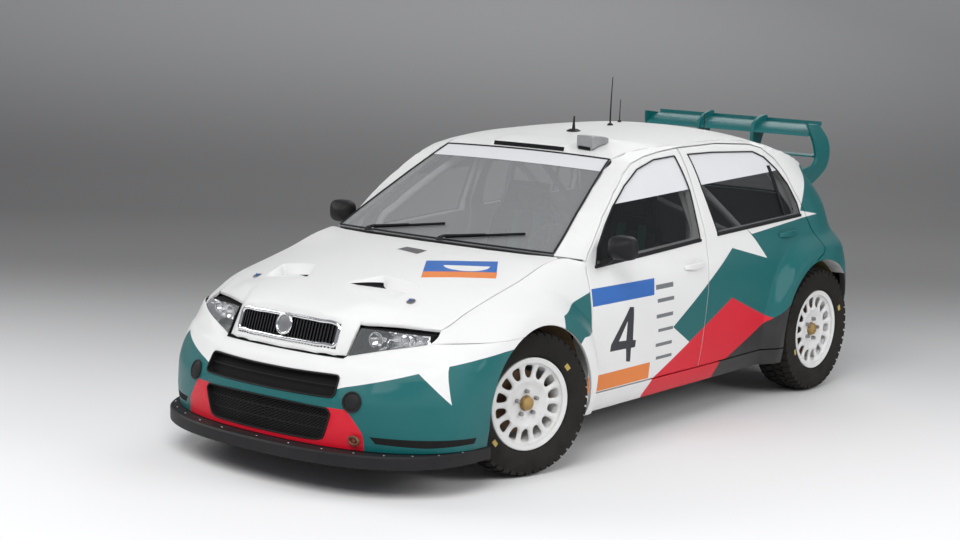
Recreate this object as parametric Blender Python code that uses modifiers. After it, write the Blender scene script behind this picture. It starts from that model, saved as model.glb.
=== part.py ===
"""Rally hatchback with opening doors, hood and tailgate, steered front wheels and a gravel set-up.

Metres, +Z up, front towards -Y, the car's left side at +X, origin on the ground under the middle.
"""
import math

import bmesh
import bpy
import numpy as np
from mathutils import Matrix, Vector
from mathutils.geometry import delaunay_2d_cdt

# Driving sizes
LENGTH = 4.002
HALF_WIDTH = 0.875
HEIGHT = 1.390
# Lines of the body, as shares of HEIGHT
BELT_SHARE = 0.6475
TAPER_LOW_SHARE = 0.4317
TAPER_HIGH_SHARE = 0.6835
TAIL_LAMP_TOP_SHARE = 0.6799
TAIL_LAMP_FOOT_SHARE = 0.5288
HOOD_FOOT_SHARE = 0.4086
HOOD_HINGE_SHARE = 0.6583
TAILGATE_TOP_SHARE = 0.8727
BUMPER_TOP_SHARE = 0.4302
BUMPER_SIDE_SHARE = 0.4640
FIREWALL_SHARE = 0.6187
STRUT_TOP_SHARE = 0.5324
SEAT_TOP_SHARE = 0.7770
STEERING_SHARE = 0.5971
WING_SHARE = 0.9374
FRONT_AXLE_Y = -1.068
WHEELBASE = 2.428
REAR_AXLE_Y = FRONT_AXLE_Y + WHEELBASE

# Wheels and tyres
TYRE_RADIUS = 0.325
TYRE_WIDTH = 0.205
RIM_RADIUS = 0.2065
RIM_LIP = 0.012
FRONT_RIM_INSET = 0.060
FRONT_RIM_FACE_X = HALF_WIDTH - FRONT_RIM_INSET
REAR_RIM_INSET = 0.039
REAR_RIM_FACE_X = HALF_WIDTH - REAR_RIM_INSET
STEER_AT_REST = math.radians(15.8)
RIM_STEPS = 28
TYRE_STEPS = 40
RIM_WINDOWS = 14
LUG_COUNT = 5
RIM_FACE_DEPTH = 0.018
RIM_BARREL_WALL = 0.008
WINDOW_PHASE_SHARE = 0.3
RIM_WINDOW_SIZE = (0.040, 0.034)
RIM_WINDOW_RADIUS = 0.146
LUG_RING_RADIUS = 0.054
LUG_HOLE_RADIUS = 0.011
HUB_RADIUS = 0.034
HUB_REACH = 0.030
DISC_RADIUS = 0.150
DISC_THICKNESS = 0.028
DISC_INSET = 0.095

# Panels, walls and gaps
SHUT_GAP = 0.006
SEAT_GAP = 0.0003
SKIN = 0.014
DOOR_WALL = 0.070
FRAME_WALL = 0.034
GLASS = 0.005
BUMPER_WALL = 0.030
ARCH_CLEARANCE = 0.037
REAR_ARCH_CLEARANCE = 0.050
FLARE = 0.060
FLARE_INNER_MARGIN = 0.030
FLARE_FADE = 0.120
PANEL_STEP = 0.100
CORNER_POWER = 2.4
FENDER_ROLL = 0.130
OVERRUN = 0.050

CABIN_TAPER = 0.020
CABIN_TAPER_RUN = 0.900
TAPER_LIMIT_SHARE = 1.5
CABIN_TAPER_LOW = HEIGHT * TAPER_LOW_SHARE
CABIN_TAPER_HIGH = HEIGHT * TAPER_HIGH_SHARE
CABIN_MIDDLE_Y = 0.300
CORNER_RUN = 0.850
BELT_Z = HEIGHT * BELT_SHARE
TAIL_LAMP_TOP_Z = HEIGHT * TAIL_LAMP_TOP_SHARE
TAIL_LAMP_FOOT_Z = HEIGHT * TAIL_LAMP_FOOT_SHARE
TAIL_LAMP_RUN = 0.120
HOOD_EDGE_ROLL = 0.090
HOOD_FOOT_Z = HEIGHT * HOOD_FOOT_SHARE
TAILGATE_WALL = 0.045
TAILGATE_TOP_Z = HEIGHT * TAILGATE_TOP_SHARE
TAILGATE_TOP_DROP = 0.046
SILL_Z = 0.200
BUMPER_TOP_Z = HEIGHT * BUMPER_TOP_SHARE
BUMPER_FOOT_Z = 0.199
BUMPER_SIDE_Z = HEIGHT * BUMPER_SIDE_SHARE
REAR_BUMPER_FOOT_Z = 0.260
FENDER_FOOT_Z = 0.215
BUFFER_SIZE = 0.020
BUFFER_GAP = 0.0014
BRACKET_DEPTH = 0.014
BRACKET_GAP = 0.0014
BRACKET_REACH = 0.150
REBATE = 0.028
REBATE_GAP = 0.0137
PILLAR_WALL = 0.026
CORNER_TURN = 0.120
ARCH_SHIFT = 0.012
LAMP_DEPTH = 0.100
LAMP_BACK_SHARE = 0.6
GRILLE_MARGIN_SHARE = 0.16
RAIL_LEAN_SHARE = 0.7
ROOF_FRONT_Y = -0.094
GLASS_LEAN = math.radians(30)
GLASS_BOW = 0.070
GLASS_RISE = 0.009
TYRE_BULGE = 0.012
STEP_RUN = 0.004

# Underbody, cabin and trim
FLOOR_Z = 0.215
FLOOR_WALL = 0.020
FLOOR_INSET = 0.235
FLOOR_HALF_WIDTH = HALF_WIDTH - FLOOR_INSET
FLOOR_REAR_Y = 1.800
REAR_FLOOR_Z = 0.430
FIREWALL_Y = -0.655
FIREWALL_Z = HEIGHT * FIREWALL_SHARE
TUNNEL_HALF_WIDTH = 0.110
TUNNEL_HEIGHT = 0.120
RAIL_INSET = 0.150
RAIL_OUT_X = HALF_WIDTH - RAIL_INSET
RAIL_WEB = 0.030
RAIL_WALL = 0.015
RAIL_FRONT_Y = -0.600
RAIL_REAR_Y = 0.860
HOUSING_INSET = 0.150
HOUSING_WIDTH = 0.245
HOUSING_OUT_X = HALF_WIDTH - HOUSING_INSET
HOUSING_IN_X = HOUSING_OUT_X - HOUSING_WIDTH
SUBFRAME_INSET = 0.515
SUBFRAME_HALF = HALF_WIDTH - SUBFRAME_INSET
SUBFRAME_REACH = 0.120
SUBFRAME_DEPTH = 0.050
ARM_RADIUS = 0.014
PIVOT_BEHIND_DISC = 0.010
PIVOT_INSET = 0.022
KNUCKLE_FOOT_Z = 0.215
KNUCKLE_TOP_Z = 0.420
KNUCKLE_DEPTH = 0.036
TRAILING_ARM_INSET = 0.080
TRAILING_ARM_X = HOUSING_IN_X - TRAILING_ARM_INSET
STRUT_INSET = 0.355
STRUT_X = HALF_WIDTH - STRUT_INSET
STRUT_TOP_Z = HEIGHT * STRUT_TOP_SHARE
WING_HALF_SPAN = 0.530
WING_FRONT_Y = 1.725
WING_REAR_Y = 1.870
WING_RISE = 0.055
LOWER_WING_RUN = 0.095
LOWER_WING_DROP = 0.118
WING_Z = HEIGHT * WING_SHARE
WING_THICKNESS = 0.022
PLATE_BULGE = 0.020
PLATE_MIDDLE_DROP = 0.085
PLATE_HALF_HEIGHT = 0.150
PLATE_WALL = 0.018
TAIL_SAG = 0.0004
MIRROR_ARM = 0.030
SEAT_X = 0.330
SEAT_HALF_WIDTH = 0.215
SEAT_FRONT_Y = -0.120
SEAT_REAR_Y = 0.420
SEAT_FOOT_Z = FLOOR_Z + FLOOR_WALL + SEAT_GAP
SEAT_TOP_Z = HEIGHT * SEAT_TOP_SHARE
SEAT_SHELL = 0.030
SEAT_BOLSTER = 0.080
SEAT_PATH = 1.200
SEAT_STEPS = 40
SEAT_BASE_INSET = 0.040
MIRROR_ROUND = 0.018
STEERING_RADIUS = 0.160
STEERING_GRIP = 0.014
STEERING_REACH = 0.160
STEERING_Z = HEIGHT * STEERING_SHARE
STEERING_TILT = math.radians(22)
DASH_FACE_Y = -0.400
CAGE_RADIUS = 0.020
AERIAL_RADIUS = 0.010
COWL_RISE_RUN = 0.030
SPLITTER_LIP = 0.070
SPLITTER_STEP = 0.0035
SPLITTER_Z = 0.143
EXHAUST_X = 0.200
EXHAUST_RADIUS = 0.028
EXHAUST_Z = FLOOR_Z - EXHAUST_RADIUS - SEAT_GAP
EXHAUST_END_Y = 1.930
VENT_DEPTH = 0.050
VENT_RUN = 0.020
SCOOP_HALF_WIDTH = 0.250
SCOOP_SIDE = 0.030
SCOOP_FRONT_Y = -0.092
SCOOP_LIP = 0.006
SCOOP_RUN = 0.260
SCOOP_RISE = 0.026
GRILLE_SLOTS = 7
SLOT_SHARE = 0.6
SLOT_MARGIN = 0.010
HOOD_HINGE_Y = -0.740
HOOD_HINGE_Z = HEIGHT * HOOD_HINGE_SHARE
TAIL_HINGE_Y = 1.634
FRONT_HINGE_INSET = 0.047
FRONT_DOOR_HINGE_X = HALF_WIDTH - FRONT_HINGE_INSET
REAR_HINGE_INSET = 0.060
REAR_DOOR_HINGE_X = HALF_WIDTH - REAR_HINGE_INSET
FRONT_DOOR_HINGE_Y = -0.685
REAR_DOOR_HINGE_Y = 0.262
# columns: half width, place along the car, height of two corners
ENGINE_BOX_SHARES = (
    (-0.3886, -0.3898, 0.1906), (0.3886, -0.2799, 0.4892),
)
RADIATOR_BOX_SHARES = (
    (-0.3771, -0.4498, 0.1432), (0.3771, -0.4348, 0.3741),
)
MIRROR_BOX_SHARES = (
    (0.9029, -0.1399, 0.6475), (1.0629, -0.1174, 0.7266),
)
DASH_BOX_SHARES = (
    (-0.6400, -0.1584, 0.5036), (0.6400, -0.1000, 0.6331),
)
ROOF_VENT_SHARES = (
    (0.3000, -0.0125, 0.9899), (0.4057, 0.0250, 1.0050),
)
AERIAL_SHARES = (
    (0.0000, 0.1502, 1.1784),
)
# columns: half width, place along the car, height of the roll cage's bends
CAGE_SHARES = (
    (0.6400, 0.1199, 0.1727), (0.6743, 0.1199, 0.6187), (0.5943, 0.1199, 0.8489),
    (0.5029, 0.1199, 0.9281),
    (0.5029, -0.0050, 0.9029), (0.6400, -0.1000, 0.7338), (0.6743, -0.1349, 0.6187),
    (0.6743, -0.1449, 0.1727),
    (0.6400, 0.3113, 0.5158),
)

# Body section tables, as shares of HEIGHT, HALF_WIDTH and LENGTH
# columns: height, half width
SIDE_SHARES = (
    (0.1079, 0.8743), (0.1439, 0.8891), (0.2086, 0.9177), (0.3237, 0.9280), (0.4317, 0.9280),
    (0.5396, 0.9143), (0.6187, 0.8857), (0.6763, 0.8629), (0.7194, 0.8400), (0.7914, 0.8000),
    (0.8633, 0.7543), (0.9353, 0.6914), (0.9604, 0.6606), (0.9784, 0.6343),
)
# columns: height, where the straight side ends, nose on the centre line
NOSE_SHARES = (
    (0.0935, -0.3576, -0.4820), (0.1439, -0.3576, -0.4820), (0.2770, -0.3451, -0.4825),
    (0.3568, -0.3348, -0.4705), (0.3942, -0.3248, -0.4628), (0.4129, -0.3201, -0.4528),
    (0.4619, -0.3076, -0.4423), (0.5036, -0.2851, -0.4325), (0.5612, -0.2749, -0.4223),
)
# columns: height, where the straight side ends, tail on the centre line
TAIL_SHARES = (
    (0.1439, 0.3573, 0.4910), (0.2518, 0.3621, 0.4973), (0.3597, 0.3648, 0.5000),
    (0.4532, 0.3621, 0.4968), (0.5252, 0.3581, 0.4898), (0.5971, 0.3548, 0.4843),
    (0.6906, 0.3498, 0.4760), (0.7914, 0.3298, 0.4473), (0.8633, 0.3048, 0.4178),
    (0.9065, 0.2874, 0.3998),
)
# columns: place along the car, half width, height of the line where fender and hood meet
HOOD_SHUT_SHARES = (
    (-0.3851, 0.7623, 0.4978), (-0.3786, 0.7714, 0.5043), (-0.3526, 0.7863, 0.5374),
    (-0.3208, 0.7920, 0.5655),
    (-0.2616, 0.7920, 0.6086), (-0.2071, 0.7886, 0.6532), (-0.1862, 0.8000, 0.6604),
    (-0.1579, 0.8651, 0.6424),
)
# columns: half width, place of the hood's rear edge
HOOD_REAR_SHARES = (
    (0.0000, -0.2214), (0.2286, -0.2189), (0.4114, -0.2139), (0.6286, -0.2014), (0.7749, -0.1879),
)
# columns: half width, height
BUMPER_TOP_SHARES = (
    (0.0000, 0.4043), (0.3989, 0.4043),
)
LAMP_FOOT_SHARES = (
    (0.4091, 0.4115), (0.5714, 0.4360), (0.7680, 0.4619),
)
UPPER_INTAKE_SHARES = (
    (0.1143, 0.2950), (0.4229, 0.2964), (0.4389, 0.3058), (0.4320, 0.3525), (0.4171, 0.3612),
    (0.1143, 0.3576),
)
LOWER_INTAKE_SHARES = (
    (0.1143, 0.1597), (0.3429, 0.1612), (0.3829, 0.1698), (0.4229, 0.2482), (0.4000, 0.2647),
    (0.1143, 0.2676),
)
LAMP_TOP_SHARES = (
    (0.7486, 0.4835), (0.5143, 0.4914), (0.4160, 0.4921),
)
# columns: half width, place of the hood's front edge, its height, place of the nose's foot
HOOD_FRONT_SHARES = (
    (0.0000, -0.4398, 0.5309, -0.4543), (0.2286, -0.4385, 0.5266, -0.4528),
    (0.3314, -0.4353, 0.5194, -0.4493),
    (0.4000, -0.4240, 0.5094, -0.4448), (0.5143, -0.4128, 0.5079, -0.4335),
    (0.7589, -0.3838, 0.5000, -0.4048),
)
# columns: place along the car, height of the hood on the centre line
HOOD_CREST_SHARES = (
    (-0.4435, 0.5237), (-0.4248, 0.5540), (-0.3998, 0.5799), (-0.3748, 0.6000), (-0.3248, 0.6302),
    (-0.2749, 0.6532), (-0.2199, 0.6719), (-0.1749, 0.6799),
)
# columns: place along the car, half width, height of the windscreen's edge and the roof's edge
TOP_LINE_SHARES = (
    (-0.1869, 0.7509, 0.6662), (-0.1599, 0.7246, 0.7137), (-0.1249, 0.6834, 0.7755),
    (-0.0825, 0.6354, 0.8475),
    (-0.0462, 0.5943, 0.9065), (-0.0250, 0.5749, 0.9381), (0.0025, 0.5851, 0.9568),
    (0.0450, 0.6011, 0.9655),
    (0.0950, 0.6057, 0.9691), (0.1374, 0.6057, 0.9691), (0.2249, 0.6057, 0.9633),
    (0.2874, 0.6057, 0.9417),
    (0.3373, 0.6023, 0.9079), (0.3748, 0.5943, 0.8748), (0.4098, 0.5771, 0.8374),
)
# columns: place along the car, height of the line over the doors
DOOR_LINE_SHARES = (
    (-0.1869, 0.6187), (-0.1569, 0.6439), (-0.1324, 0.7072), (-0.1067, 0.7763), (-0.0755, 0.8424),
    (-0.0450, 0.9000), (-0.0212, 0.9295), (0.0100, 0.9460), (0.0450, 0.9554), (0.0900, 0.9612),
    (0.1749, 0.9612), (0.2499, 0.9460), (0.2731, 0.9302), (0.3248, 0.8777), (0.4098, 0.7986),
)
# columns: place along the car, height of the roof on the centre line
ROOF_CREST_SHARES = (
    (-0.0277, 0.9417), (0.0125, 0.9741), (0.0625, 0.9906), (0.1374, 0.9993), (0.2249, 0.9957),
    (0.2874, 0.9763), (0.3373, 0.9432), (0.3748, 0.9108), (0.4148, 0.8691),
)
# columns: place along the car, height
FRONT_DOOR_EDGE_SHARES = (
    (-0.1684, 0.2108), (0.0667, 0.2050), (0.0725, 0.3237), (0.0825, 0.5036), (0.0885, 0.6511),
    (0.0860, 0.8158),
    (0.0852, 0.9568), (0.0450, 0.9511), (0.0100, 0.9417), (-0.0212, 0.9252), (-0.0450, 0.8957),
    (-0.0755, 0.8381), (-0.1067, 0.7719), (-0.1324, 0.7029), (-0.1564, 0.6388),
)
FRONT_WINDOW_SHARES = (
    (-0.1399, 0.6259), (0.0757, 0.6518), (0.0785, 0.8165), (0.0725, 0.9367), (0.0257, 0.9324),
    (-0.0162, 0.9079),
    (-0.0517, 0.8619), (-0.0850, 0.8014), (-0.1062, 0.7511), (-0.1312, 0.6799),
)
REAR_DOOR_EDGE_SHARES = (
    (0.3263, 0.5122), (0.3421, 0.5281), (0.3503, 0.5482), (0.3486, 0.5892), (0.3381, 0.6518),
    (0.3298, 0.7165),
    (0.3206, 0.7626), (0.3111, 0.8230), (0.2956, 0.8813), (0.2731, 0.9259), (0.2499, 0.9417),
    (0.1749, 0.9568),
    (0.0895, 0.9568), (0.0885, 0.8158), (0.0902, 0.6511), (0.0840, 0.5036), (0.0740, 0.3237),
    (0.0682, 0.2050),
    (0.2324, 0.2050),
)
REAR_WINDOW_SHARES = (
    (0.1157, 0.6604), (0.3221, 0.6755), (0.3208, 0.7194), (0.3091, 0.7899), (0.2914, 0.8489),
    (0.2711, 0.8964),
    (0.2499, 0.9194), (0.1567, 0.9338), (0.1009, 0.9367), (0.1049, 0.8165),
)
# columns: half width, place along the car of the corners of a hood vent
VENT_SHARES = (
    (0.1280, -0.3823), (0.4480, -0.3873), (0.4754, -0.3426), (0.2377, -0.3453),
)
# columns: place along the car, height of the wing's end plate, down its rear edge and up its front edge
PLATE_REAR_SHARES = (
    (0.4575, 0.9799), (0.4760, 0.9245), (0.4818, 0.8683), (0.4778, 0.8086), (0.4610, 0.7662),
)
PLATE_FRONT_SHARES = (
    (0.4403, 0.8223), (0.4460, 0.8489), (0.4410, 0.8993), (0.4323, 0.9532), (0.4280, 0.9899),
)
# columns: place along the car, height of a wing support, up its front edge and down its rear edge
SUPPORT_SHARES = (
    (0.4298, 0.8921), (0.4298, 0.9424), (0.4335, 0.9727), (0.4498, 0.9964), (0.4678, 1.0014),
    (0.4668, 0.9676), (0.4585, 0.9209), (0.4498, 0.8633), (0.4498, 0.8165),
)
# heights between which an end plate and a support sit on the tailgate
PLATE_SEAT_SHARES = (0.7338, 0.8129)
SUPPORT_SEAT_SHARES = (0.8115, 0.8345)
# columns: share of the seat's path, then of its run and height, of its half width and of its bolsters
SEAT_SHARES = (
    (0.00, 0.00, 0.235, 0.92, 0.5), (0.12, 0.20, 0.260, 0.96, 0.8), (0.25, 0.44, 0.225, 1.00, 0.9),
    (0.38, 0.68, 0.205, 1.00, 1.0), (0.48, 0.80, 0.280, 1.00, 1.1), (0.65, 0.86, 0.520, 0.98, 1.2),
    (0.82, 0.91, 0.760, 0.92, 0.9), (0.90, 0.93, 0.880, 0.66, 0.7), (1.00, 0.95, 1.000, 0.58, 0.6),
)
# columns: place along the car, height of the rubber buffers of the front and the rear doors
BUFFER_SHARES = (
    (0.0790, 0.5036), (0.0820, 0.4029),
)
# columns: place along the car, height of the shut line between quarter panel and tailgate
TAILGATE_SHUT_SHARES = (
    (0.6857, 0.4317), (0.7086, 0.5252), (0.7086, 0.5971), (0.6857, 0.6906), (0.6400, 0.7914),
    (0.5943, 0.8633),
)
REAR_GLASS_SHARES = (
    (0.5943, 0.6906), (0.5714, 0.7626), (0.5200, 0.8043),
)

UP = Vector((0, 0, 1))
ACROSS = Vector((1, 0, 0))


# Tables and curves
def scaled(table, *sizes):
    """The table of shares in metres, one size for each column."""
    return np.array(table, dtype=float) * np.array(sizes, dtype=float)


def curve(table, column, at):
    """Smooth, monotone curve through a table's column over its first column."""
    knots, values = table[:, 0], table[:, column]
    steps = np.diff(knots)
    slopes = np.diff(values) / steps
    tangents = np.zeros(len(knots))
    tangents[0], tangents[-1] = slopes[0], slopes[-1]
    for i in range(1, len(slopes)):
        if slopes[i - 1] * slopes[i] > 0:
            before, after = steps[i] * 2 + steps[i - 1], steps[i - 1] * 2 + steps[i]
            tangents[i] = (before + after) / (before / slopes[i - 1] + after / slopes[i])
    at = np.clip(at, knots[0], knots[-1])
    i = np.clip(np.searchsorted(knots, at, side="right") - 1, 0, len(slopes) - 1)
    t = (at - knots[i]) / steps[i]
    return (values[i] * (1 + 2 * t) * (1 - t) ** 2 + values[i + 1] * t * t * (3 - 2 * t)
            + steps[i] * t * (1 - t) * (tangents[i] * (1 - t) - tangents[i + 1] * t))


def fade(at, start, end):
    """1 before start, 0 after end and a smooth step between them."""
    t = np.clip((at - start) / (end - start), 0, 1)
    return 1 - t * t * (3 - 2 * t)


SIDE = scaled(SIDE_SHARES, HEIGHT, HALF_WIDTH)
NOSE = scaled(NOSE_SHARES, HEIGHT, LENGTH, LENGTH)
TAIL = scaled(TAIL_SHARES, HEIGHT, LENGTH, LENGTH)
HOOD_SHUT = scaled(HOOD_SHUT_SHARES, LENGTH, HALF_WIDTH, HEIGHT)
HOOD_FRONT = scaled(HOOD_FRONT_SHARES, HALF_WIDTH, LENGTH, HEIGHT, LENGTH)
HOOD_CREST = scaled(HOOD_CREST_SHARES, LENGTH, HEIGHT)
ROOF_CREST = scaled(ROOF_CREST_SHARES, LENGTH, HEIGHT)
TOP_LINE = scaled(TOP_LINE_SHARES, LENGTH, HALF_WIDTH, HEIGHT)
DOOR_LINE = scaled(DOOR_LINE_SHARES, LENGTH, HEIGHT)
FRONT_DOOR_EDGE = scaled(FRONT_DOOR_EDGE_SHARES, LENGTH, HEIGHT)
FRONT_WINDOW = scaled(FRONT_WINDOW_SHARES, LENGTH, HEIGHT)
REAR_DOOR_EDGE = scaled(REAR_DOOR_EDGE_SHARES, LENGTH, HEIGHT)
REAR_WINDOW = scaled(REAR_WINDOW_SHARES, LENGTH, HEIGHT)
TAILGATE_SHUT = scaled(TAILGATE_SHUT_SHARES, HALF_WIDTH, HEIGHT)
TAILGATE_SHUT_BY_HEIGHT = TAILGATE_SHUT[:, ::-1]
REAR_GLASS = scaled(REAR_GLASS_SHARES, HALF_WIDTH, HEIGHT)
VENT = scaled(VENT_SHARES, HALF_WIDTH, LENGTH)
SEAT = scaled(SEAT_SHARES, 1, 1, 1, 1, 1)
FRONT_ARCH = TYRE_RADIUS + ARCH_CLEARANCE
REAR_ARCH = TYRE_RADIUS + REAR_ARCH_CLEARANCE


# Outlines in a flat parameter plane
def arc(centre, radius, start, end, count=14):
    """Points on an arc between two angles in degrees."""
    angles = np.radians(np.linspace(start, end, count))
    return np.column_stack([centre[0] + radius * np.cos(angles), centre[1] + radius * np.sin(angles)])


def dense(outline, step, closed=True):
    """The outline with extra points, so that no side is longer than the step."""
    points = np.asarray(outline, dtype=float)
    ends = np.roll(points, -1, axis=0) if closed else points[1:]
    result = []
    for a, b in zip(points, ends):
        count = max(1, math.ceil(np.hypot(*(b - a)) / step))
        result += [a + (b - a) * i / count for i in range(count)]
    if not closed:
        result.append(points[-1])
    return np.array(result)


def inside(outline, points):
    """Which points lie inside a closed outline."""
    a, b = outline, np.roll(outline, -1, axis=0)
    x, y = points[:, 0, None], points[:, 1, None]
    crosses = (a[:, 1] > y) != (b[:, 1] > y)
    rise = np.where(b[:, 1] == a[:, 1], 1, b[:, 1] - a[:, 1])
    return (crosses & (x < (b[:, 0] - a[:, 0]) * (y - a[:, 1]) / rise + a[:, 0])).sum(axis=1) % 2 == 1


def distance(outline, points):
    """Distance of each point to a closed outline."""
    a, b = outline, np.roll(outline, -1, axis=0)
    along = b - a
    length = np.maximum((along ** 2).sum(axis=1), 1e-12)
    offset = points[:, None, :] - a
    t = np.clip((offset * along).sum(axis=2) / length, 0, 1)
    return np.sqrt(((offset - t[..., None] * along) ** 2).sum(axis=2)).min(axis=1)


def inset(outline, gap):
    """The outline moved inwards by a gap, or outwards by a negative one."""
    points = np.asarray(outline, dtype=float)
    before, after = np.roll(points, 1, axis=0), np.roll(points, -1, axis=0)
    area = (points[:, 0] * after[:, 1] - points[:, 1] * after[:, 0]).sum()
    turn = 1 if area > 0 else -1
    one = points - before
    two = after - points
    one = one / np.maximum(np.hypot(*one.T), 1e-12)[:, None]
    two = two / np.maximum(np.hypot(*two.T), 1e-12)[:, None]
    normals = np.column_stack([-(one + two)[:, 1], (one + two)[:, 0]]) * turn
    normals /= np.maximum((normals ** 2).sum(axis=1), 0.4)[:, None]
    return points + normals * 2 * gap


# Making objects
def start_scene(name):
    """Empty scene with a collection for the parts and one for the cutters."""
    for item in list(bpy.data.objects):
        bpy.data.objects.remove(item, do_unlink=True)
    parts = bpy.data.collections.new(name)
    cutters = bpy.data.collections.new("cutters")
    for collection in (parts, cutters):
        bpy.context.scene.collection.children.link(collection)
    return parts, cutters


PARTS, CUTTERS = start_scene("rally_hatchback")


def material(name, colour, roughness, metallic=0.0, alpha=1.0):
    """Principled material with one colour."""
    result = bpy.data.materials.new(name)
    result.use_nodes = True
    shader = result.node_tree.nodes["Principled BSDF"]
    shader.inputs["Base Color"].default_value = (*colour, 1)
    shader.inputs["Roughness"].default_value = roughness
    shader.inputs["Metallic"].default_value = metallic
    shader.inputs["Alpha"].default_value = alpha
    return result


WHITE = material("white_paint", (0.80, 0.80, 0.79), 0.25)
TEAL = material("teal_paint", (0.01, 0.13, 0.15), 0.25)
BLACK = material("black_plastic", (0.03, 0.03, 0.03), 0.6)
RUBBER = material("rubber", (0.025, 0.025, 0.025), 0.85)
CHROME = material("chrome", (0.75, 0.75, 0.76), 0.12, 1.0)
STEEL = material("grey_steel", (0.35, 0.35, 0.36), 0.45, 0.9)
CLEAR = material("clear_glass", (0.75, 0.80, 0.80), 0.05, 0.0, 0.35)
RED_LENS = material("red_lens", (0.45, 0.02, 0.02), 0.15)
SEAT_CLOTH = material("black_cloth", (0.04, 0.04, 0.045), 0.9)
CAGE_PAINT = material("cage_paint", (0.75, 0.75, 0.73), 0.4)


def empty(name, place, parent=None):
    """Empty on a joint's axis."""
    result = bpy.data.objects.new(name, None)
    PARTS.objects.link(result)
    if parent:
        result.parent = parent
        result.location = Vector(place) - parent.matrix_world.translation
    else:
        result.location = place
    bpy.context.view_layer.update()
    return result


def place_object(mesh, name, finish, parent=None, cutter=False):
    """Object of a mesh given in world coordinates, held by its joint's empty."""
    result = bpy.data.objects.new(name, mesh)
    (CUTTERS if cutter else PARTS).objects.link(result)
    if cutter:
        result.hide_render = True
        result.display_type = "WIRE"
    else:
        mesh.materials.append(finish)
        mesh.shade_smooth()
        mesh.set_sharp_from_angle(angle=math.radians(35))
    if parent:
        result.parent = parent
        result.matrix_parent_inverse = parent.matrix_world.inverted()
    return result


def mesh_of(name, points, faces):
    """Mesh with its faces turned outwards."""
    mesh = bpy.data.meshes.new(name)
    mesh.from_pydata([tuple(map(float, p)) for p in points], [], [tuple(map(int, f)) for f in faces])
    work = bmesh.new()
    work.from_mesh(mesh)
    bmesh.ops.recalc_face_normals(work, faces=work.faces)
    if work.calc_volume(signed=True) < 0:
        bmesh.ops.reverse_faces(work, faces=work.faces)
    work.to_mesh(mesh)
    work.free()
    return mesh


def sheet(outline, holes=(), lines=(), step=PANEL_STEP, spread=1.0):
    """Triangles over a flat outline with holes, with the given lines kept as edges."""
    outline = dense(outline, step)
    holes = [dense(hole, step) for hole in holes]
    lines = [dense(line, step, closed=False) for line in lines]
    points, edges = [], []
    for loop in [outline, *holes]:
        first = len(points)
        points += list(loop)
        edges += [(first + i, first + (i + 1) % len(loop)) for i in range(len(loop))]
    for line in lines:
        first = len(points)
        points += list(line)
        edges += [(first + i, first + i + 1) for i in range(len(line) - 1)]
    step = step * spread
    low, high = outline.min(axis=0), outline.max(axis=0)
    rows = np.arange(low[1] + step / 2, high[1], step * math.sqrt(3) / 2)
    grid = np.array([(x + (step / 2 if j % 2 else 0), y) for j, y in enumerate(rows)
                     for x in np.arange(low[0], high[0], step)])
    if len(grid):
        keep = inside(outline, grid) & (distance(outline, grid) > step * 0.45)
        for hole in holes:
            keep &= ~inside(hole, grid) & (distance(hole, grid) > step * 0.45)
        for line in lines:
            loop = np.vstack([line, line[::-1]])
            keep &= distance(loop, grid) > step * 0.45
        points += list(grid[keep])
    result = delaunay_2d_cdt([Vector(p) for p in points], edges, [], 0, 1e-7)
    flat = np.array([tuple(p) for p in result[0]])
    faces = np.array([f for f in result[2] if len(f) == 3])
    middle = flat[faces].mean(axis=1)
    keep = inside(outline, middle)
    for hole in holes:
        keep &= ~inside(hole, middle)
    faces = faces[keep]
    used = np.unique(faces)
    new = np.full(len(flat), -1)
    new[used] = np.arange(len(used))
    return flat[used], new[faces]


def panel_mesh(name, outer, inner, **flat):
    """Closed panel: an outer and an inner surface over one flat sheet, with walls round its edges."""
    points, faces = sheet(**flat)
    count = len(points)
    solid = np.vstack([outer(points), inner(points)])
    edges = {}
    for face in faces:
        for a, b in zip(face, np.roll(face, -1)):
            edges[(a, b)] = True
    walls = [(a, a + count, b + count, b) for a, b in edges if (b, a) not in edges]
    return mesh_of(name, solid, [*map(tuple, faces), *[tuple(f[::-1] + count) for f in faces], *walls])


def panel(name, finish, outer, inner, parent=None, cutter=False, **flat):
    """Object of a closed panel."""
    return place_object(panel_mesh(name, outer, inner, **flat), name, finish, parent, cutter)


def boolean(target, other, kind):
    """Live Boolean that cuts, or joins on, another object."""
    step = target.modifiers.new(other.name, "BOOLEAN")
    step.operation = kind
    step.solver = "EXACT"
    step.object = other


def box(name, low, high, finish=None, parent=None, cutter=False):
    """Box between two corners."""
    work = bmesh.new()
    bmesh.ops.create_cube(work, size=1)
    low, high = Vector(low), Vector(high)
    bmesh.ops.scale(work, vec=high - low, verts=work.verts)
    bmesh.ops.translate(work, vec=(low + high) / 2, verts=work.verts)
    mesh = bpy.data.meshes.new(name)
    work.to_mesh(mesh)
    work.free()
    return place_object(mesh, name, finish, parent, cutter)


def drum(name, centre, axis, radius, length, finish=None, parent=None, cutter=False, steps=24, tip=None):
    """Cylinder or cone about a centre."""
    work = bmesh.new()
    bmesh.ops.create_cone(work, cap_ends=True, segments=steps, radius1=radius,
                          radius2=radius if tip is None else tip, depth=length)
    turn = Vector((0, 0, 1)).rotation_difference(Vector(axis)).to_matrix().to_4x4()
    bmesh.ops.transform(work, matrix=Matrix.Translation(centre) @ turn, verts=work.verts)
    mesh = bpy.data.meshes.new(name)
    work.to_mesh(mesh)
    work.free()
    return place_object(mesh, name, finish, parent, cutter)


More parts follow.
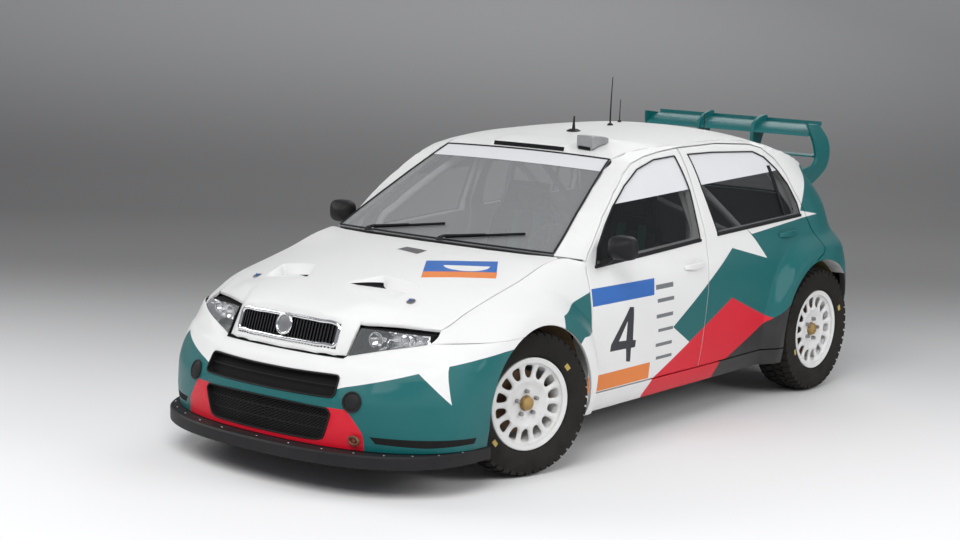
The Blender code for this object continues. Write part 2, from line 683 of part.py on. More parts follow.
def turned(name, profile, matrix, finish=None, parent=None, cutter=False, steps=RIM_STEPS):
    """Turned piece: a closed profile of (radius, place along the axle), with a Screw modifier."""
    mesh = bpy.data.meshes.new(name)
    points = [(radius, 0, along) for radius, along in profile]
    closed = all(radius > 0 for radius, _ in profile)
    edges = [(i, i + 1) for i in range(len(points) - 1)] + ([(len(points) - 1, 0)] if closed else [])
    mesh.from_pydata(points, edges, [])
    result = place_object(mesh, name, finish, None, cutter)
    result.matrix_world = matrix
    spin = result.modifiers.new("turn", "SCREW")
    spin.axis = "Z"
    spin.steps = spin.render_steps = steps
    spin.use_merge_vertices = True
    spin.merge_threshold = 0.0001
    spin.use_smooth_shade = True
    bpy.context.view_layer.update()
    if parent:
        result.parent = parent
        result.matrix_parent_inverse = parent.matrix_world.inverted()
    return result


def tube(name, route, radius, finish=None, cutter=False, parent=None, detail=2):
    """Tube along a route: a bevelled curve made a mesh, so that Booleans can take it."""
    data = bpy.data.curves.new(name, "CURVE")
    data.dimensions = "3D"
    data.bevel_depth = radius
    data.bevel_resolution = detail
    data.use_fill_caps = True
    spline = data.splines.new("POLY")
    spline.points.add(len(route) - 1)
    for point, place in zip(spline.points, route):
        point.co = (*place, 1)
    source = bpy.data.objects.new(name + "_route", data)
    PARTS.objects.link(source)
    bpy.context.view_layer.update()
    mesh = bpy.data.meshes.new_from_object(source.evaluated_get(bpy.context.evaluated_depsgraph_get()))
    bpy.data.objects.remove(source)
    work = bmesh.new()
    work.from_mesh(mesh)
    bmesh.ops.remove_doubles(work, verts=work.verts, dist=1e-5)
    work.to_mesh(mesh)
    work.free()
    mesh.materials.clear()
    return place_object(mesh, name, finish, parent, cutter)


# The body's surfaces, for the left side; each takes flat points and gives places in space
WHEEL_Z = TYRE_RADIUS
NO_FLARE, FRONT_FLARE, REAR_FLARE = 0, 1, 2


def flare(y, z, which):
    """How far the panels stand out round a wheel."""
    if which == NO_FLARE:
        return 0 * y
    if which == FRONT_FLARE:
        beside = np.maximum(0, y - FRONT_AXLE_Y)
        reach = FRONT_ARCH + FLARE_INNER_MARGIN
    else:
        beside = np.maximum(0, REAR_AXLE_Y - y)
        reach = REAR_ARCH + FLARE_INNER_MARGIN
    return FLARE * fade(np.hypot(beside, z - WHEEL_Z), reach, reach + FLARE_FADE)


def side_x(y, z, which):
    """Half width of the body's side at a place and height, before the corners."""
    upper = 1 - fade(z, CABIN_TAPER_LOW, CABIN_TAPER_HIGH)
    front = np.clip((CABIN_MIDDLE_Y - y) / CABIN_TAPER_RUN, 0, TAPER_LIMIT_SHARE) ** 2
    rear = np.clip((y - CABIN_MIDDLE_Y * 2) / CABIN_TAPER_RUN, 0, TAPER_LIMIT_SHARE) ** 2
    return curve(SIDE, 1, z) + flare(y, z, which) - CABIN_TAPER * upper * (front + rear / 2)


def superellipse(t):
    """Width share left after the share t of a rounded corner."""
    return (1 - np.clip(t, 0, 1) ** CORNER_POWER) ** (1 / CORNER_POWER)


def hull_x(y, z, which):
    """Half width of the body's side, with its rounded corners front and rear."""
    start, nose = curve(NOSE, 1, z), curve(NOSE, 2, z)
    end, tail = curve(TAIL, 1, z), curve(TAIL, 2, z)
    straight = side_x(np.clip(y, start, end), z, which)
    return straight * superellipse((start - y) / (start - nose)) * superellipse((y - end) / (tail - end))


def nose_y(x, z):
    """Place along the car of the nose at a half width and height."""
    start, nose = curve(NOSE, 1, z), curve(NOSE, 2, z)
    return start - (start - nose) * superellipse(np.abs(x) / side_x(start, z, FRONT_FLARE))


def tail_y(x, z):
    """Place along the car of the tail at a half width and height."""
    end, tail = curve(TAIL, 1, z), curve(TAIL, 2, z)
    return end + (tail - end) * superellipse(np.abs(x) / side_x(end, z, REAR_FLARE))


def wrap(run, z, front):
    """Point of a bumper's outer skin: the run goes from the centre line round the corner."""
    which = FRONT_FLARE if front else REAR_FLARE
    table, way = (NOSE, -1) if front else (TAIL, 1)
    start, end = curve(table, 1, z), curve(table, 2, z)
    share = np.abs(run) / CORNER_RUN
    angle = np.minimum(share, 1) * math.pi / 2
    power = 2 / CORNER_POWER
    y = start + (end - start) * np.cos(angle) ** power
    y = np.where(share > 1, start - way * (share - 1) * CORNER_RUN, y)
    x = side_x(y if which == NO_FLARE else np.where(share > 1, y, start), z, which) * np.sin(angle) ** power
    return np.column_stack([x * np.sign(run), y, z])


def run_at_x(x, z, front):
    """Run of a bumper's point with a given place across the car."""
    table = NOSE if front else TAIL
    width = side_x(curve(table, 1, z), z, FRONT_FLARE if front else REAR_FLARE)
    share = np.arcsin(np.clip(np.abs(x) / width, 0, 1) ** (CORNER_POWER / 2)) / (math.pi / 2)
    return np.sign(x) * share * CORNER_RUN


def run_at_y(y, z, front):
    """Run of a bumper's point on the left side with a given place along the car."""
    table, way = (NOSE, -1) if front else (TAIL, 1)
    start, end = curve(table, 1, z), curve(table, 2, z)
    beyond = way * (y - start) / abs(end - start)
    corner = np.arccos(np.clip(beyond, 0, 1) ** (CORNER_POWER / 2)) / (math.pi / 2)
    return np.where(beyond > 0, corner * CORNER_RUN, CORNER_RUN + way * (start - y))


def bumper_surfaces(front, wall):
    """Outer and inner skin of a bumper over (run, height)."""
    def outer(p):
        return wrap(p[:, 0], p[:, 1], front)

    def inner(p):
        small = CORNER_RUN / 200
        ahead = wrap(p[:, 0] + small, p[:, 1], front) - wrap(p[:, 0] - small, p[:, 1], front)
        ahead /= np.maximum(np.hypot(ahead[:, 0], ahead[:, 1]), 1e-9)[:, None]
        turn = 1 if front else -1
        return outer(p) + turn * wall * np.column_stack([-ahead[:, 1], ahead[:, 0], 0 * ahead[:, 0]])
    return outer, inner


def roll(share):
    """How a panel's edge rolls over: 0 at its start, 1 at its end."""
    share = np.clip(share, 0, 1)
    return 0.35 * share ** 2 + 0.65 * share ** 5


def fender_point(p):
    """Front fender over (y, z), rolled over to the hood's shut line."""
    y, z = p[:, 0], p[:, 1]
    top, edge = curve(HOOD_SHUT, 2, y), curve(HOOD_SHUT, 1, y)
    share = (z - (top - FENDER_ROLL)) / FENDER_ROLL
    width = hull_x(y, z, FRONT_FLARE)
    return np.column_stack([width - (width - edge) * roll(share), y, z])


def fender_inner(p):
    """Inner skin of the front fender: down at the hood, backwards at the lamp."""
    y, z = p[:, 0], p[:, 1]
    share = np.clip((z - (curve(HOOD_SHUT, 2, y) - FENDER_ROLL)) / FENDER_ROLL, 0, 1)
    down = share ** 2 * math.pi / 2 * (1 - fade(z, BUMPER_SIDE_Z, BUMPER_SIDE_Z + SKIN * 2))
    lamp = curve(HOOD_SHUT, 0, y * 0 - LENGTH)
    back = fade(y, lamp, lamp + FENDER_ROLL) * math.pi / 2
    way = np.column_stack([-np.cos(down) * np.cos(back), np.cos(down) * np.sin(back), -np.sin(down)])
    return fender_point(p) + SKIN * way


def door_wall(z):
    """Thickness of a door at a height: full below the belt, a slim frame round the glass."""
    return FRAME_WALL + (DOOR_WALL - FRAME_WALL) * fade(z, BELT_Z - DOOR_WALL, BELT_Z + DOOR_WALL)


def door_surfaces(which, sunk=0.0, wall=None):
    """Outer and inner skin of a door, or of its glass, over (y, z)."""
    def outer(p):
        return np.column_stack([hull_x(p[:, 0], p[:, 1], which) - sunk, p[:, 0], p[:, 1]])

    def inner(p):
        thick = door_wall(p[:, 1]) if wall is None else wall
        return outer(p) - np.column_stack([thick + 0 * p[:, 0], 0 * p[:, 0], 0 * p[:, 0]])
    return outer, inner


def hood_front(x):
    """Place, height and lower end of the hood's front edge at a half width."""
    table = HOOD_FRONT
    return curve(table, 1, np.abs(x)), curve(table, 2, np.abs(x)), curve(table, 3, np.abs(x))


def vent_sink(x, y):
    """Depth of the two hood vents: their floors slope down to the rear."""
    p = np.column_stack([np.abs(x), y])
    front, rear = VENT[:2, 1].mean(), VENT[2:, 1].mean()
    sunk = np.clip(signed_depth(VENT, p) / VENT_RUN, 0, 1)
    return VENT_DEPTH * sunk * np.clip((y - front) / (rear - front), 0, 1)


def hood_z(x, y):
    """Height of the hood, with its vents, its rolled front edge and the nose round the grille."""
    crest = curve(HOOD_CREST, 1, y)
    side, edge = curve(HOOD_SHUT, 2, y), curve(HOOD_SHUT, 1, y)
    z = crest - (crest - side) * (np.abs(x) / edge) ** CORNER_POWER
    line, height, foot = hood_front(x)
    crest_there = curve(HOOD_CREST, 1, line)
    side_there, edge_there = curve(HOOD_SHUT, 2, line), curve(HOOD_SHUT, 1, line)
    there = crest_there - (crest_there - side_there) * (np.abs(x) / edge_there) ** CORNER_POWER
    near = np.clip(1 - (y - line) / HOOD_EDGE_ROLL, 0, 1)
    z = z - (there - height) * near ** 2
    drop = np.clip((line - y) / (line - foot), 0, 1)
    return np.where(y < line, height - (height - HOOD_FOOT_Z) * drop, z - vent_sink(x, y))


def hood_surfaces(sunk=0.0, wall=None):
    """Outer and inner skin of the hood over (x, y)."""
    wall = SKIN if wall is None else wall

    def way(p):
        line, _, foot = hood_front(p[:, 0])
        tilt = math.radians(68) * (1 - fade(line - p[:, 1], -SKIN, (line - foot) / 2))
        return np.column_stack([0 * tilt, np.sin(tilt), -np.cos(tilt)])

    def outer(p):
        flat = np.column_stack([p[:, 0], p[:, 1], hood_z(p[:, 0], p[:, 1])])
        return flat + sunk * way(p)

    def inner(p):
        return outer(p) + wall * way(p)
    return outer, inner


def scoop_rise(x, y):
    """Height of the scoop over the roof: steep at its mouth, fading out behind and at its sides."""
    ahead = np.clip((y - SCOOP_FRONT_Y) / SCOOP_LIP, 0, 1)
    behind = fade(y, SCOOP_FRONT_Y + SCOOP_LIP, SCOOP_FRONT_Y + SCOOP_RUN)
    return SCOOP_RISE * ahead * behind * fade(np.abs(x), SCOOP_HALF_WIDTH - SCOOP_SIDE, SCOOP_HALF_WIDTH)


def scoop_lines():
    """Lines over (x, y) along which the scoop folds."""
    front, rear, half = SCOOP_FRONT_Y, SCOOP_FRONT_Y + SCOOP_RUN, SCOOP_HALF_WIDTH
    crest, top = front + SCOOP_LIP, half - SCOOP_SIDE
    rows = [[(-half, front), (half, front)], [(-top, crest), (top, crest)],
            [(-half, rear), (half, rear)], [(-top, (front + rear) / 2), (top, (front + rear) / 2)]]
    rows += [[(side * x, y), (side * x, rear - SCOOP_LIP)] for side in (1, -1)
             for x, y in ((half + SCOOP_LIP, front), (top + SCOOP_LIP, crest))]
    return rows


def roof_surfaces():
    """Outer and inner skin of the roof over (x, y)."""
    def plain(p):
        crest = curve(ROOF_CREST, 1, p[:, 1])
        side, edge = curve(TOP_LINE, 2, p[:, 1]), curve(TOP_LINE, 1, p[:, 1])
        z = crest - (crest - side) * np.minimum(np.abs(p[:, 0]) / edge, 1) ** CORNER_POWER
        return np.column_stack([p[:, 0], p[:, 1], z])

    def outer(p):
        rise = scoop_rise(p[:, 0], p[:, 1])
        return plain(p) + np.column_stack([0 * rise, 0 * rise, rise])

    def inner(p):
        return plain(p) - np.array([0, 0, SKIN])
    return outer, inner


def tail_surfaces(wall, sunk=0.0):
    """Outer and inner skin of the tailgate over (x, z), turned down at its top edge."""
    def at_depth(p, depth):
        down = fade(tailgate_top(p[:, 0]) - p[:, 1], 0, TAILGATE_WALL) * math.pi / 2
        skin = np.column_stack([p[:, 0], tail_y(p[:, 0], p[:, 1]), p[:, 1]])
        return skin - depth * np.column_stack([0 * down, np.cos(down), np.sin(down)])
    return lambda p: at_depth(p, sunk), lambda p: at_depth(p, sunk + wall)


def tailgate_top(x):
    """Height of the tailgate's top edge at a half width."""
    crest, side = TAILGATE_TOP_Z, TAILGATE_TOP_Z - TAILGATE_TOP_DROP
    return crest - (crest - side) * (np.abs(x) / curve(TAILGATE_SHUT_BY_HEIGHT, 1, 0 * x + HEIGHT)) ** 2


# The fixed side of the body: pillars, roof rail, quarter panel, sill and door rebates
def aperture():
    """Outline of both door openings together."""
    arch = arc((REAR_AXLE_Y, WHEEL_Z), REAR_ARCH, 186, 98)
    return np.vstack([REAR_DOOR_EDGE[:13], FRONT_DOOR_EDGE[6:], FRONT_DOOR_EDGE[:2],
                      arch[:-1]])


def signed_depth(outline, p):
    """Distance to an outline, positive inside."""
    return np.where(inside(outline, p), 1, -1) * distance(outline, p)


SEAT_OUTLINE = inset(aperture(), -SHUT_GAP)


def side_band(p):
    """Share of the way from the door line up to the top line, and both lines' places."""
    y, z = p[:, 0], p[:, 1]
    low, high = curve(DOOR_LINE, 1, y), curve(TOP_LINE, 2, y)
    return np.clip((z - low) / (high - low), 0, 1), low, curve(TOP_LINE, 1, y)


def side_outer(p):
    """Outer skin of the fixed side over (y, z), stepped in behind the doors."""
    y, z = p[:, 0], p[:, 1]
    band, low, top_x = side_band(p)
    below = hull_x(y, np.where(band > 0, low, z), REAR_FLARE)
    blend = np.where(y > DOOR_LINE[-3, 0], roll(band), band)
    x = below + (top_x - below) * blend
    sunk = np.clip(signed_depth(SEAT_OUTLINE, p) / STEP_RUN, 0, 1)
    return np.column_stack([x - sunk * (door_wall(z) + REBATE_GAP), y, z])


def edge_way(y):
    """Way inwards at the top line: square to the windscreen beside it, straight down beside the roof."""
    glass = fade(y, TOP_LINE[4, 0], TOP_LINE[5, 0])
    lean = GLASS_LEAN * glass
    return np.column_stack([0 * y, np.sin(lean), -np.cos(lean)])


def side_inner(p):
    """Inner skin of the fixed side: inwards, down at the roof, forwards at the tailgate."""
    y, z = p[:, 0], p[:, 1]
    band, low, top_x = side_band(p)
    sunk = np.clip(signed_depth(SEAT_OUTLINE, p) / STEP_RUN, 0, 1)
    below = hull_x(y, np.where(band > 0, low, z), REAR_FLARE)
    blend = np.where(y > DOOR_LINE[-3, 0], roll(band), band)
    x = below + (top_x - below) * blend
    wall = door_wall(z) + REBATE_GAP + PILLAR_WALL / 2
    sink = -RAIL_LEAN_SHARE * (1 - fade(z, BELT_Z, TAILGATE_TOP_Z))
    shut = tail_y(curve(TAILGATE_SHUT_BY_HEIGHT, 1, z), z)
    forward = fade(shut - y, 0, CORNER_TURN) * math.pi / 2
    over = edge_way(y)
    inward = np.column_stack([-np.cos(forward), -np.sin(forward), sink])
    band = band[:, None] ** 0.7
    thick = wall[:, None] * (1 - band) + PILLAR_WALL * band
    return np.column_stack([x, y, z]) + thick * (inward * (1 - band) + over * band)


def shut_line(start, end, count):
    """Points on the rear edge of the side beside the tailgate, over (y, z)."""
    z = np.linspace(start, end, count)
    return np.column_stack([tail_y(curve(TAILGATE_SHUT_BY_HEIGHT, 1, z), z), z])


def tail_lamp_outline():
    """Outline of a tail lamp over (y, z): its rear edge upwards, then its two front corners."""
    rear = shut_line(TAIL_LAMP_FOOT_Z, TAIL_LAMP_TOP_Z, 4)
    return np.vstack([rear, rear[-1] - (TAIL_LAMP_RUN * 0.7, 0), rear[0] - (TAIL_LAMP_RUN, 0)])


def body_side_outline():
    """Outline of the fixed side over (y, z)."""
    top = TOP_LINE[:, [0, 2]]
    lamp = tail_lamp_outline()
    upper = shut_line(TAILGATE_TOP_Z - TAILGATE_TOP_DROP, TAIL_LAMP_TOP_Z, 4)
    shut = np.vstack([upper, lamp[4:], shut_line(TAIL_LAMP_FOOT_Z, BUMPER_TOP_Z, 3)])
    lift = math.degrees(math.asin((BUMPER_TOP_Z - WHEEL_Z) / REAR_ARCH))
    foot = math.degrees(math.asin((SILL_Z - WHEEL_Z) / REAR_ARCH))
    arch = arc((REAR_AXLE_Y, WHEEL_Z), REAR_ARCH, lift, 180 - foot, 18)
    front = FRONT_DOOR_EDGE[0, 0] - SHUT_GAP + SEAT_GAP
    return np.vstack([top[top[:, 0] < shut[0, 0]], shut, arch, [(front, SILL_Z)],
                      [(front, FRONT_DOOR_EDGE[0, 1])], [DOOR_LINE[1] + (0, SHUT_GAP)]])


def mirrored(surface, side):
    """The surface for one side of the car: 1 is the left side, -1 the right."""
    return lambda p: surface(p) * np.array([side, 1, 1])


def make_body_sides():
    """Both fixed sides."""
    outline = body_side_outline()
    front = outline[outline[:, 1] < FRONT_DOOR_EDGE[0, 1], 0].min()
    front_hole = inset(FRONT_DOOR_EDGE, REBATE)
    rear_hole = inset(rear_door_outline(), REBATE)
    seat = np.vstack([SEAT_OUTLINE, SEAT_OUTLINE[:1]])
    step = inset(SEAT_OUTLINE, STEP_RUN)
    step = np.vstack([step, step[:1]])
    for side, word in ((1, "left"), (-1, "right")):
        body = panel("body_side_" + word, WHITE, mirrored(side_outer, side), mirrored(side_inner, side),
                     outline=outline, holes=(front_hole, rear_hole), lines=(seat, step))
        boolean(body, fender_bracket(side, word, front), "UNION")


def fender_bracket(side, word, front):
    """Bracket on the sill's front end that the fender's rear foot sits on."""
    y, z = front - BRACKET_DEPTH, FENDER_FOOT_Z + BRACKET_DEPTH
    face = fender_inner(np.array([[y, z], [front, z], [y, z + BRACKET_DEPTH], [front, z + BRACKET_DEPTH]]))
    x = sorted((side * (face[:, 0].min() - BRACKET_GAP), side * (HALF_WIDTH - BRACKET_REACH)))
    return box("fender_bracket_" + word, (x[0], y, z), (x[1], front + SHUT_GAP / 6, z + BRACKET_DEPTH), cutter=True)


def rear_door_outline():
    """Outline of a rear door, which follows the wheel arch."""
    return np.vstack([REAR_DOOR_EDGE[:18], arc((REAR_AXLE_Y, WHEEL_Z), REAR_ARCH, 186, 98)[:-1]])


def fender_foot():
    """Level line over (y, z) where a front fender sits on the bumper, from the arch to the lamp."""
    arch_y, arch_z = FRONT_AXLE_Y - ARCH_SHIFT, WHEEL_Z - ARCH_SHIFT
    back = arch_y - math.sqrt(FRONT_ARCH ** 2 - (BUMPER_SIDE_Z - arch_z) ** 2)
    foot = lamp_foot()[-1]
    front = float(nose_y(foot[:1] + SHUT_GAP, foot[1:])[0])
    y = back + (front - back) * np.linspace(0, 1, 7)[1:]
    return np.column_stack([y, 0 * y + BUMPER_SIDE_Z])


def lamp_foot():
    """Line over (x, z) along which a headlamp sits on the bumper."""
    return dense(scaled(LAMP_FOOT_SHARES, HALF_WIDTH, HEIGHT), PANEL_STEP * 0.6, closed=False)


def make_fenders():
    """Both front fenders."""
    arch_y, arch_z = FRONT_AXLE_Y - ARCH_SHIFT, WHEEL_Z - ARCH_SHIFT
    foot = math.degrees(math.asin((FENDER_FOOT_Z - arch_z) / FRONT_ARCH))
    lift = math.degrees(math.asin((BUMPER_SIDE_Z - arch_z) / FRONT_ARCH))
    arch = arc((arch_y, arch_z), FRONT_ARCH, foot, 180 - lift, 16)
    back = FRONT_DOOR_EDGE[[0, -1]] - (SHUT_GAP, 0)
    top = HOOD_SHUT[::-1, [0, 2]]
    outline = np.vstack([arch, fender_foot(), top[::-1], [back[1]], [back[0]], [(back[0, 0], FENDER_FOOT_Z)]])
    for side, word in ((1, "left"), (-1, "right")):
        panel("front_fender_" + word, WHITE, mirrored(fender_point, side), mirrored(fender_inner, side),
              outline=outline)


def make_hood(body):
    """Hood with its nose, and the grille that it carries."""
    side = HOOD_SHUT[:, :2][:, ::-1] - (SHUT_GAP, 0)
    side = side[side[:, 1] > HOOD_FRONT[-1, 1]]
    rear = scaled(HOOD_REAR_SHARES, HALF_WIDTH, LENGTH)
    side = side[side[:, 1] < rear[-1, 1]]
    front = HOOD_FRONT[3:, [0, 1]]
    foot = HOOD_FRONT[:4, [0, 3]].copy()
    foot[-1, 0] -= SHUT_GAP
    half = np.vstack([foot, front, side, rear[::-1]])
    keep = half[half[:, 0] > 0]
    outline = np.vstack([half[:1], keep, half[-1:], (keep * (-1, 1))[::-1]])
    crest = HOOD_FRONT[:4, [0, 1]]
    crest = np.vstack([(crest * (-1, 1))[::-1], crest[1:]])
    rims = [np.vstack([loop, loop[:1]]) * (side, 1) for loop in (VENT, inset(VENT, VENT_RUN)) for side in (1, -1)]
    hole = grille_outline(0)
    outer, inner = hood_surfaces()
    panel("hood", WHITE, outer, inner, body, outline=outline, holes=(hole,), lines=(crest, *rims),
          spread=1.3)
    outer, inner = hood_surfaces(sunk=SKIN / 3)
    grille = panel("grille", CHROME, outer, inner, body, outline=grille_outline(SEAT_GAP))
    boolean(grille, grille_slots(outer), "DIFFERENCE")


def grille_slots(face):
    """Upright slots between the grille's slats."""
    work = bmesh.new()
    half = HOOD_FRONT[2, 0] - SLOT_MARGIN
    pitch = half / GRILLE_SLOTS
    for k in range(-GRILLE_SLOTS, GRILLE_SLOTS):
        x = (k + 0.5) * pitch
        line, _, foot = hood_front(np.array([abs(x) + pitch / 2]))
        rows = foot + (line - foot) * np.array([GRILLE_MARGIN_SHARE, 1 - GRILLE_MARGIN_SHARE])
        low, high = face(np.column_stack([x + 0 * rows, rows]))[:, 2] + (SLOT_MARGIN, -SLOT_MARGIN)
        size = (pitch * SLOT_SHARE, OVERRUN * 4, high - low)
        made = bmesh.ops.create_cube(work, size=1)
        place = Matrix.Translation((x, float(rows.mean()), (low + high) / 2)) @ Matrix.Diagonal((*size, 1))
        bmesh.ops.transform(work, matrix=place, verts=made["verts"])
    mesh = bpy.data.meshes.new("grille_slots")
    work.to_mesh(mesh)
    work.free()
    return place_object(mesh, "grille_slots", None, None, True)


def grille_outline(gap):
    """Outline of the grille over (x, y)."""
    rows = HOOD_FRONT[:3]
    low = rows[:, 3] + (rows[:, 1] - rows[:, 3]) * GRILLE_MARGIN_SHARE
    high = rows[:, 1] - (rows[:, 1] - rows[:, 3]) * GRILLE_MARGIN_SHARE
    half = np.vstack([np.column_stack([rows[:, 0], low]), np.column_stack([rows[:, 0], high])[::-1]])
    right = half[half[:, 0] > 0] * (-1, 1)
    return inset(np.vstack([half[:3], half[3:], right[::-1]]), gap)


def make_bumpers():
    """Front and rear bumpers."""
    arch_y, arch_z = FRONT_AXLE_Y - ARCH_SHIFT, WHEEL_Z - ARCH_SHIFT
    heights = np.linspace(BUMPER_FOOT_Z, BUMPER_SIDE_Z - SEAT_GAP, 9)
    edge_y = arch_y - np.sqrt(FRONT_ARCH ** 2 - (heights - arch_z) ** 2)
    side = np.column_stack([run_at_y(edge_y, heights, True), heights])
    top = np.vstack([scaled(BUMPER_TOP_SHARES, HALF_WIDTH, HEIGHT), lamp_foot() - (0, SEAT_GAP)])
    top = np.column_stack([run_at_x(top[:, 0], top[:, 1], True), top[:, 1]])
    shut = fender_foot() - (0, SEAT_GAP)
    shut = np.column_stack([run_at_y(shut[:, 0], shut[:, 1], True), shut[:, 1]])
    half = np.vstack([[(0, BUMPER_FOOT_Z)], side, shut, top[::-1]])
    outline = np.vstack([half, (half[half[:, 0] > 0] * (-1, 1))[::-1]])
    holes = []
    for shares in (UPPER_INTAKE_SHARES, LOWER_INTAKE_SHARES):
        loop = scaled(shares, HALF_WIDTH, HEIGHT)
        loop = np.vstack([loop, (loop * (-1, 1))[::-1]])
        holes.append(np.column_stack([run_at_x(loop[:, 0], loop[:, 1], True), loop[:, 1]]))
    outer, inner = bumper_surfaces(True, BUMPER_WALL)
    panel("front_bumper", WHITE, outer, inner, outline=outline, holes=holes)

    heights = np.linspace(REAR_BUMPER_FOOT_Z, BUMPER_TOP_Z - SEAT_GAP, 8)
    edge_y = REAR_AXLE_Y + np.sqrt(REAR_ARCH ** 2 - (heights - WHEEL_Z) ** 2)
    side = np.column_stack([run_at_y(edge_y, heights, False), heights])
    half = np.vstack([[(0, REAR_BUMPER_FOOT_Z)], side, [(0, BUMPER_TOP_Z - SEAT_GAP)]])
    outline = np.vstack([half, (half[half[:, 0] > 0] * (-1, 1))[::-1]])
    outer, inner = bumper_surfaces(False, BUMPER_WALL)
    panel("rear_bumper", WHITE, outer, inner, outline=outline)


def make_lamps():
    """Headlamps, as blocks behind their lenses."""
    loop = np.vstack([lamp_foot(), scaled(LAMP_TOP_SHARES, HALF_WIDTH, HEIGHT)])
    middle = loop.mean(axis=0)

    def outer(p):
        return np.column_stack([p[:, 0], nose_y(p[:, 0], p[:, 1]), p[:, 1]])

    def inner(p):
        return outer(middle + (p - middle) * LAMP_BACK_SHARE) + (-LAMP_DEPTH / 3, LAMP_DEPTH, 0)
    for side, word in ((1, "left"), (-1, "right")):
        panel("headlamp_" + word, CLEAR, mirrored(outer, side), mirrored(inner, side), outline=loop)


def make_tail_lamps():
    """Tail lamps at the rear edges of the sides, tapered to the back."""
    loop = inset(tail_lamp_outline(), SEAT_GAP)
    middle = loop.mean(axis=0)

    def inner(p):
        back = middle + (p - middle) * LAMP_BACK_SHARE
        return (side_outer(back) + side_inner(back)) / 2
    for side, word in ((1, "left"), (-1, "right")):
        panel("tail_lamp_" + word, RED_LENS, mirrored(side_outer, side), mirrored(inner, side), outline=loop)


def make_roof():
    """Roof panel."""
    rows = np.append(ROOF_FRONT_Y, TOP_LINE[TOP_LINE[:, 0] > ROOF_FRONT_Y + SHUT_GAP, 0])
    side = np.column_stack([curve(TOP_LINE, 1, rows) - SEAT_GAP, rows])
    x = side[-1, 0] * np.array([1, 0.8, 0.55, 0.28, 0])
    rear = np.column_stack([x, tail_y(x, tailgate_top(x)) - SHUT_GAP * 1.5])
    side = side[side[:, 1] < rear[0, 1]]
    half = np.vstack([[(0, ROOF_FRONT_Y)], side, rear])
    outline = np.vstack([half, (half[half[:, 0] > 0] * (-1, 1))[::-1]])
    outer, inner = roof_surfaces()
    panel("roof_panel", WHITE, outer, inner, outline=outline, lines=scoop_lines(), spread=2.0)


def make_windscreen():
    """Windscreen between the pillars, bowed forwards at its foot."""
    rows = dense(TOP_LINE[:6][:, [0, 2]], PANEL_STEP, closed=False)[:, 0]

    def outer(p):
        share, y = p[:, 0] / HALF_WIDTH, p[:, 1]
        bow = 1 - share ** 2
        up = (y - rows[0]) / (rows[-1] - rows[0])
        edge = curve(TOP_LINE, 1, y) - SEAT_GAP
        z = np.interp(y, TOP_LINE[:, 0], TOP_LINE[:, 2])
        return np.column_stack([share * edge, y - GLASS_BOW * (1 - up) * bow, z + GLASS_RISE * bow])

    def inner(p):
        return outer(p) + GLASS * edge_way(p[:, 1])
    right = [(-HALF_WIDTH, y) for y in rows[::-1]]
    panel("windscreen", CLEAR, outer, inner, outline=[*right, *[(HALF_WIDTH, y) for y in rows]],
          step=PANEL_STEP * 1.5)


def make_tailgate(body):
    """Tailgate with its glass."""
    heights = np.linspace(BUMPER_TOP_Z + 2 * SEAT_GAP, TAILGATE_TOP_Z - TAILGATE_TOP_DROP - SHUT_GAP, 8)
    side_x_ = curve(TAILGATE_SHUT_BY_HEIGHT, 1, heights) - SHUT_GAP
    side = np.column_stack([side_x_, heights])
    x = side[-1, 0] * np.array([0.8, 0.55, 0.28, 0])
    top = np.column_stack([x, tailgate_top(x)])
    half = np.vstack([[(0, heights[0])], side, top])
    outline = np.vstack([half, (half[half[:, 0] > 0] * (-1, 1))[::-1]])
    glass = np.vstack([REAR_GLASS, (REAR_GLASS * (-1, 1))[::-1]])
    outer, inner = tail_surfaces(TAILGATE_WALL)
    panel("tailgate", TEAL, outer, inner, body, outline=outline, holes=(glass,))
    outer, inner = tail_surfaces(GLASS, sunk=GLASS)
    panel("rear_window", CLEAR, outer, inner, body, outline=inset(glass, SEAT_GAP))


def make_doors(bodies):
    """Four doors with their window frames and glass."""
    rows = (
        ("front", FRONT_DOOR_EDGE, FRONT_WINDOW, NO_FLARE, scaled(BUFFER_SHARES, LENGTH, HEIGHT)[0]),
        ("rear", rear_door_outline(), REAR_WINDOW, REAR_FLARE, scaled(BUFFER_SHARES, LENGTH, HEIGHT)[1]),
    )
    for end, edge, window, which, buffer in rows:
        outer, inner = door_surfaces(which)
        glass_out, glass_in = door_surfaces(which, sunk=GLASS, wall=GLASS)
        for side, word in ((1, "left"), (-1, "right")):
            body = bodies[end, word]
            door = panel(f"{end}_door_{word}", WHITE, mirrored(outer, side), mirrored(inner, side), body,
                         outline=edge, holes=(window,))
            face = float(inner(buffer[None, :])[0, 0])
            x = sorted((side * (face - REBATE_GAP + BUFFER_GAP), side * (face + BUFFER_SIZE)))
            low, high = buffer - BUFFER_SIZE / 2, buffer + BUFFER_SIZE / 2
            boolean(door, box(f"{end}_buffer_{word}", (x[0], *low), (x[1], *high), cutter=True), "UNION")
            panel(f"{end}_window_{word}", CLEAR, mirrored(glass_out, side), mirrored(glass_in, side), body,
                  outline=inset(window, SEAT_GAP))


# Wheels
def wheel_matrix(face, steer, side):
    """Frame of a wheel: its Z points outwards along the spin axis, its origin is the rim's face."""
    axis = Vector((side * math.cos(steer), -side * math.sin(steer), 0))
    turn = Vector((0, 0, 1)).rotation_difference(axis).to_matrix().to_4x4()
    return Matrix.Translation(face) @ turn


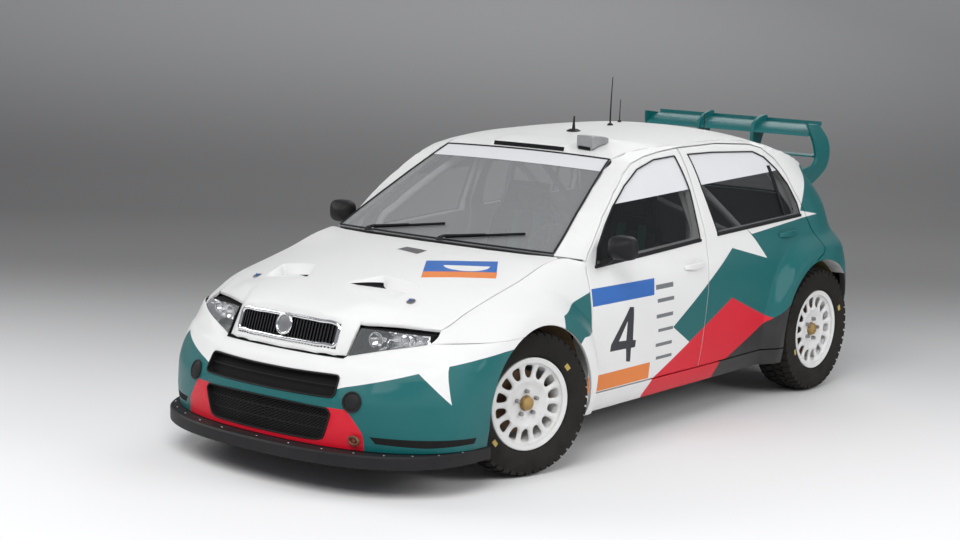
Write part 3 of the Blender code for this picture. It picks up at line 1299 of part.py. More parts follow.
def make_wheel(name, matrix, body):
    """Rim with windows, hub and brake disc, and its tyre."""
    lip, r = RIM_LIP, RIM_RADIUS
    well = r - lip * 2
    hub = HUB_RADIUS
    deep = TYRE_WIDTH - 2 * lip
    disc = DISC_INSET
    profile = [
        (0, -HUB_REACH / 2), (hub, -HUB_REACH / 2), (hub, -HUB_REACH), (LUG_RING_RADIUS * 1.3, -HUB_REACH),
        (RIM_WINDOW_RADIUS, -RIM_FACE_DEPTH), (well, -lip / 2), (r, 0), (r, -lip), (well, -lip * 2.5),
        (well - lip, -deep / 2), (well, -deep + lip), (r, -deep), (r - lip, -deep),
        (well - RIM_BARREL_WALL, -deep + lip), (well - lip - RIM_BARREL_WALL, -deep / 2),
        (well - lip - RIM_BARREL_WALL, -RIM_FACE_DEPTH * 2.2), (LUG_RING_RADIUS * 1.3, -HUB_REACH * 1.5),
        (LUG_RING_RADIUS, -HUB_REACH * 1.5), (LUG_RING_RADIUS, -disc), (DISC_RADIUS, -disc),
        (DISC_RADIUS, -disc - DISC_THICKNESS), (LUG_RING_RADIUS, -disc - DISC_THICKNESS),
        (LUG_RING_RADIUS, -disc - DISC_THICKNESS - RIM_BARREL_WALL),
        (0, -disc - DISC_THICKNESS - RIM_BARREL_WALL),
    ]
    rim = turned("rim_" + name, profile, matrix, WHITE, body, steps=RIM_STEPS)
    cutter = window_cutter("rim_windows_" + name, matrix)
    boolean(rim, cutter, "DIFFERENCE")
    wide, bulge = TYRE_WIDTH, TYRE_BULGE
    tread, low = TYRE_RADIUS, (RIM_RADIUS + SEAT_GAP) / math.cos(math.pi / TYRE_STEPS)
    half = [(low, wide / 2 - bulge - lip), (low + bulge, wide / 2 - bulge / 3), (low + 4 * bulge, wide / 2),
            (tread - 2 * bulge, wide / 2 - bulge / 2), (tread - bulge / 3, wide / 2 - bulge * 1.3),
            (tread, wide / 2 - bulge * 2.6)]
    middle = -deep / 2
    tyre = [(a, middle + b) for a, b in half] + [(a, middle - b) for a, b in half[::-1]]
    turned("tyre_" + name, tyre, matrix, RUBBER, body, steps=TYRE_STEPS)


def window_cutter(name, matrix):
    """Prisms that cut the rim's windows and lug holes."""
    work = bmesh.new()
    rows = (
        (RIM_WINDOWS, RIM_WINDOW_RADIUS, RIM_WINDOW_SIZE, 4, HUB_REACH * 2.2),
        (LUG_COUNT, LUG_RING_RADIUS, (2 * LUG_HOLE_RADIUS, 2 * LUG_HOLE_RADIUS), 6, HUB_REACH * 1.8),
    )
    for count, radius, (long, wide), sides, depth in rows:
        for k in range(count):
            made = bmesh.ops.create_cone(work, cap_ends=True, segments=sides, radius1=0.5, radius2=0.5,
                                         depth=depth)
            turn = Matrix.Rotation(2 * math.pi * (k + WINDOW_PHASE_SHARE) / count, 4, "Z")
            shape = Matrix.Translation((radius, 0, -HUB_REACH / 2)) @ Matrix.Diagonal((long, wide, 1, 1))
            bmesh.ops.transform(work, matrix=matrix @ turn @ shape, verts=made["verts"])
    mesh = bpy.data.meshes.new(name)
    work.to_mesh(mesh)
    work.free()
    return place_object(mesh, name, None, None, True)


# Underbody and cabin
def make_floor():
    """Floor with tunnel and firewall, raised at the rear over the axle, with rear wheel housings."""
    half, top = FLOOR_HALF_WIDTH, FLOOR_Z + FLOOR_WALL
    step_y = REAR_AXLE_Y - REAR_ARCH - FLOOR_WALL
    heel = half - FLOOR_WALL / 4
    floor = box("floor_pan", (-half, FIREWALL_Y, FLOOR_Z), (half, step_y, top), BLACK)
    joined = (
        ("firewall", (-half, FIREWALL_Y, FLOOR_Z), (half, FIREWALL_Y + FLOOR_WALL, FIREWALL_Z)),
        ("tunnel", (-TUNNEL_HALF_WIDTH, FIREWALL_Y, FLOOR_Z), (TUNNEL_HALF_WIDTH, step_y, top + TUNNEL_HEIGHT)),
        ("heel_board", (-heel, step_y - FLOOR_WALL, FLOOR_Z + FLOOR_WALL / 2),
         (heel, step_y, REAR_FLOOR_Z + FLOOR_WALL / 2)),
        ("rear_floor", (-half, step_y - FLOOR_WALL, REAR_FLOOR_Z),
         (half, FLOOR_REAR_Y, REAR_FLOOR_Z + FLOOR_WALL)),
    )
    for name, low, high in joined:
        boolean(floor, box(name, low, high, cutter=True), "UNION")
    for side, word in ((1, "left"), (-1, "right")):
        middle = side * (HOUSING_IN_X + HOUSING_OUT_X) / 2
        housing = drum("housing_" + word, (middle, REAR_AXLE_Y, WHEEL_Z), ACROSS, REAR_ARCH + FLOOR_WALL,
                       HOUSING_OUT_X - HOUSING_IN_X, cutter=True, steps=28)
        boolean(floor, housing, "UNION")
    for side, word in ((1, "left"), (-1, "right")):
        x = side * (HOUSING_IN_X + FLOOR_WALL + HOUSING_OUT_X + OVERRUN) / 2
        hollow = drum("wheel_room_" + word, (x, REAR_AXLE_Y, WHEEL_Z), ACROSS, REAR_ARCH,
                      HOUSING_OUT_X + OVERRUN - HOUSING_IN_X - FLOOR_WALL, cutter=True, steps=28)
        boolean(floor, hollow, "DIFFERENCE")
    for side, word in ((1, "left"), (-1, "right")):
        edges = sorted((side * (half - RAIL_WEB), side * RAIL_OUT_X))
        rail = box("rail_" + word, (edges[0], RAIL_FRONT_Y, SILL_Z - RAIL_WALL),
                   (edges[1], RAIL_REAR_Y, SILL_Z - SEAT_GAP), cutter=True)
        edges = sorted((side * (half - RAIL_WEB * 0.9), side * (half - RAIL_WEB * 0.1)))
        web = box("rail_web_" + word, (edges[0], RAIL_FRONT_Y + RAIL_WALL, SILL_Z - RAIL_WALL / 2),
                  (edges[1], RAIL_REAR_Y - RAIL_WALL, FLOOR_Z + FLOOR_WALL / 2), cutter=True)
        boolean(floor, rail, "UNION")
        boolean(floor, web, "UNION")
    under = box("under_cut", (-HALF_WIDTH, step_y + FLOOR_WALL, -REAR_ARCH),
                (HALF_WIDTH, REAR_AXLE_Y + 2 * REAR_ARCH, REAR_FLOOR_Z - FLOOR_WALL), cutter=True)
    boolean(floor, under, "DIFFERENCE")


def make_engine():
    """Engine and gearbox as one block, with the cooler behind the grille."""
    low, high = scaled(ENGINE_BOX_SHARES, HALF_WIDTH, LENGTH, HEIGHT)
    box("engine_block", (low[0], low[1], FLOOR_Z + SUBFRAME_DEPTH + SEAT_GAP), high, STEEL)
    low, high = scaled(RADIATOR_BOX_SHARES, HALF_WIDTH, LENGTH, HEIGHT)
    box("radiator", (low[0], low[1], BUMPER_FOOT_Z), high, STEEL)


def make_suspension():
    """Front subframe with arms and struts, rear axle beam with its knuckles."""
    low = box("front_subframe", (-SUBFRAME_HALF, FRONT_AXLE_Y - SUBFRAME_REACH, FLOOR_Z),
              (SUBFRAME_HALF, FIREWALL_Y - SEAT_GAP, FLOOR_Z + SUBFRAME_DEPTH), STEEL)
    high = box("strut_brace", (-STRUT_X, FRONT_AXLE_Y - ARM_RADIUS * 2, STRUT_TOP_Z - ARM_RADIUS),
               (STRUT_X, FRONT_AXLE_Y + ARM_RADIUS * 2, STRUT_TOP_Z + ARM_RADIUS), STEEL)
    pivot = kingpin(1)
    for side, word in ((1, "left"), (-1, "right")):
        x, y = side * (pivot[0] - PIVOT_INSET), pivot[1]
        inner_x = side * SUBFRAME_HALF * 0.9
        ball_z = KNUCKLE_FOOT_Z - SEAT_GAP - ARM_RADIUS
        for k, reach in enumerate((-SUBFRAME_REACH, SUBFRAME_REACH)):
            arm = tube(f"arm_{word}_{k}", [(inner_x, y + reach * 0.7, FLOOR_Z + ARM_RADIUS),
                                             (x, y + reach * 0.04, ball_z)],
                       ARM_RADIUS * 0.75, cutter=True)
            boolean(low, arm, "UNION")
        pad = drum("ball_" + word, (x, y, ball_z - ARM_RADIUS / 2), UP, ARM_RADIUS * 1.3, ARM_RADIUS * 3,
                   cutter=True, steps=10)
        boolean(low, pad, "UNION")
        foot_z = KNUCKLE_TOP_Z + SEAT_GAP + ARM_RADIUS
        foot = drum("strut_foot_" + word, (x, y, foot_z), UP, ARM_RADIUS * 1.3, ARM_RADIUS * 2, cutter=True,
                    steps=10)
        boolean(high, foot, "UNION")
        strut_x = side * (STRUT_X - ARM_RADIUS * 2)
        link = tube("strut_link_" + word, [(x, y, foot_z), (strut_x, y, foot_z + ARM_RADIUS)],
                    ARM_RADIUS * 0.9, cutter=True, detail=1)
        boolean(high, link, "UNION")
        strut = drum("strut_" + word, (strut_x, y, (foot_z + STRUT_TOP_Z) / 2), UP, ARM_RADIUS * 1.6,
                     STRUT_TOP_Z - foot_z + ARM_RADIUS * 4.4, cutter=True, steps=10)
        boolean(high, strut, "UNION")
    brace = box("tower_brace", (-ARM_RADIUS * 2, FRONT_AXLE_Y, STRUT_TOP_Z - ARM_RADIUS / 2),
                (ARM_RADIUS * 2, FIREWALL_Y - SEAT_GAP, STRUT_TOP_Z + ARM_RADIUS / 2), cutter=True)
    boolean(high, brace, "UNION")
    face = REAR_RIM_FACE_X - DISC_INSET - DISC_THICKNESS - RIM_BARREL_WALL - SEAT_GAP
    beam = drum("rear_axle", (0, REAR_AXLE_Y, WHEEL_Z), ACROSS, HUB_RADIUS, 2 * face, STEEL, steps=20)
    block = box("differential", (-TUNNEL_HALF_WIDTH, REAR_AXLE_Y - TUNNEL_HALF_WIDTH, WHEEL_Z - 2 * HUB_RADIUS),
                (TUNNEL_HALF_WIDTH, REAR_AXLE_Y + TUNNEL_HALF_WIDTH, WHEEL_Z + 2 * HUB_RADIUS), cutter=True)
    boolean(beam, block, "UNION")
    heel_y = REAR_AXLE_Y - REAR_ARCH - FLOOR_WALL + SEAT_GAP
    for side, word in ((1, "left"), (-1, "right")):
        x = side * TRAILING_ARM_X
        arm = box("trailing_arm_" + word, (x - HUB_RADIUS * 0.6, heel_y, WHEEL_Z - HUB_RADIUS * 0.7),
                  (x + HUB_RADIUS * 0.6, REAR_AXLE_Y, WHEEL_Z + HUB_RADIUS * 0.7), cutter=True)
        boolean(beam, arm, "UNION")
        spring = drum("rear_spring_" + word, (x, REAR_AXLE_Y, (WHEEL_Z + REAR_FLOOR_Z - SEAT_GAP) / 2), UP,
                      HUB_RADIUS * 1.2, REAR_FLOOR_Z - SEAT_GAP - WHEEL_Z, cutter=True, steps=16)
        boolean(beam, spring, "UNION")


def kingpin(side):
    """Place of a front wheel's steering axis."""
    inset_run = DISC_INSET + DISC_THICKNESS + PIVOT_BEHIND_DISC
    return (side * (FRONT_RIM_FACE_X - inset_run * math.cos(STEER_AT_REST)), FRONT_AXLE_Y)


def rim_face(side):
    """Middle of a front rim's outer face at rest."""
    x, y = kingpin(side)
    run = DISC_INSET + DISC_THICKNESS + PIVOT_BEHIND_DISC
    return Vector((x + side * run * math.cos(STEER_AT_REST), y - side * run * math.sin(STEER_AT_REST), WHEEL_Z))


def make_knuckle(word, matrix, body):
    """Steering knuckle with its hub seat, lugs and brake caliper."""
    back = -DISC_INSET - DISC_THICKNESS - RIM_BARREL_WALL
    turn = Matrix.Translation((0, 0, back - SEAT_GAP - KNUCKLE_DEPTH / 2))
    work = bmesh.new()
    bmesh.ops.create_cone(work, cap_ends=True, segments=20, radius1=HUB_RADIUS, radius2=HUB_RADIUS,
                          depth=KNUCKLE_DEPTH)
    bmesh.ops.transform(work, matrix=matrix @ turn, verts=work.verts)
    mesh = bpy.data.meshes.new("knuckle_" + word)
    work.to_mesh(mesh)
    work.free()
    result = place_object(mesh, "knuckle_" + word, STEEL, body)
    work = bmesh.new()
    bmesh.ops.create_cube(work, size=1)
    tall = KNUCKLE_TOP_Z - KNUCKLE_FOOT_Z
    shape = Matrix.Diagonal((HUB_RADIUS * 1.6, tall, KNUCKLE_DEPTH * 0.8, 1))
    middle = (KNUCKLE_TOP_Z + KNUCKLE_FOOT_Z) / 2 - WHEEL_Z
    upright = upright_frame(matrix)
    place = Matrix.Translation((0, middle, back - SEAT_GAP - KNUCKLE_DEPTH * 0.6))
    bmesh.ops.transform(work, matrix=upright @ place @ shape, verts=work.verts)
    mesh = bpy.data.meshes.new("upright_" + word)
    work.to_mesh(mesh)
    work.free()
    boolean(result, place_object(mesh, "upright_" + word, None, None, True), "UNION")


def upright_frame(matrix):
    """The wheel's frame turned so that its Y points up."""
    z = matrix.to_3x3() @ Vector((0, 0, 1))
    x = UP.cross(z)
    turn = Matrix((x, UP, z)).transposed().to_4x4()
    return Matrix.Translation(matrix.translation) @ turn


def plate_x(z):
    """Half width of an end plate's middle at a height: it bulges outwards below the wing."""
    middle = WING_Z - PLATE_MIDDLE_DROP
    return WING_HALF_SPAN + PLATE_BULGE * (1 - ((z - middle) / PLATE_HALF_HEIGHT) ** 2)


def seat_line(half_width, shares):
    """Points over (y, z) along the tailgate's skin, where a part of the wing sits on it."""
    z = np.linspace(shares[0], shares[1], 4) * HEIGHT
    return np.column_stack([tail_y(half_width(z), z) + 2 * SEAT_GAP, z])


def make_wing(body):
    """Roof wing with its lower plane, curved end plates and supports, carried by the tailgate."""
    half, front, rear = WING_HALF_SPAN, WING_FRONT_Y, WING_REAR_Y

    def lower(p):
        share = (p[:, 1] - front) / (rear - front)
        return np.column_stack([p, WING_Z + WING_RISE * share])

    def upper(p):
        share = (p[:, 1] - front) / (rear - front)
        thick = WING_THICKNESS * (0.3 + 0.7 * np.sin(math.pi * share ** 0.7))
        return lower(p) + np.column_stack([0 * share, 0 * share, thick])

    rows = [[(-half, front + (rear - front) * share), (half, front + (rear - front) * share)]
            for share in (0.15, 0.4, 0.7)]
    main = panel("rear_wing", TEAL, upper, lower, body, step=half,
                 outline=[(-half, front), (half, front), (half, rear), (-half, rear)], lines=rows)
    level = WING_Z - LOWER_WING_DROP
    low = (-half, rear - LOWER_WING_RUN * 0.9, level)
    high = (half, rear + LOWER_WING_RUN * 0.1, level + PLATE_WALL * 0.7)
    boolean(main, box("lower_plane", low, high, cutter=True), "UNION")
    x = WING_HALF_SPAN / 3
    seat = seat_line(lambda z: 0 * z + x - PLATE_WALL, SUPPORT_SEAT_SHARES)
    support = np.vstack([seat, scaled(SUPPORT_SHARES, LENGTH, HEIGHT)])
    plate = np.vstack([scaled(PLATE_REAR_SHARES, LENGTH, HEIGHT),
                       seat_line(lambda z: plate_x(z) - PLATE_WALL / 2, PLATE_SEAT_SHARES),
                       scaled(PLATE_FRONT_SHARES, LENGTH, HEIGHT)])
    for side, word in ((1, "left"), (-1, "right")):
        for name, outline, place in (("wing_plate_", plate, plate_x), ("wing_support_", support, lambda z: 0 * z + x)):
            skins = [mirrored(lambda p, offset=offset, place=place:
                              np.column_stack([place(p[:, 1]) + offset, p]), side)
                     for offset in (PLATE_WALL / 2, -PLATE_WALL / 2)]
            boolean(main, panel(name + word, None, *skins, cutter=True, outline=outline), "UNION")


def make_mirrors(bodies):
    """Door mirrors on short feet."""
    for side, word in ((1, "left"), (-1, "right")):
        body = bodies["front", word]
        low, high = scaled(MIRROR_BOX_SHARES, HALF_WIDTH, LENGTH, HEIGHT)
        x = sorted((side * low[0], side * high[0]))
        mirror = box("mirror_" + word, (x[0], low[1], low[2]), (x[1], high[1], high[2]), BLACK, body)
        skin_x = float(hull_x(np.array([high[1]]), np.array([low[2]]), NO_FLARE)[0]) + SEAT_GAP
        round_off = mirror.modifiers.new("round", "BEVEL")
        round_off.width, round_off.segments, round_off.limit_method = MIRROR_ROUND, 1, "NONE"
        arm_x = sorted((side * (skin_x + MIRROR_ARM * 0.27), side * (low[0] + MIRROR_ARM)))
        arm = box("mirror_arm_" + word, (arm_x[0], high[1] - MIRROR_ARM, low[2] - MIRROR_ARM),
                  (arm_x[1], high[1] - MIRROR_ARM / 2, low[2] + MIRROR_ARM), cutter=True)
        boolean(mirror, arm, "UNION")


def make_seat(word, x):
    """Bucket seat: a shell with side bolsters along its path, on a base that stands on the floor."""
    run, rise = SEAT_REAR_Y - SEAT_FRONT_Y, SEAT_TOP_Z - SEAT_FOOT_Z

    def path(v):
        return np.column_stack([SEAT_FRONT_Y + run * curve(SEAT, 1, v), SEAT_FOOT_Z + rise * curve(SEAT, 2, v)])

    def at_depth(p, depth, bolster):
        across, v = p[:, 0] / SEAT_HALF_WIDTH, p[:, 1] / SEAT_PATH
        small = 1 / SEAT_STEPS
        ahead = path(np.minimum(v + small, 1)) - path(np.maximum(v - small, 0))
        ahead /= np.hypot(ahead[:, 0], ahead[:, 1])[:, None]
        raised = bolster * curve(SEAT, 4, v) * np.abs(across) ** 3 - depth
        middle = path(v) + raised[:, None] * np.column_stack([-ahead[:, 1], ahead[:, 0]])
        return np.column_stack([x + p[:, 0] * curve(SEAT, 3, v), middle])

    half = SEAT_HALF_WIDTH
    outline = [(-half, 0), (half, 0), (half, SEAT_PATH), (-half, SEAT_PATH)]
    lines = [[(u * half, 0), (u * half, SEAT_PATH)] for u in (-0.6, 0.6)]
    seat = panel("seat_" + word, SEAT_CLOTH, lambda p: at_depth(p, 0, SEAT_BOLSTER),
                 lambda p: at_depth(p, SEAT_SHELL, SEAT_BOLSTER * 0.7), outline=outline, lines=lines,
                 step=PANEL_STEP * 1.5)
    base = box("seat_base_" + word, (x - half + SEAT_BASE_INSET, SEAT_FRONT_Y + SEAT_BASE_INSET * 2, SEAT_FOOT_Z),
               (x + half - SEAT_BASE_INSET, SEAT_FRONT_Y + run * 0.7, SEAT_FOOT_Z + rise * 0.19), cutter=True)
    boolean(seat, base, "UNION")


def make_cabin(wheel_body):
    """Seats, dashboard, roll cage and steering wheel."""
    for side, word in ((1, "left"), (-1, "right")):
        make_seat(word, side * SEAT_X)
    dash_low, dash_high = scaled(DASH_BOX_SHARES, HALF_WIDTH, LENGTH, HEIGHT)
    dash_low[1] = FIREWALL_Y + FLOOR_WALL + SEAT_GAP
    box("dashboard", dash_low, dash_high, BLACK)
    hub = Vector((SEAT_X, dash_high[1] + STEERING_REACH, STEERING_Z))
    lean = Vector((0, math.cos(STEERING_TILT), math.sin(STEERING_TILT)))
    turn = Vector((0, 0, 1)).rotation_difference(lean).to_matrix().to_4x4()
    ring = turned("steering_wheel", [(STEERING_RADIUS + STEERING_GRIP * math.cos(a), STEERING_GRIP * math.sin(a))
                                     for a in np.linspace(0, 2 * math.pi, 9)[:-1]][::-1],
                  Matrix.Translation(hub) @ turn, BLACK, wheel_body, steps=20)
    for k in range(3):
        angle = math.radians(90 + 120 * k)
        spoke = Vector((math.cos(angle), math.sin(angle), 0)) * STEERING_RADIUS
        end = hub + turn.to_3x3() @ spoke
        boolean(ring, tube(f"spoke_{k}", [hub.lerp(end, 0.1), end], STEERING_GRIP * 0.7, cutter=True, detail=1), "UNION")
    column = STEERING_GRIP * 1.4
    reach = (STEERING_REACH - 2 * SEAT_GAP - column * math.sin(STEERING_TILT)) / math.cos(STEERING_TILT)
    boolean(ring, tube("column", [hub + lean * STEERING_GRIP, hub - lean * reach], column, cutter=True), "UNION")
    rows = scaled(CAGE_SHARES, HALF_WIDTH, LENGTH, HEIGHT)
    rows[[0, 7], 2] = FLOOR_Z + FLOOR_WALL + SEAT_GAP + CAGE_RADIUS * 0.07
    hoop = [tuple(p) for p in rows[:4]]
    hoop = hoop + [(-x, y, z) for x, y, z in hoop[::-1]]
    cage = tube("roll_cage", hoop, CAGE_RADIUS, CAGE_PAINT, detail=1)
    top = rows[3]
    for side, word in ((1, "left"), (-1, "right")):
        front = [tuple(top * (side, 1, 1) - (side * CAGE_RADIUS * 0.1, CAGE_RADIUS * 0.2, CAGE_RADIUS * 0.1))]
        front += [tuple(p * (side, 1, 1)) for p in rows[4:8]]
        boolean(cage, tube("cage_front_" + word, front, CAGE_RADIUS, cutter=True, detail=1), "UNION")
        stay = [tuple(top * (side, 1, 1) + (0, CAGE_RADIUS * 0.2, -CAGE_RADIUS * 0.3))]
        stay += [tuple(p * (side, 1, 1)) for p in rows[8:]]
        boolean(cage, tube("cage_stay_" + word, stay, CAGE_RADIUS * 0.95, cutter=True, detail=1), "UNION")


def make_trim():
    """Cowl with wipers, roof vent, aerials, splitter, exhaust."""
    rear = scaled(HOOD_REAR_SHARES, HALF_WIDTH, LENGTH)
    front = rear + (0, SHUT_GAP)
    glass_x = (TOP_LINE[0, 1] - SHUT_GAP) * np.array([1, 0.75, 0.5, 0.25, 0])
    foot = TOP_LINE[0, 2] - GLASS * math.cos(GLASS_LEAN) - 2 * SEAT_GAP

    def bow(x):
        return 1 - (x / TOP_LINE[0, 1]) ** 2
    back = np.column_stack([glass_x, TOP_LINE[0, 0] - GLASS_BOW * bow(glass_x) + GLASS])
    half = np.vstack([front[:-1], back])
    outline = np.vstack([half[:-1], half[-1:], (half[half[:, 0] > 0] * (-1, 1))[::-1]])

    def outer(p):
        x, y = p[:, 0], p[:, 1]
        rise = fade(y, TOP_LINE[0, 0] - GLASS_BOW * bow(x) - COWL_RISE_RUN, TOP_LINE[0, 0] - GLASS_BOW * bow(x))
        low = hood_z(x, y) - SKIN
        return np.column_stack([x, y, low * rise + (foot + GLASS_RISE * bow(x)) * (1 - rise)])

    panel("cowl", BLACK, outer, lambda p: outer(p) - (0, 0, SKIN), outline=outline)
    vent_low, vent_high = scaled(ROOF_VENT_SHARES, HALF_WIDTH, LENGTH, HEIGHT)
    loop = [vent_low[:2], (vent_high[0], vent_low[1]), vent_high[:2], (vent_low[0], vent_high[1])]
    panel("roof_vent", CHROME, lambda p: np.column_stack([p, 0 * p[:, 0] + vent_high[2]]),
          lambda p: roof_surfaces()[0](p) + (0, 0, 3 * SEAT_GAP), outline=loop, step=PANEL_STEP / 2)
    rows = scaled(AERIAL_SHARES, HALF_WIDTH, LENGTH, HEIGHT)
    x, y, top_z = rows[0]
    foot_z = float(roof_surfaces()[0](np.array([[x, y]]))[0, 2]) + SEAT_GAP
    drum("roof_aerial", (x, y, (foot_z + top_z) / 2), UP, AERIAL_RADIUS, top_z - foot_z, BLACK, steps=12,
         tip=AERIAL_RADIUS / 4)
    run = np.linspace(-CORNER_RUN * 1.03, CORNER_RUN * 1.03, 27)
    level = np.full(27, BUMPER_FOOT_Z)
    edge = wrap(run, level, True)[:, :2]
    tongue = np.array([0, -1]) * SPLITTER_LIP * (1 - (np.abs(run) / CORNER_RUN)[:, None] ** 4 * 0.8)
    back_y = edge[-1, 1]
    loop = np.vstack([edge + tongue, [(edge[-1, 0], back_y + SPLITTER_STEP), (edge[0, 0], back_y + SPLITTER_STEP)]])

    def level_at(z):
        return lambda p: np.column_stack([p[:, 0], p[:, 1], 0 * p[:, 0] + z])
    panel("front_splitter", BLACK, level_at(BUMPER_FOOT_Z - SEAT_GAP), level_at(SPLITTER_Z), outline=loop,
          step=PANEL_STEP * 3)
    tube("exhaust", [(EXHAUST_X, FIREWALL_Y, EXHAUST_Z), (EXHAUST_X, EXHAUST_END_Y, EXHAUST_Z)], EXHAUST_RADIUS,
         STEEL)


# Joints and the whole car
def build():
    """The whole car on its joints' empties."""
    make_body_sides()
    make_fenders()
    hood = empty("hood_hinge", (0, HOOD_HINGE_Y, HOOD_HINGE_Z))
    make_hood(hood)
    make_bumpers()
    make_lamps()
    make_tail_lamps()
    make_roof()
    make_windscreen()
    tail = empty("tailgate_hinge", (0, TAIL_HINGE_Y, TAILGATE_TOP_Z))
    make_tailgate(tail)
    make_wing(tail)
    bodies = {}
    for side, word in ((1, "left"), (-1, "right")):
        bodies["front", word] = empty(f"front_door_hinge_{word}", (side * FRONT_DOOR_HINGE_X, FRONT_DOOR_HINGE_Y, BELT_Z))
        bodies["rear", word] = empty(f"rear_door_hinge_{word}", (side * REAR_DOOR_HINGE_X, REAR_DOOR_HINGE_Y, BELT_Z))
    make_doors(bodies)
    make_mirrors(bodies)
    for side, word in ((1, "left"), (-1, "right")):
        pivot = empty("kingpin_" + word, (*kingpin(side), WHEEL_Z))
        face = rim_face(side)
        matrix = wheel_matrix(face, STEER_AT_REST, side)
        make_knuckle(word, matrix, pivot)
        spin = empty("front_spin_" + word, face, pivot)
        make_wheel("front_" + word, matrix, spin)
        face = Vector((side * REAR_RIM_FACE_X, REAR_AXLE_Y, WHEEL_Z))
        spin = empty("rear_spin_" + word, face)
        make_wheel("rear_" + word, wheel_matrix(face, 0, side), spin)
    make_floor()
    make_engine()
    make_suspension()
    column = empty("steering_column", (SEAT_X, DASH_FACE_Y + STEERING_REACH, STEERING_Z))
    make_cabin(column)
    make_trim()


build()
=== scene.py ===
"""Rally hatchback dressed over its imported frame: painted panels, wheels, lamps, cabin and trim."""

import logging
import math
from dataclasses import dataclass
from enum import Enum
from typing import Callable, Optional, Sequence

import bmesh
import bpy
import numpy as np
from mathutils import Matrix, Vector
from mathutils.geometry import delaunay_2d_cdt


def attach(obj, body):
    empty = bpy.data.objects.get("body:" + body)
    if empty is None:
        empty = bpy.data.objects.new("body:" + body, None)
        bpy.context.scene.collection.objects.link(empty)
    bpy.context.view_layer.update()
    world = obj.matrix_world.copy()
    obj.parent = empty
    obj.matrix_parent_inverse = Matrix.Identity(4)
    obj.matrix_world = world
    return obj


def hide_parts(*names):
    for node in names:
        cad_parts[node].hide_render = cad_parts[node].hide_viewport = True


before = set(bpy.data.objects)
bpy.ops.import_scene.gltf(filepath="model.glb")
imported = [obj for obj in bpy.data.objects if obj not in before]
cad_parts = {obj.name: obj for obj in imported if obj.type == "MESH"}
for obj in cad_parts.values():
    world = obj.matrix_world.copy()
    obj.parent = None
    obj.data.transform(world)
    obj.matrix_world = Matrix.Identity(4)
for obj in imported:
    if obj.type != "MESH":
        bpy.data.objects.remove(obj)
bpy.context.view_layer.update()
LOG = logging.getLogger("rally_hatchback")

Array = np.ndarray
Surface = Callable[[Array], Array]
Colour = tuple[float, float, float]
Points = Sequence[tuple[float, float]]
SIDES: tuple[tuple[int, str], ...] = ((1, "left"), (-1, "right"))


# Finishes
class Kind(Enum):
    """What a finish is made of."""
    PAINT = "paint"
    PLASTIC = "plastic"
    RUBBER = "rubber"
    METAL = "metal"
    CLOTH = "cloth"
    GLASS = "glass"


class Wiring:
    """Short words for placing and joining the nodes of one tree."""

    def __init__(self, tree: bpy.types.NodeTree) -> None:
        """Keep the tree."""
        self.tree = tree

    def node(self, kind: str, **values: object) -> bpy.types.Node:
        """Place a node.

        Args:
            kind: Blender's name of the node's type.
            values: settings of the node, or of its input sockets by index as in1, in2.

        Returns:
            The node.
        """
        result = self.tree.nodes.new(kind)
        for word, value in values.items():
            if word.startswith("in") and word[2:].isdigit():
                result.inputs[int(word[2:])].default_value = value
            else:
                setattr(result, word, value)
        return result

    def join(self, source: bpy.types.NodeSocket, target: bpy.types.NodeSocket) -> None:
        """Link an output to an input."""
        self.tree.links.new(source, target)

    def maths(self, operation: str, first: object, second: object) -> bpy.types.NodeSocket:
        """Place a Math node of two terms, each a number or a socket, and return its output.

        Args:
            operation: name of the math operation.
            first: first socket or number.
            second: second socket or number.

        Returns:
            The result's socket.
        """
        made = self.node("ShaderNodeMath", operation=operation)
        for k, term in enumerate((first, second)):
            if isinstance(term, bpy.types.NodeSocket):
                self.join(term, made.inputs[k])
            else:
                made.inputs[k].default_value = term
        return made.outputs[0]


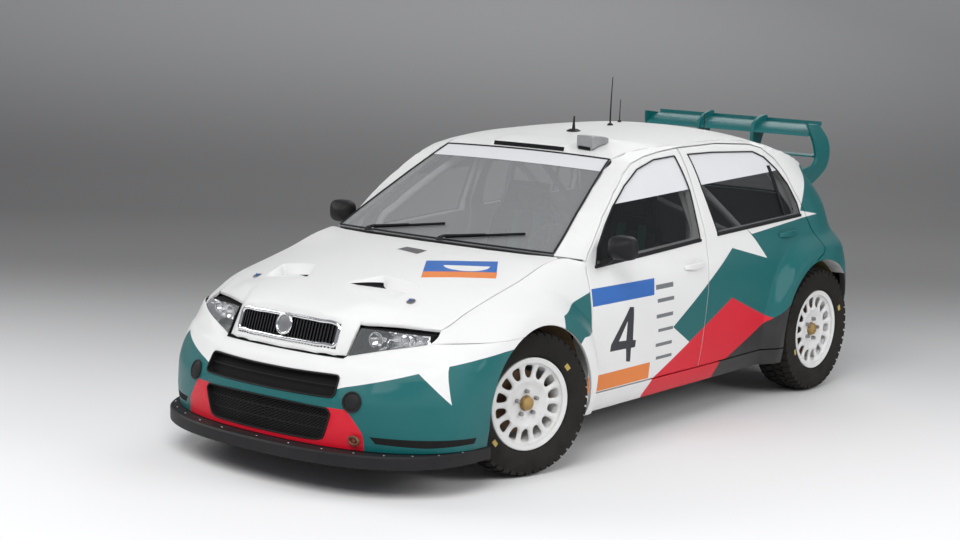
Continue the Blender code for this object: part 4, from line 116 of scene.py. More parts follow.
class Effects:
    """Node groups that several finishes share, each built once."""

    def __init__(self) -> None:
        """Build the groups."""
        self.dust = self.build_dust()
        self.grain = self.build_grain()
        self.weave = self.build_weave()
        self.mottle = self.build_mottle()

    @staticmethod
    def group(name: str, inputs: Sequence[tuple[str, str, object]], outputs: Sequence[tuple[str, str]]
              ) -> tuple[bpy.types.NodeTree, Wiring, bpy.types.Node, bpy.types.Node]:
        """Make an empty group with its sockets.

        Args:
            name: the group's name.
            inputs: name, kind and first value of each input.
            outputs: name and kind of each output.

        Returns:
            The tree, its wiring, its input node and its output node.
        """
        tree = bpy.data.node_groups.new(name, "ShaderNodeTree")
        for word, kind, value in inputs:
            tree.interface.new_socket(word, in_out="INPUT", socket_type=kind).default_value = value
        for word, kind in outputs:
            tree.interface.new_socket(word, in_out="OUTPUT", socket_type=kind)
        wiring = Wiring(tree)
        return tree, wiring, wiring.node("NodeGroupInput"), wiring.node("NodeGroupOutput")

    def build_dust(self) -> bpy.types.NodeTree:
        """Road dust: thick near the ground, thinning upwards, broken up by noise.

        Returns:
            The node group.
        """
        tree, w, start, end = self.group(
            "road_dust",
            (("Colour", "NodeSocketColor", (1, 1, 1, 1)), ("Dust", "NodeSocketColor", (0.3, 0.25, 0.2, 1)),
             ("Amount", "NodeSocketFloat", 0.3), ("Top", "NodeSocketFloat", 0.6)),
            (("Colour", "NodeSocketColor"), ("Mask", "NodeSocketFloat")))
        place = w.node("ShaderNodeTexCoord")
        parts = w.node("ShaderNodeSeparateXYZ")
        w.join(place.outputs["Object"], parts.inputs[0])
        share = w.maths("DIVIDE", parts.outputs[2], start.outputs["Top"])
        fall = w.node("ShaderNodeMapRange", interpolation_type="SMOOTHSTEP", in1=0.2, in2=1.0, in3=1.0,
                      in4=0.0)
        w.join(share, fall.inputs[0])
        noise = w.node("ShaderNodeTexNoise", in2=9.0, in3=5.0, in4=0.65)
        w.join(place.outputs["Object"], noise.inputs[0])
        spots = w.node("ShaderNodeMapRange", in1=0.3, in2=0.75, in3=0.2, in4=1.0)
        w.join(noise.outputs[0], spots.inputs[0])
        spread = w.maths("MULTIPLY", fall.outputs[0], spots.outputs[0])
        mask = w.maths("MULTIPLY", spread, start.outputs["Amount"])
        mix = w.node("ShaderNodeMix", data_type="RGBA")
        w.join(mask, mix.inputs[0])
        w.join(start.outputs["Colour"], mix.inputs[6])
        w.join(start.outputs["Dust"], mix.inputs[7])
        w.join(mix.outputs[2], end.inputs["Colour"])
        w.join(mask, end.inputs["Mask"])
        return tree

    def build_grain(self) -> bpy.types.NodeTree:
        """Fine grain: two octaves of noise as a height and as a mask.

        Returns:
            The node group.
        """
        tree, w, start, end = self.group(
            "fine_grain", (("Scale", "NodeSocketFloat", 300.0),),
            (("Height", "NodeSocketFloat"), ("Mask", "NodeSocketFloat")))
        place = w.node("ShaderNodeTexCoord")
        fine = w.node("ShaderNodeTexNoise", in3=3.0)
        w.join(place.outputs["Object"], fine.inputs[0])
        w.join(start.outputs["Scale"], fine.inputs["Scale"])
        cells = w.node("ShaderNodeTexVoronoi")
        w.join(place.outputs["Object"], cells.inputs[0])
        w.join(start.outputs["Scale"], cells.inputs["Scale"])
        w.join(w.maths("ADD", fine.outputs[0], cells.outputs[0]), end.inputs["Height"])
        w.join(fine.outputs[0], end.inputs["Mask"])
        return tree

    def build_weave(self) -> bpy.types.NodeTree:
        """Plain weave: bands along two crossing directions, the higher thread on top.

        Returns:
            The node group.
        """
        tree, w, start, end = self.group(
            "plain_weave", (("Scale", "NodeSocketFloat", 300.0),),
            (("Height", "NodeSocketFloat"), ("Mask", "NodeSocketFloat")))
        place = w.node("ShaderNodeTexCoord")
        bands = []
        for direction in ("X", "Z"):
            wave = w.node("ShaderNodeTexWave", wave_type="BANDS", bands_direction=direction, in2=0.6, in3=2.0)
            w.join(place.outputs["Object"], wave.inputs[0])
            w.join(start.outputs["Scale"], wave.inputs["Scale"])
            bands.append(wave.outputs["Fac"])
        height = w.maths("MAXIMUM", bands[0], bands[1])
        w.join(height, end.inputs["Height"])
        w.join(w.maths("MULTIPLY", bands[0], bands[1]), end.inputs["Mask"])
        return tree

    def build_mottle(self) -> bpy.types.NodeTree:
        """Slow change of shade over a surface: the colour times a noise round one.

        Returns:
            The node group.
        """
        tree, w, start, end = self.group(
            "slow_mottle",
            (("Colour", "NodeSocketColor", (1, 1, 1, 1)), ("Scale", "NodeSocketFloat", 4.0),
             ("Depth", "NodeSocketFloat", 0.1)),
            (("Colour", "NodeSocketColor"), ("Mask", "NodeSocketFloat")))
        place = w.node("ShaderNodeTexCoord")
        noise = w.node("ShaderNodeTexNoise", in3=6.0, in4=0.6)
        w.join(place.outputs["Object"], noise.inputs[0])
        w.join(start.outputs["Scale"], noise.inputs["Scale"])
        swing = w.maths("MULTIPLY", w.maths("SUBTRACT", noise.outputs[0], 0.5), start.outputs["Depth"])
        shade = w.maths("ADD", swing, 1.0)
        scale = w.node("ShaderNodeVectorMath", operation="SCALE")
        w.join(start.outputs["Colour"], scale.inputs[0])
        w.join(shade, scale.inputs["Scale"])
        w.join(scale.outputs[0], end.inputs["Colour"])
        w.join(noise.outputs[0], end.inputs["Mask"])
        return tree


@dataclass(frozen=True)
class Finish:
    """One finish of the car: its colour and how its surface looks close up."""
    name: str
    colour: Colour
    kind: Kind = Kind.PAINT
    roughness: float = 0.28
    slot: str = "white_paint"
    dust: float = 0.10
    dust_top: float = 0.60
    dust_colour: Colour = (0.28, 0.25, 0.21)
    dust_dullness: float = 0.5
    mottle: float = 0.05
    mottle_scale: float = 5.0
    grain_scale: float = 900.0
    bump: float = 0.004
    bump_strength: float = 0.35
    alpha: float = 1.0
    glow: float = 0.0

    def make(self, effects: Effects) -> bpy.types.Material:
        """Build the node material.

        Args:
            effects: the shared node groups.

        Returns:
            The material.
        """
        result = bpy.data.materials.new(self.name)
        result.use_nodes = True
        w = Wiring(result.node_tree)
        shader = result.node_tree.nodes["Principled BSDF"]
        self.set_shader(shader)
        mottle = w.node("ShaderNodeGroup", node_tree=effects.mottle)
        mottle.inputs["Colour"].default_value = (*self.colour, 1)
        mottle.inputs["Scale"].default_value = self.mottle_scale
        mottle.inputs["Depth"].default_value = self.mottle * 2
        dust = w.node("ShaderNodeGroup", node_tree=effects.dust)
        dust.inputs["Dust"].default_value = (*self.dust_colour, 1)
        dust.inputs["Amount"].default_value = self.dust
        dust.inputs["Top"].default_value = self.dust_top
        w.join(mottle.outputs["Colour"], dust.inputs["Colour"])
        w.join(dust.outputs["Colour"], shader.inputs["Base Color"])
        dull = w.maths("MULTIPLY", dust.outputs["Mask"], self.dust_dullness)
        spread = w.maths("MULTIPLY", mottle.outputs["Mask"], self.roughness * self.mottle)
        w.join(w.maths("ADD", w.maths("ADD", dull, spread), self.roughness), shader.inputs["Roughness"])
        tree = effects.weave if self.kind is Kind.CLOTH else effects.grain
        grain = w.node("ShaderNodeGroup", node_tree=tree)
        grain.inputs["Scale"].default_value = self.grain_scale
        bump = w.node("ShaderNodeBump", in0=self.bump_strength, in1=self.bump)
        w.join(grain.outputs["Height"], bump.inputs["Height"])
        w.join(bump.outputs[0], shader.inputs["Normal"])
        return result

    def set_shader(self, shader: bpy.types.Node) -> None:
        """Set the numbers that are the same all over the surface on the shader's own sockets.

        Args:
            shader: the Principled BSDF node.
        """
        shader.inputs["Alpha"].default_value = self.alpha
        if self.kind is Kind.PAINT:
            shader.inputs["Coat Weight"].default_value = 0.15
            shader.inputs["Specular IOR Level"].default_value = 0.35
            shader.inputs["Coat Roughness"].default_value = 0.06
        elif self.kind is Kind.METAL:
            shader.inputs["Metallic"].default_value = 1.0
        elif self.kind is Kind.CLOTH:
            shader.inputs["Sheen Weight"].default_value = 0.25
            shader.inputs["Sheen Roughness"].default_value = 0.5
        elif self.kind is Kind.GLASS:
            shader.inputs["Specular IOR Level"].default_value = 0.6
        elif self.kind in (Kind.RUBBER, Kind.PLASTIC):
            shader.inputs["Specular IOR Level"].default_value = 0.18
        if self.glow:
            shader.inputs["Emission Color"].default_value = (*self.colour, 1)
            shader.inputs["Emission Strength"].default_value = self.glow


@dataclass(frozen=True)
class Finishes:
    """Every finish of the car, by the name of where it is used."""
    white: Finish = Finish("gloss_white", (0.80, 0.80, 0.79), dust=0.02, mottle=0.02)
    teal: Finish = Finish("gloss_teal", (0.0, 0.118, 0.122), slot="teal_paint", dust=0.0, mottle=0.03)
    red: Finish = Finish("gloss_red", (0.68, 0.002, 0.020), slot="teal_paint", dust=0.0, mottle=0.03)
    black: Finish = Finish("gloss_black", (0.012, 0.012, 0.013), slot="black_plastic", roughness=0.3)
    blue: Finish = Finish("sign_blue", (0.018, 0.13, 0.46), slot="teal_paint", dust=0.02)
    orange: Finish = Finish("sign_orange", (0.78, 0.22, 0.04), slot="teal_paint", dust=0.02)
    ink: Finish = Finish("number_black", (0.02, 0.022, 0.03), slot="black_plastic", roughness=0.35)
    grey_ink: Finish = Finish("sign_grey", (0.16, 0.17, 0.18), slot="black_plastic", roughness=0.35)
    plastic: Finish = Finish("satin_black_plastic", (0.014, 0.014, 0.015), Kind.PLASTIC, 0.48,
                             "black_plastic", dust=0.04, grain_scale=700.0, bump=0.0008)
    matt: Finish = Finish("matt_black", (0.007, 0.007, 0.008), Kind.PLASTIC, 0.8, "black_plastic", dust=0.03,
                          grain_scale=420.0, bump=0.001)
    lip: Finish = Finish("dark_grey_lip", (0.013, 0.013, 0.015), Kind.PLASTIC, 0.5, "black_plastic",
                         dust=0.03, grain_scale=260.0, bump=0.0012)
    rubber: Finish = Finish("tyre_rubber", (0.011, 0.0105, 0.010), Kind.RUBBER, 0.8, "tyre_rubber", dust=0.07,
                            dust_top=0.9, mottle=0.25, mottle_scale=16.0, grain_scale=260.0, bump=0.0015)
    yellow: Finish = Finish("tyre_patch", (0.45, 0.33, 0.09), Kind.RUBBER, 0.75, "tyre_rubber", dust=0.35,
                            mottle=0.3, mottle_scale=40.0, grain_scale=300.0, bump=0.001)
    wheel: Finish = Finish("wheel_white", (0.78, 0.78, 0.77), slot="wheel_paint", roughness=0.35, dust=0.12,
                           dust_top=1.0, mottle=0.08, mottle_scale=12.0)
    gold: Finish = Finish("hub_gold", (0.45, 0.30, 0.12), Kind.METAL, 0.42, "grey_steel", mottle=0.2,
                          mottle_scale=30.0)
    rust: Finish = Finish("disc_brown", (0.20, 0.12, 0.075), Kind.METAL, 0.5, "grey_steel", mottle=0.35,
                          mottle_scale=26.0, bump=0.001)
    steel: Finish = Finish("brushed_steel", (0.34, 0.34, 0.35), Kind.METAL, 0.42, "grey_steel", mottle=0.12,
                           mottle_scale=20.0, grain_scale=500.0, bump=0.0008)
    alloy: Finish = Finish("cast_alloy", (0.42, 0.42, 0.43), Kind.METAL, 0.55, "grey_steel", mottle=0.18,
                           mottle_scale=14.0, grain_scale=320.0, bump=0.0015)
    chrome: Finish = Finish("chrome", (0.82, 0.82, 0.83), Kind.METAL, 0.07, "chrome", mottle=0.02,
                            bump=0.0002)
    slat: Finish = Finish("dark_chrome", (0.10, 0.10, 0.105), Kind.METAL, 0.25, "chrome", mottle=0.05,
                          bump=0.0003)
    glass: Finish = Finish("clear_glass", (0.42, 0.43, 0.44), Kind.GLASS, 0.03, "clear_glass", alpha=0.34,
                           dust=0.0, mottle=0.0, bump=0.0001)
    side_glass: Finish = Finish("side_glass", (0.015, 0.018, 0.020), Kind.GLASS, 0.03, "clear_glass",
                                alpha=0.30, dust=0.0, mottle=0.0, bump=0.0001)
    film: Finish = Finish("white_film", (0.76, 0.77, 0.79), Kind.GLASS, 0.06, "clear_glass", alpha=0.94,
                          dust=0.0, mottle=0.04, bump=0.0001)
    lens: Finish = Finish("clear_lens", (0.35, 0.37, 0.38), Kind.GLASS, 0.03, "clear_lens", alpha=0.14,
                          dust=0.0, mottle=0.0, bump=0.0001)
    red_lens: Finish = Finish("red_lens", (0.40, 0.012, 0.012), Kind.GLASS, 0.12, "red_lens", dust=0.05,
                              grain_scale=180.0, bump=0.002)
    amber: Finish = Finish("amber_lens", (0.62, 0.20, 0.02), Kind.GLASS, 0.15, "red_lens", dust=0.05,
                           grain_scale=180.0, bump=0.002)
    seat: Finish = Finish("seat_cloth_black", (0.020, 0.020, 0.022), Kind.CLOTH, 0.9, "seat_cloth", dust=0.0,
                          mottle=0.15, mottle_scale=14.0, grain_scale=190.0, bump=0.002)
    belt: Finish = Finish("harness_green", (0.010, 0.13, 0.07), Kind.CLOTH, 0.8, "seat_cloth", dust=0.0,
                          mottle=0.1, mottle_scale=20.0, grain_scale=260.0, bump=0.002)
    cage: Finish = Finish("cage_white", (0.66, 0.67, 0.67), slot="white_paint", roughness=0.4, dust=0.0)
    cabin: Finish = Finish("cabin_grey", (0.30, 0.31, 0.32), slot="white_paint", roughness=0.55, dust=0.0,
                           mottle=0.1)
    liner_brown: Finish = Finish("arch_liner_brown", (0.22, 0.15, 0.075), Kind.PLASTIC, 0.8, "black_plastic",
                                 dust=0.3, dust_top=0.9, mottle=0.3, mottle_scale=9.0, grain_scale=240.0,
                                 bump=0.002)
    liner_olive: Finish = Finish("arch_liner_olive", (0.20, 0.175, 0.07), Kind.PLASTIC, 0.8, "black_plastic",
                                 dust=0.3, dust_top=0.9, mottle=0.3, mottle_scale=9.0, grain_scale=240.0,
                                 bump=0.002)
    underbody: Finish = Finish("underbody_grey", (0.16, 0.16, 0.155), Kind.PLASTIC, 0.75, "black_plastic",
                               dust=0.55, dust_top=0.7, mottle=0.2, mottle_scale=6.0, grain_scale=200.0,
                               bump=0.003)


class Palette:
    """Materials of the finishes, each built when it is first asked for."""

    def __init__(self) -> None:
        """Start with the shared effects and no material."""
        self.effects = Effects()
        self.made: dict[str, bpy.types.Material] = {}

    def __call__(self, finish: Finish) -> bpy.types.Material:
        """Return the finish's material.

        Args:
            finish: the finish.

        Returns:
            The material.
        """
        if finish.name not in self.made:
            self.made[finish.name] = finish.make(self.effects)
        return self.made[finish.name]


FINISHES = Finishes()
PALETTE = Palette()


# Shapes as arrays
def loft(grid: Array, close_u: bool = False, close_v: bool = False) -> tuple[Array, Array]:
    """Quads over a grid of points: cell (i, j) joins points i, i + 1 and j, j + 1, wrapping where closed.

    Args:
        grid: points, shape (n, m, 3).
        close_u: whether the last row joins the first.
        close_v: whether the last column joins the first.

    Returns:
        The points as one list and the quads as index rows.
    """
    n, m = grid.shape[:2]
    i = np.arange(n if close_u else n - 1)
    j = np.arange(m if close_v else m - 1)
    a, b = np.meshgrid(i, j, indexing="ij")
    c, d = (a + 1) % n, (b + 1) % m
    quads = np.stack([a * m + b, c * m + b, c * m + d, a * m + d], axis=-1).reshape(-1, 4)
    return grid.reshape(-1, 3), quads


def capped(grid: Array) -> tuple[Array, list[Sequence[int]]]:
    """A tube of rings along the first axis, closed round the second and capped flat at both ends.

    Args:
        grid: points, shape (rings, points of a ring, 3).

    Returns:
        The points and the faces.
    """
    points, quads = loft(grid, close_v=True)
    m = grid.shape[1]
    last = (grid.shape[0] - 1) * m
    return points, [*quads.tolist(), list(range(m))[::-1], list(range(last, last + m))]


def revolve(profile: Array, steps: int) -> tuple[Array, Array]:
    """Turn a closed profile (radius, height) round Z: point (r cos a, r sin a, h) for each angle a.

    Args:
        profile: closed loop of radius and height.
        steps: number of angles.

    Returns:
        The points and the quads.
    """
    angles = np.arange(steps) * 2 * math.pi / steps
    r, h = np.asarray(profile, float).T
    grid = np.stack([np.outer(np.cos(angles), r), np.outer(np.sin(angles), r),
                     np.broadcast_to(h, (steps, len(h)))], axis=-1)
    return loft(grid, close_u=True, close_v=True)


def dome(radius: float, height: float, rings: int = 6, steps: int = 24) -> tuple[Array, list[Sequence[int]]]:
    """Flat-footed round button: its rings have radius R cos t and height H sin t, up to t near 90 degrees.

    Args:
        radius: radius at the foot.
        height: height of the crown.
        rings: number of rings.
        steps: points of a ring.

    Returns:
        The points and the faces.
    """
    t = np.linspace(0, math.pi / 2 * 0.96, rings)
    angles = np.arange(steps) * 2 * math.pi / steps
    grid = np.stack([np.outer(radius * np.cos(t), np.cos(angles)),
                     np.outer(radius * np.cos(t), np.sin(angles)),
                     np.outer(height * np.sin(t), np.ones(steps))], axis=-1)
    return capped(grid)


def smooth_path(points: Array, count: int) -> Array:
    """Catmull-Rom path through points: each span mixes its four nearest points by cubic weights.

    Args:
        points: points that the path passes through, shape (n, 3).
        count: number of points of the path.

    Returns:
        The path.
    """
    p = np.asarray(points, float)
    p = np.vstack([2 * p[0] - p[1], p, 2 * p[-1] - p[-2]])
    s = np.linspace(0, len(p) - 3 - 1e-9, count)
    k = s.astype(int)
    t = (s - k)[:, None]
    a, b, c, d = p[k], p[k + 1], p[k + 2], p[k + 3]
    return 0.5 * (2 * b + (c - a) * t + (2 * a - 5 * b + 4 * c - d) * t ** 2
                  + (3 * b - a - 3 * c + d) * t ** 3)


def frames_along(path: Array, closed: bool = False) -> tuple[Array, Array]:
    """Two square directions at each point of a path, carried along with the least turn.

    Args:
        path: points of the path.
        closed: whether the path's end meets its start.

    Returns:
        The two directions at each point.
    """
    if closed:
        ahead = np.roll(path, -1, axis=0) - np.roll(path, 1, axis=0)
    else:
        ahead = np.gradient(path, axis=0)
    ahead /= np.linalg.norm(ahead, axis=1)[:, None]
    guide = np.array([0, 0, 1.0]) if abs(ahead[0, 2]) < 0.9 else np.array([1.0, 0, 0])
    firsts = []
    for way in ahead:
        guide = guide - way * guide.dot(way)
        guide = guide / np.linalg.norm(guide)
        firsts.append(guide)
    first = np.array(firsts)
    return first, np.cross(ahead, first)


def sweep(path: Array, radius: float | Array, steps: int = 10, closed: bool = False
          ) -> tuple[Array, list[Sequence[int]]]:
    """Round tube along a path: ring point = path + r (first cos a + second sin a).

    Args:
        path: points of the path.
        radius: radius, one for all or one for each point.
        steps: points of a ring.
        closed: whether the path is a loop.

    Returns:
        The points and the faces.
    """
    path = np.asarray(path, float)
    first, second = frames_along(path, closed)
    angles = np.arange(steps) * 2 * math.pi / steps
    r = np.broadcast_to(radius, len(path))[:, None, None]
    grid = path[:, None] + r * (first[:, None] * np.cos(angles)[:, None]
                                + second[:, None] * np.sin(angles)[:, None])
    if closed:
        points, quads = loft(grid, close_u=True, close_v=True)
        return points, quads.tolist()
    return capped(grid)


def ribbon(path: Array, across: Array, width: float | Array,
           thick: float) -> tuple[Array, list[Sequence[int]]]:
    """Flat strap along a path: its section is a rectangle, width along the given way, thick square to it.

    Args:
        path: points of the strap's middle.
        across: way of the width at each point.
        width: width, one for all or one for each point.
        thick: thickness.

    Returns:
        The points and the faces.
    """
    path = np.asarray(path, float)
    ahead = np.gradient(path, axis=0)
    across = np.broadcast_to(np.asarray(across, float), path.shape)
    up = np.cross(ahead, across)
    up /= np.linalg.norm(up, axis=1)[:, None]
    side = across / np.linalg.norm(across, axis=1)[:, None] * (np.broadcast_to(width, len(path)) / 2)[:, None]
    half = up * thick / 2
    grid = np.stack([path - side - half, path + side - half, path + side + half, path - side + half], axis=1)
    return capped(grid)


def block(low: Sequence[float], high: Sequence[float]) -> tuple[Array, list[Sequence[int]]]:
    """Box between two corners, to be rounded by a bevel.

    Args:
        low: lower corner.
        high: upper corner.

    Returns:
        Vertices and faces.
    """
    (a, b, c), (d, e, f) = low, high
    lower = [(a, b, c), (d, b, c), (d, e, c), (a, e, c)]
    upper = [(x, y, f) for x, y, _ in lower]
    return np.array(lower + upper), [(3, 2, 1, 0), (4, 5, 6, 7), (0, 1, 5, 4), (1, 2, 6, 5), (2, 3, 7, 6),
                                     (3, 0, 4, 7)]


def merged(shapes: Sequence[tuple[Array, Sequence[Sequence[int]]]]) -> tuple[Array, list[Sequence[int]]]:
    """Several shapes as one list of points and faces.

    Args:
        shapes: pairs of vertices and faces.

    Returns:
        Vertices and faces of all of them.
    """
    points, faces, first = [], [], 0
    for some, rows in shapes:
        points.append(np.asarray(some, float))
        faces += [tuple(int(i) + first for i in row) for row in rows]
        first += len(some)
    return np.vstack(points), faces


def placed(shape: tuple[Array, Sequence[Sequence[int]]], matrix: Matrix
           ) -> tuple[Array, Sequence[Sequence[int]]]:
    """The shape moved by a matrix."""
    turn = np.array(matrix)
    return shape[0] @ turn[:3, :3].T + turn[:3, 3], shape[1]


def facing(place: Sequence[float], way: Sequence[float], up: Sequence[float] = (0, 0, 1)) -> Matrix:
    """Frame at a place whose Z points along a way and whose Y leans towards up.

    Args:
        place: where the origin goes.
        way: direction of its Z axis.
        up: direction nearest to its Y axis.

    Returns:
        The frame as a matrix.
    """
    z = Vector(way).normalized()
    x = Vector(up).cross(z)
    x = Vector((1, 0, 0)) if x.length < 1e-6 else x.normalized()
    return Matrix.Translation(Vector(place)) @ Matrix((x, z.cross(x), z)).transposed().to_4x4()


class Bench:
    """Makes objects of shapes and hands each to the frame's bodies."""

    def __init__(self, palette: Palette) -> None:
        """Keep the palette and count nothing yet.

        Args:
            palette: source of the materials.
        """
        self.palette = palette
        self.count = 0
        self.triangles = 0

    def piece(self, name: str, shape: tuple[Array, Sequence[Sequence[int]]], finish: Finish,
              body: str = "body", more: Sequence[Finish] = (), slots: Optional[Sequence[int]] = None,
              replaces: Sequence[str] = (), sharp: float = 35.0, round_edge: float = 0.0,
              round_steps: int = 2, outwards: bool = True, subdivide: int = 0) -> bpy.types.Object:
        """Make one piece.

        Args:
            name: the piece's name.
            shape: points and faces in the car's frame.
            finish: its first finish.
            body: the body that it rides on.
            more: further finishes.
            slots: index of the finish of each face.
            replaces: CAD nodes that it stands for.
            sharp: angle in degrees past which an edge stays sharp.
            round_edge: width of the bevel on its edges, none at 0.
            round_steps: segments of that bevel.
            outwards: whether its faces are turned outwards here.
            subdivide: levels of subdivision.

        Returns:
            The object.
        """
        points, faces = shape
        mesh = bpy.data.meshes.new(name)
        mesh.from_pydata(np.asarray(points, float).tolist(), [], [tuple(map(int, row)) for row in faces])
        for each in (finish, *more):
            mesh.materials.append(self.palette(each))
        if slots is not None:
            mesh.polygons.foreach_set("material_index", np.asarray(slots, np.int32))
        if outwards:
            work = bmesh.new()
            work.from_mesh(mesh)
            bmesh.ops.recalc_face_normals(work, faces=work.faces)
            if work.calc_volume(signed=True) < 0:
                bmesh.ops.reverse_faces(work, faces=work.faces)
            work.to_mesh(mesh)
            work.free()
        mesh.shade_smooth()
        mesh.set_sharp_from_angle(angle=math.radians(sharp))
        result = bpy.data.objects.new(name, mesh)
        bpy.context.scene.collection.objects.link(result)
        if round_edge:
            bevel = result.modifiers.new("round", "BEVEL")
            bevel.width, bevel.segments, bevel.limit_method = round_edge, round_steps, "ANGLE"
            bevel.angle_limit = math.radians(40)
            bevel.harden_normals = True
        if subdivide:
            surf = result.modifiers.new("smooth", "SUBSURF")
            surf.levels = surf.render_levels = subdivide
        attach(result, body)
        if replaces:
            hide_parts(*replaces)
        self.count += 1
        self.triangles += sum(len(row) - 2 for row in faces)
        LOG.info("made %s on %s", name, body)
        return result


BENCH = Bench(PALETTE)


# Outlines and sheets in a flat parameter plane
def scaled(table: Sequence[Sequence[float]], *sizes: float) -> Array:
    """The table of shares in metres, one size for each column."""
    return np.array(table, float) * np.array(sizes, float)


def curve(table: Array, column: int, at: Array) -> Array:
    """Monotone cubic curve: Hermite spans whose end slopes are weighted harmonic means of their neighbours.

    Args:
        table: rows in order of the first column.
        column: the column that is read.
        at: places on the first column's axis.

    Returns:
        The column's value at each place.
    """
    knots, values = table[:, 0], table[:, column]
    steps = np.diff(knots)
    slopes = np.diff(values) / steps
    tangents = np.zeros(len(knots))
    tangents[0], tangents[-1] = slopes[0], slopes[-1]
    for i in range(1, len(slopes)):
        if slopes[i - 1] * slopes[i] > 0:
            before, after = steps[i] * 2 + steps[i - 1], steps[i - 1] * 2 + steps[i]
            tangents[i] = (before + after) / (before / slopes[i - 1] + after / slopes[i])
    at = np.clip(at, knots[0], knots[-1])
    i = np.clip(np.searchsorted(knots, at, side="right") - 1, 0, len(slopes) - 1)
    t = (at - knots[i]) / steps[i]
    return (values[i] * (1 + 2 * t) * (1 - t) ** 2 + values[i + 1] * t * t * (3 - 2 * t)
            + steps[i] * t * (1 - t) * (tangents[i] * (1 - t) - tangents[i + 1] * t))


def fade(at: Array, start: float | Array, end: float | Array) -> Array:
    """1 before start, 0 after end and the smooth step 1 - 3t² + 2t³ between them."""
    t = np.clip((at - start) / (end - start), 0, 1)
    return 1 - t * t * (3 - 2 * t)


def arc(centre: Sequence[float], radius: float, start: float, end: float, count: int = 40) -> Array:
    """Points on an arc between two angles in degrees."""
    angles = np.radians(np.linspace(start, end, count))
    return np.column_stack([centre[0] + radius * np.cos(angles), centre[1] + radius * np.sin(angles)])


def dense(outline: Sequence[Sequence[float]], step: float, closed: bool = True) -> Array:
    """The outline with extra points, so that no side is longer than the step.

    Args:
        outline: points of the outline.
        step: largest distance between two points.
        closed: whether the last point joins the first.

    Returns:
        The closer points.
    """
    points = np.asarray(outline, float)
    ends = np.roll(points, -1, axis=0) if closed else points[1:]
    rows = []
    for a, b in zip(points, ends):
        count = max(1, math.ceil(np.hypot(*(b - a)) / step))
        rows += [a + (b - a) * i / count for i in range(count)]
    if not closed:
        rows.append(points[-1])
    return np.array(rows)


def rounded(outline: Sequence[Sequence[float]], passes: int = 2, share: float = 0.25) -> Array:
    """The outline with its corners cut off again and again, which rounds them.

    Args:
        outline: points of the outline.
        passes: how often the corners are cut.
        share: share of each edge that a cut takes.

    Returns:
        The rounded points.
    """
    points = np.asarray(outline, float)
    for _ in range(passes):
        after = np.roll(points, -1, axis=0)
        points = np.stack([points * (1 - share) + after * share, points * share + after * (1 - share)],
                          axis=1).reshape(-1, 2)
    return points


def inside(outline: Array, points: Array) -> Array:
    """Which points lie inside a closed outline: a ray from them crosses it an odd number of times.

    Args:
        outline: points of the outline.
        points: points to test.

    Returns:
        A truth value for each point.
    """
    a, b = outline, np.roll(outline, -1, axis=0)
    x, y = points[:, 0, None], points[:, 1, None]
    crosses = (a[:, 1] > y) != (b[:, 1] > y)
    rise = np.where(b[:, 1] == a[:, 1], 1, b[:, 1] - a[:, 1])
    return (crosses & (x < (b[:, 0] - a[:, 0]) * (y - a[:, 1]) / rise + a[:, 0])).sum(axis=1) % 2 == 1


def distance(outline: Array, points: Array, closed: bool = True) -> Array:
    """Distance of each point to an outline: the least over its sides.

    Args:
        outline: points of the outline.
        points: points to test.
        closed: whether the last point joins the first.

    Returns:
        A distance for each point.
    """
    a = outline if closed else outline[:-1]
    b = np.roll(outline, -1, axis=0) if closed else outline[1:]
    along = b - a
    length = np.maximum((along ** 2).sum(axis=1), 1e-12)
    offset = points[:, None, :] - a
    t = np.clip((offset * along).sum(axis=2) / length, 0, 1)
    return np.sqrt(((offset - t[..., None] * along) ** 2).sum(axis=2)).min(axis=1)


def inset(outline: Sequence[Sequence[float]], gap: float) -> Array:
    """The outline moved inwards by a gap, or outwards by a negative one.

    Args:
        outline: points of the outline.
        gap: distance inwards.

    Returns:
        The moved outline.
    """
    points = np.asarray(outline, float)
    before, after = np.roll(points, 1, axis=0), np.roll(points, -1, axis=0)
    area = (points[:, 0] * after[:, 1] - points[:, 1] * after[:, 0]).sum()
    turn = 1 if area > 0 else -1
    one, two = points - before, after - points
    one = one / np.maximum(np.hypot(*one.T), 1e-12)[:, None]
    two = two / np.maximum(np.hypot(*two.T), 1e-12)[:, None]
    normals = np.column_stack([-(one + two)[:, 1], (one + two)[:, 0]]) * turn
    normals /= np.maximum((normals ** 2).sum(axis=1), 0.4)[:, None]
    return points + normals * 2 * gap


def both(half: Array) -> Array:
    """A closed outline from its half on the left side."""
    return np.vstack([half, (half[half[:, 0] > 0] * (-1, 1))[::-1]])


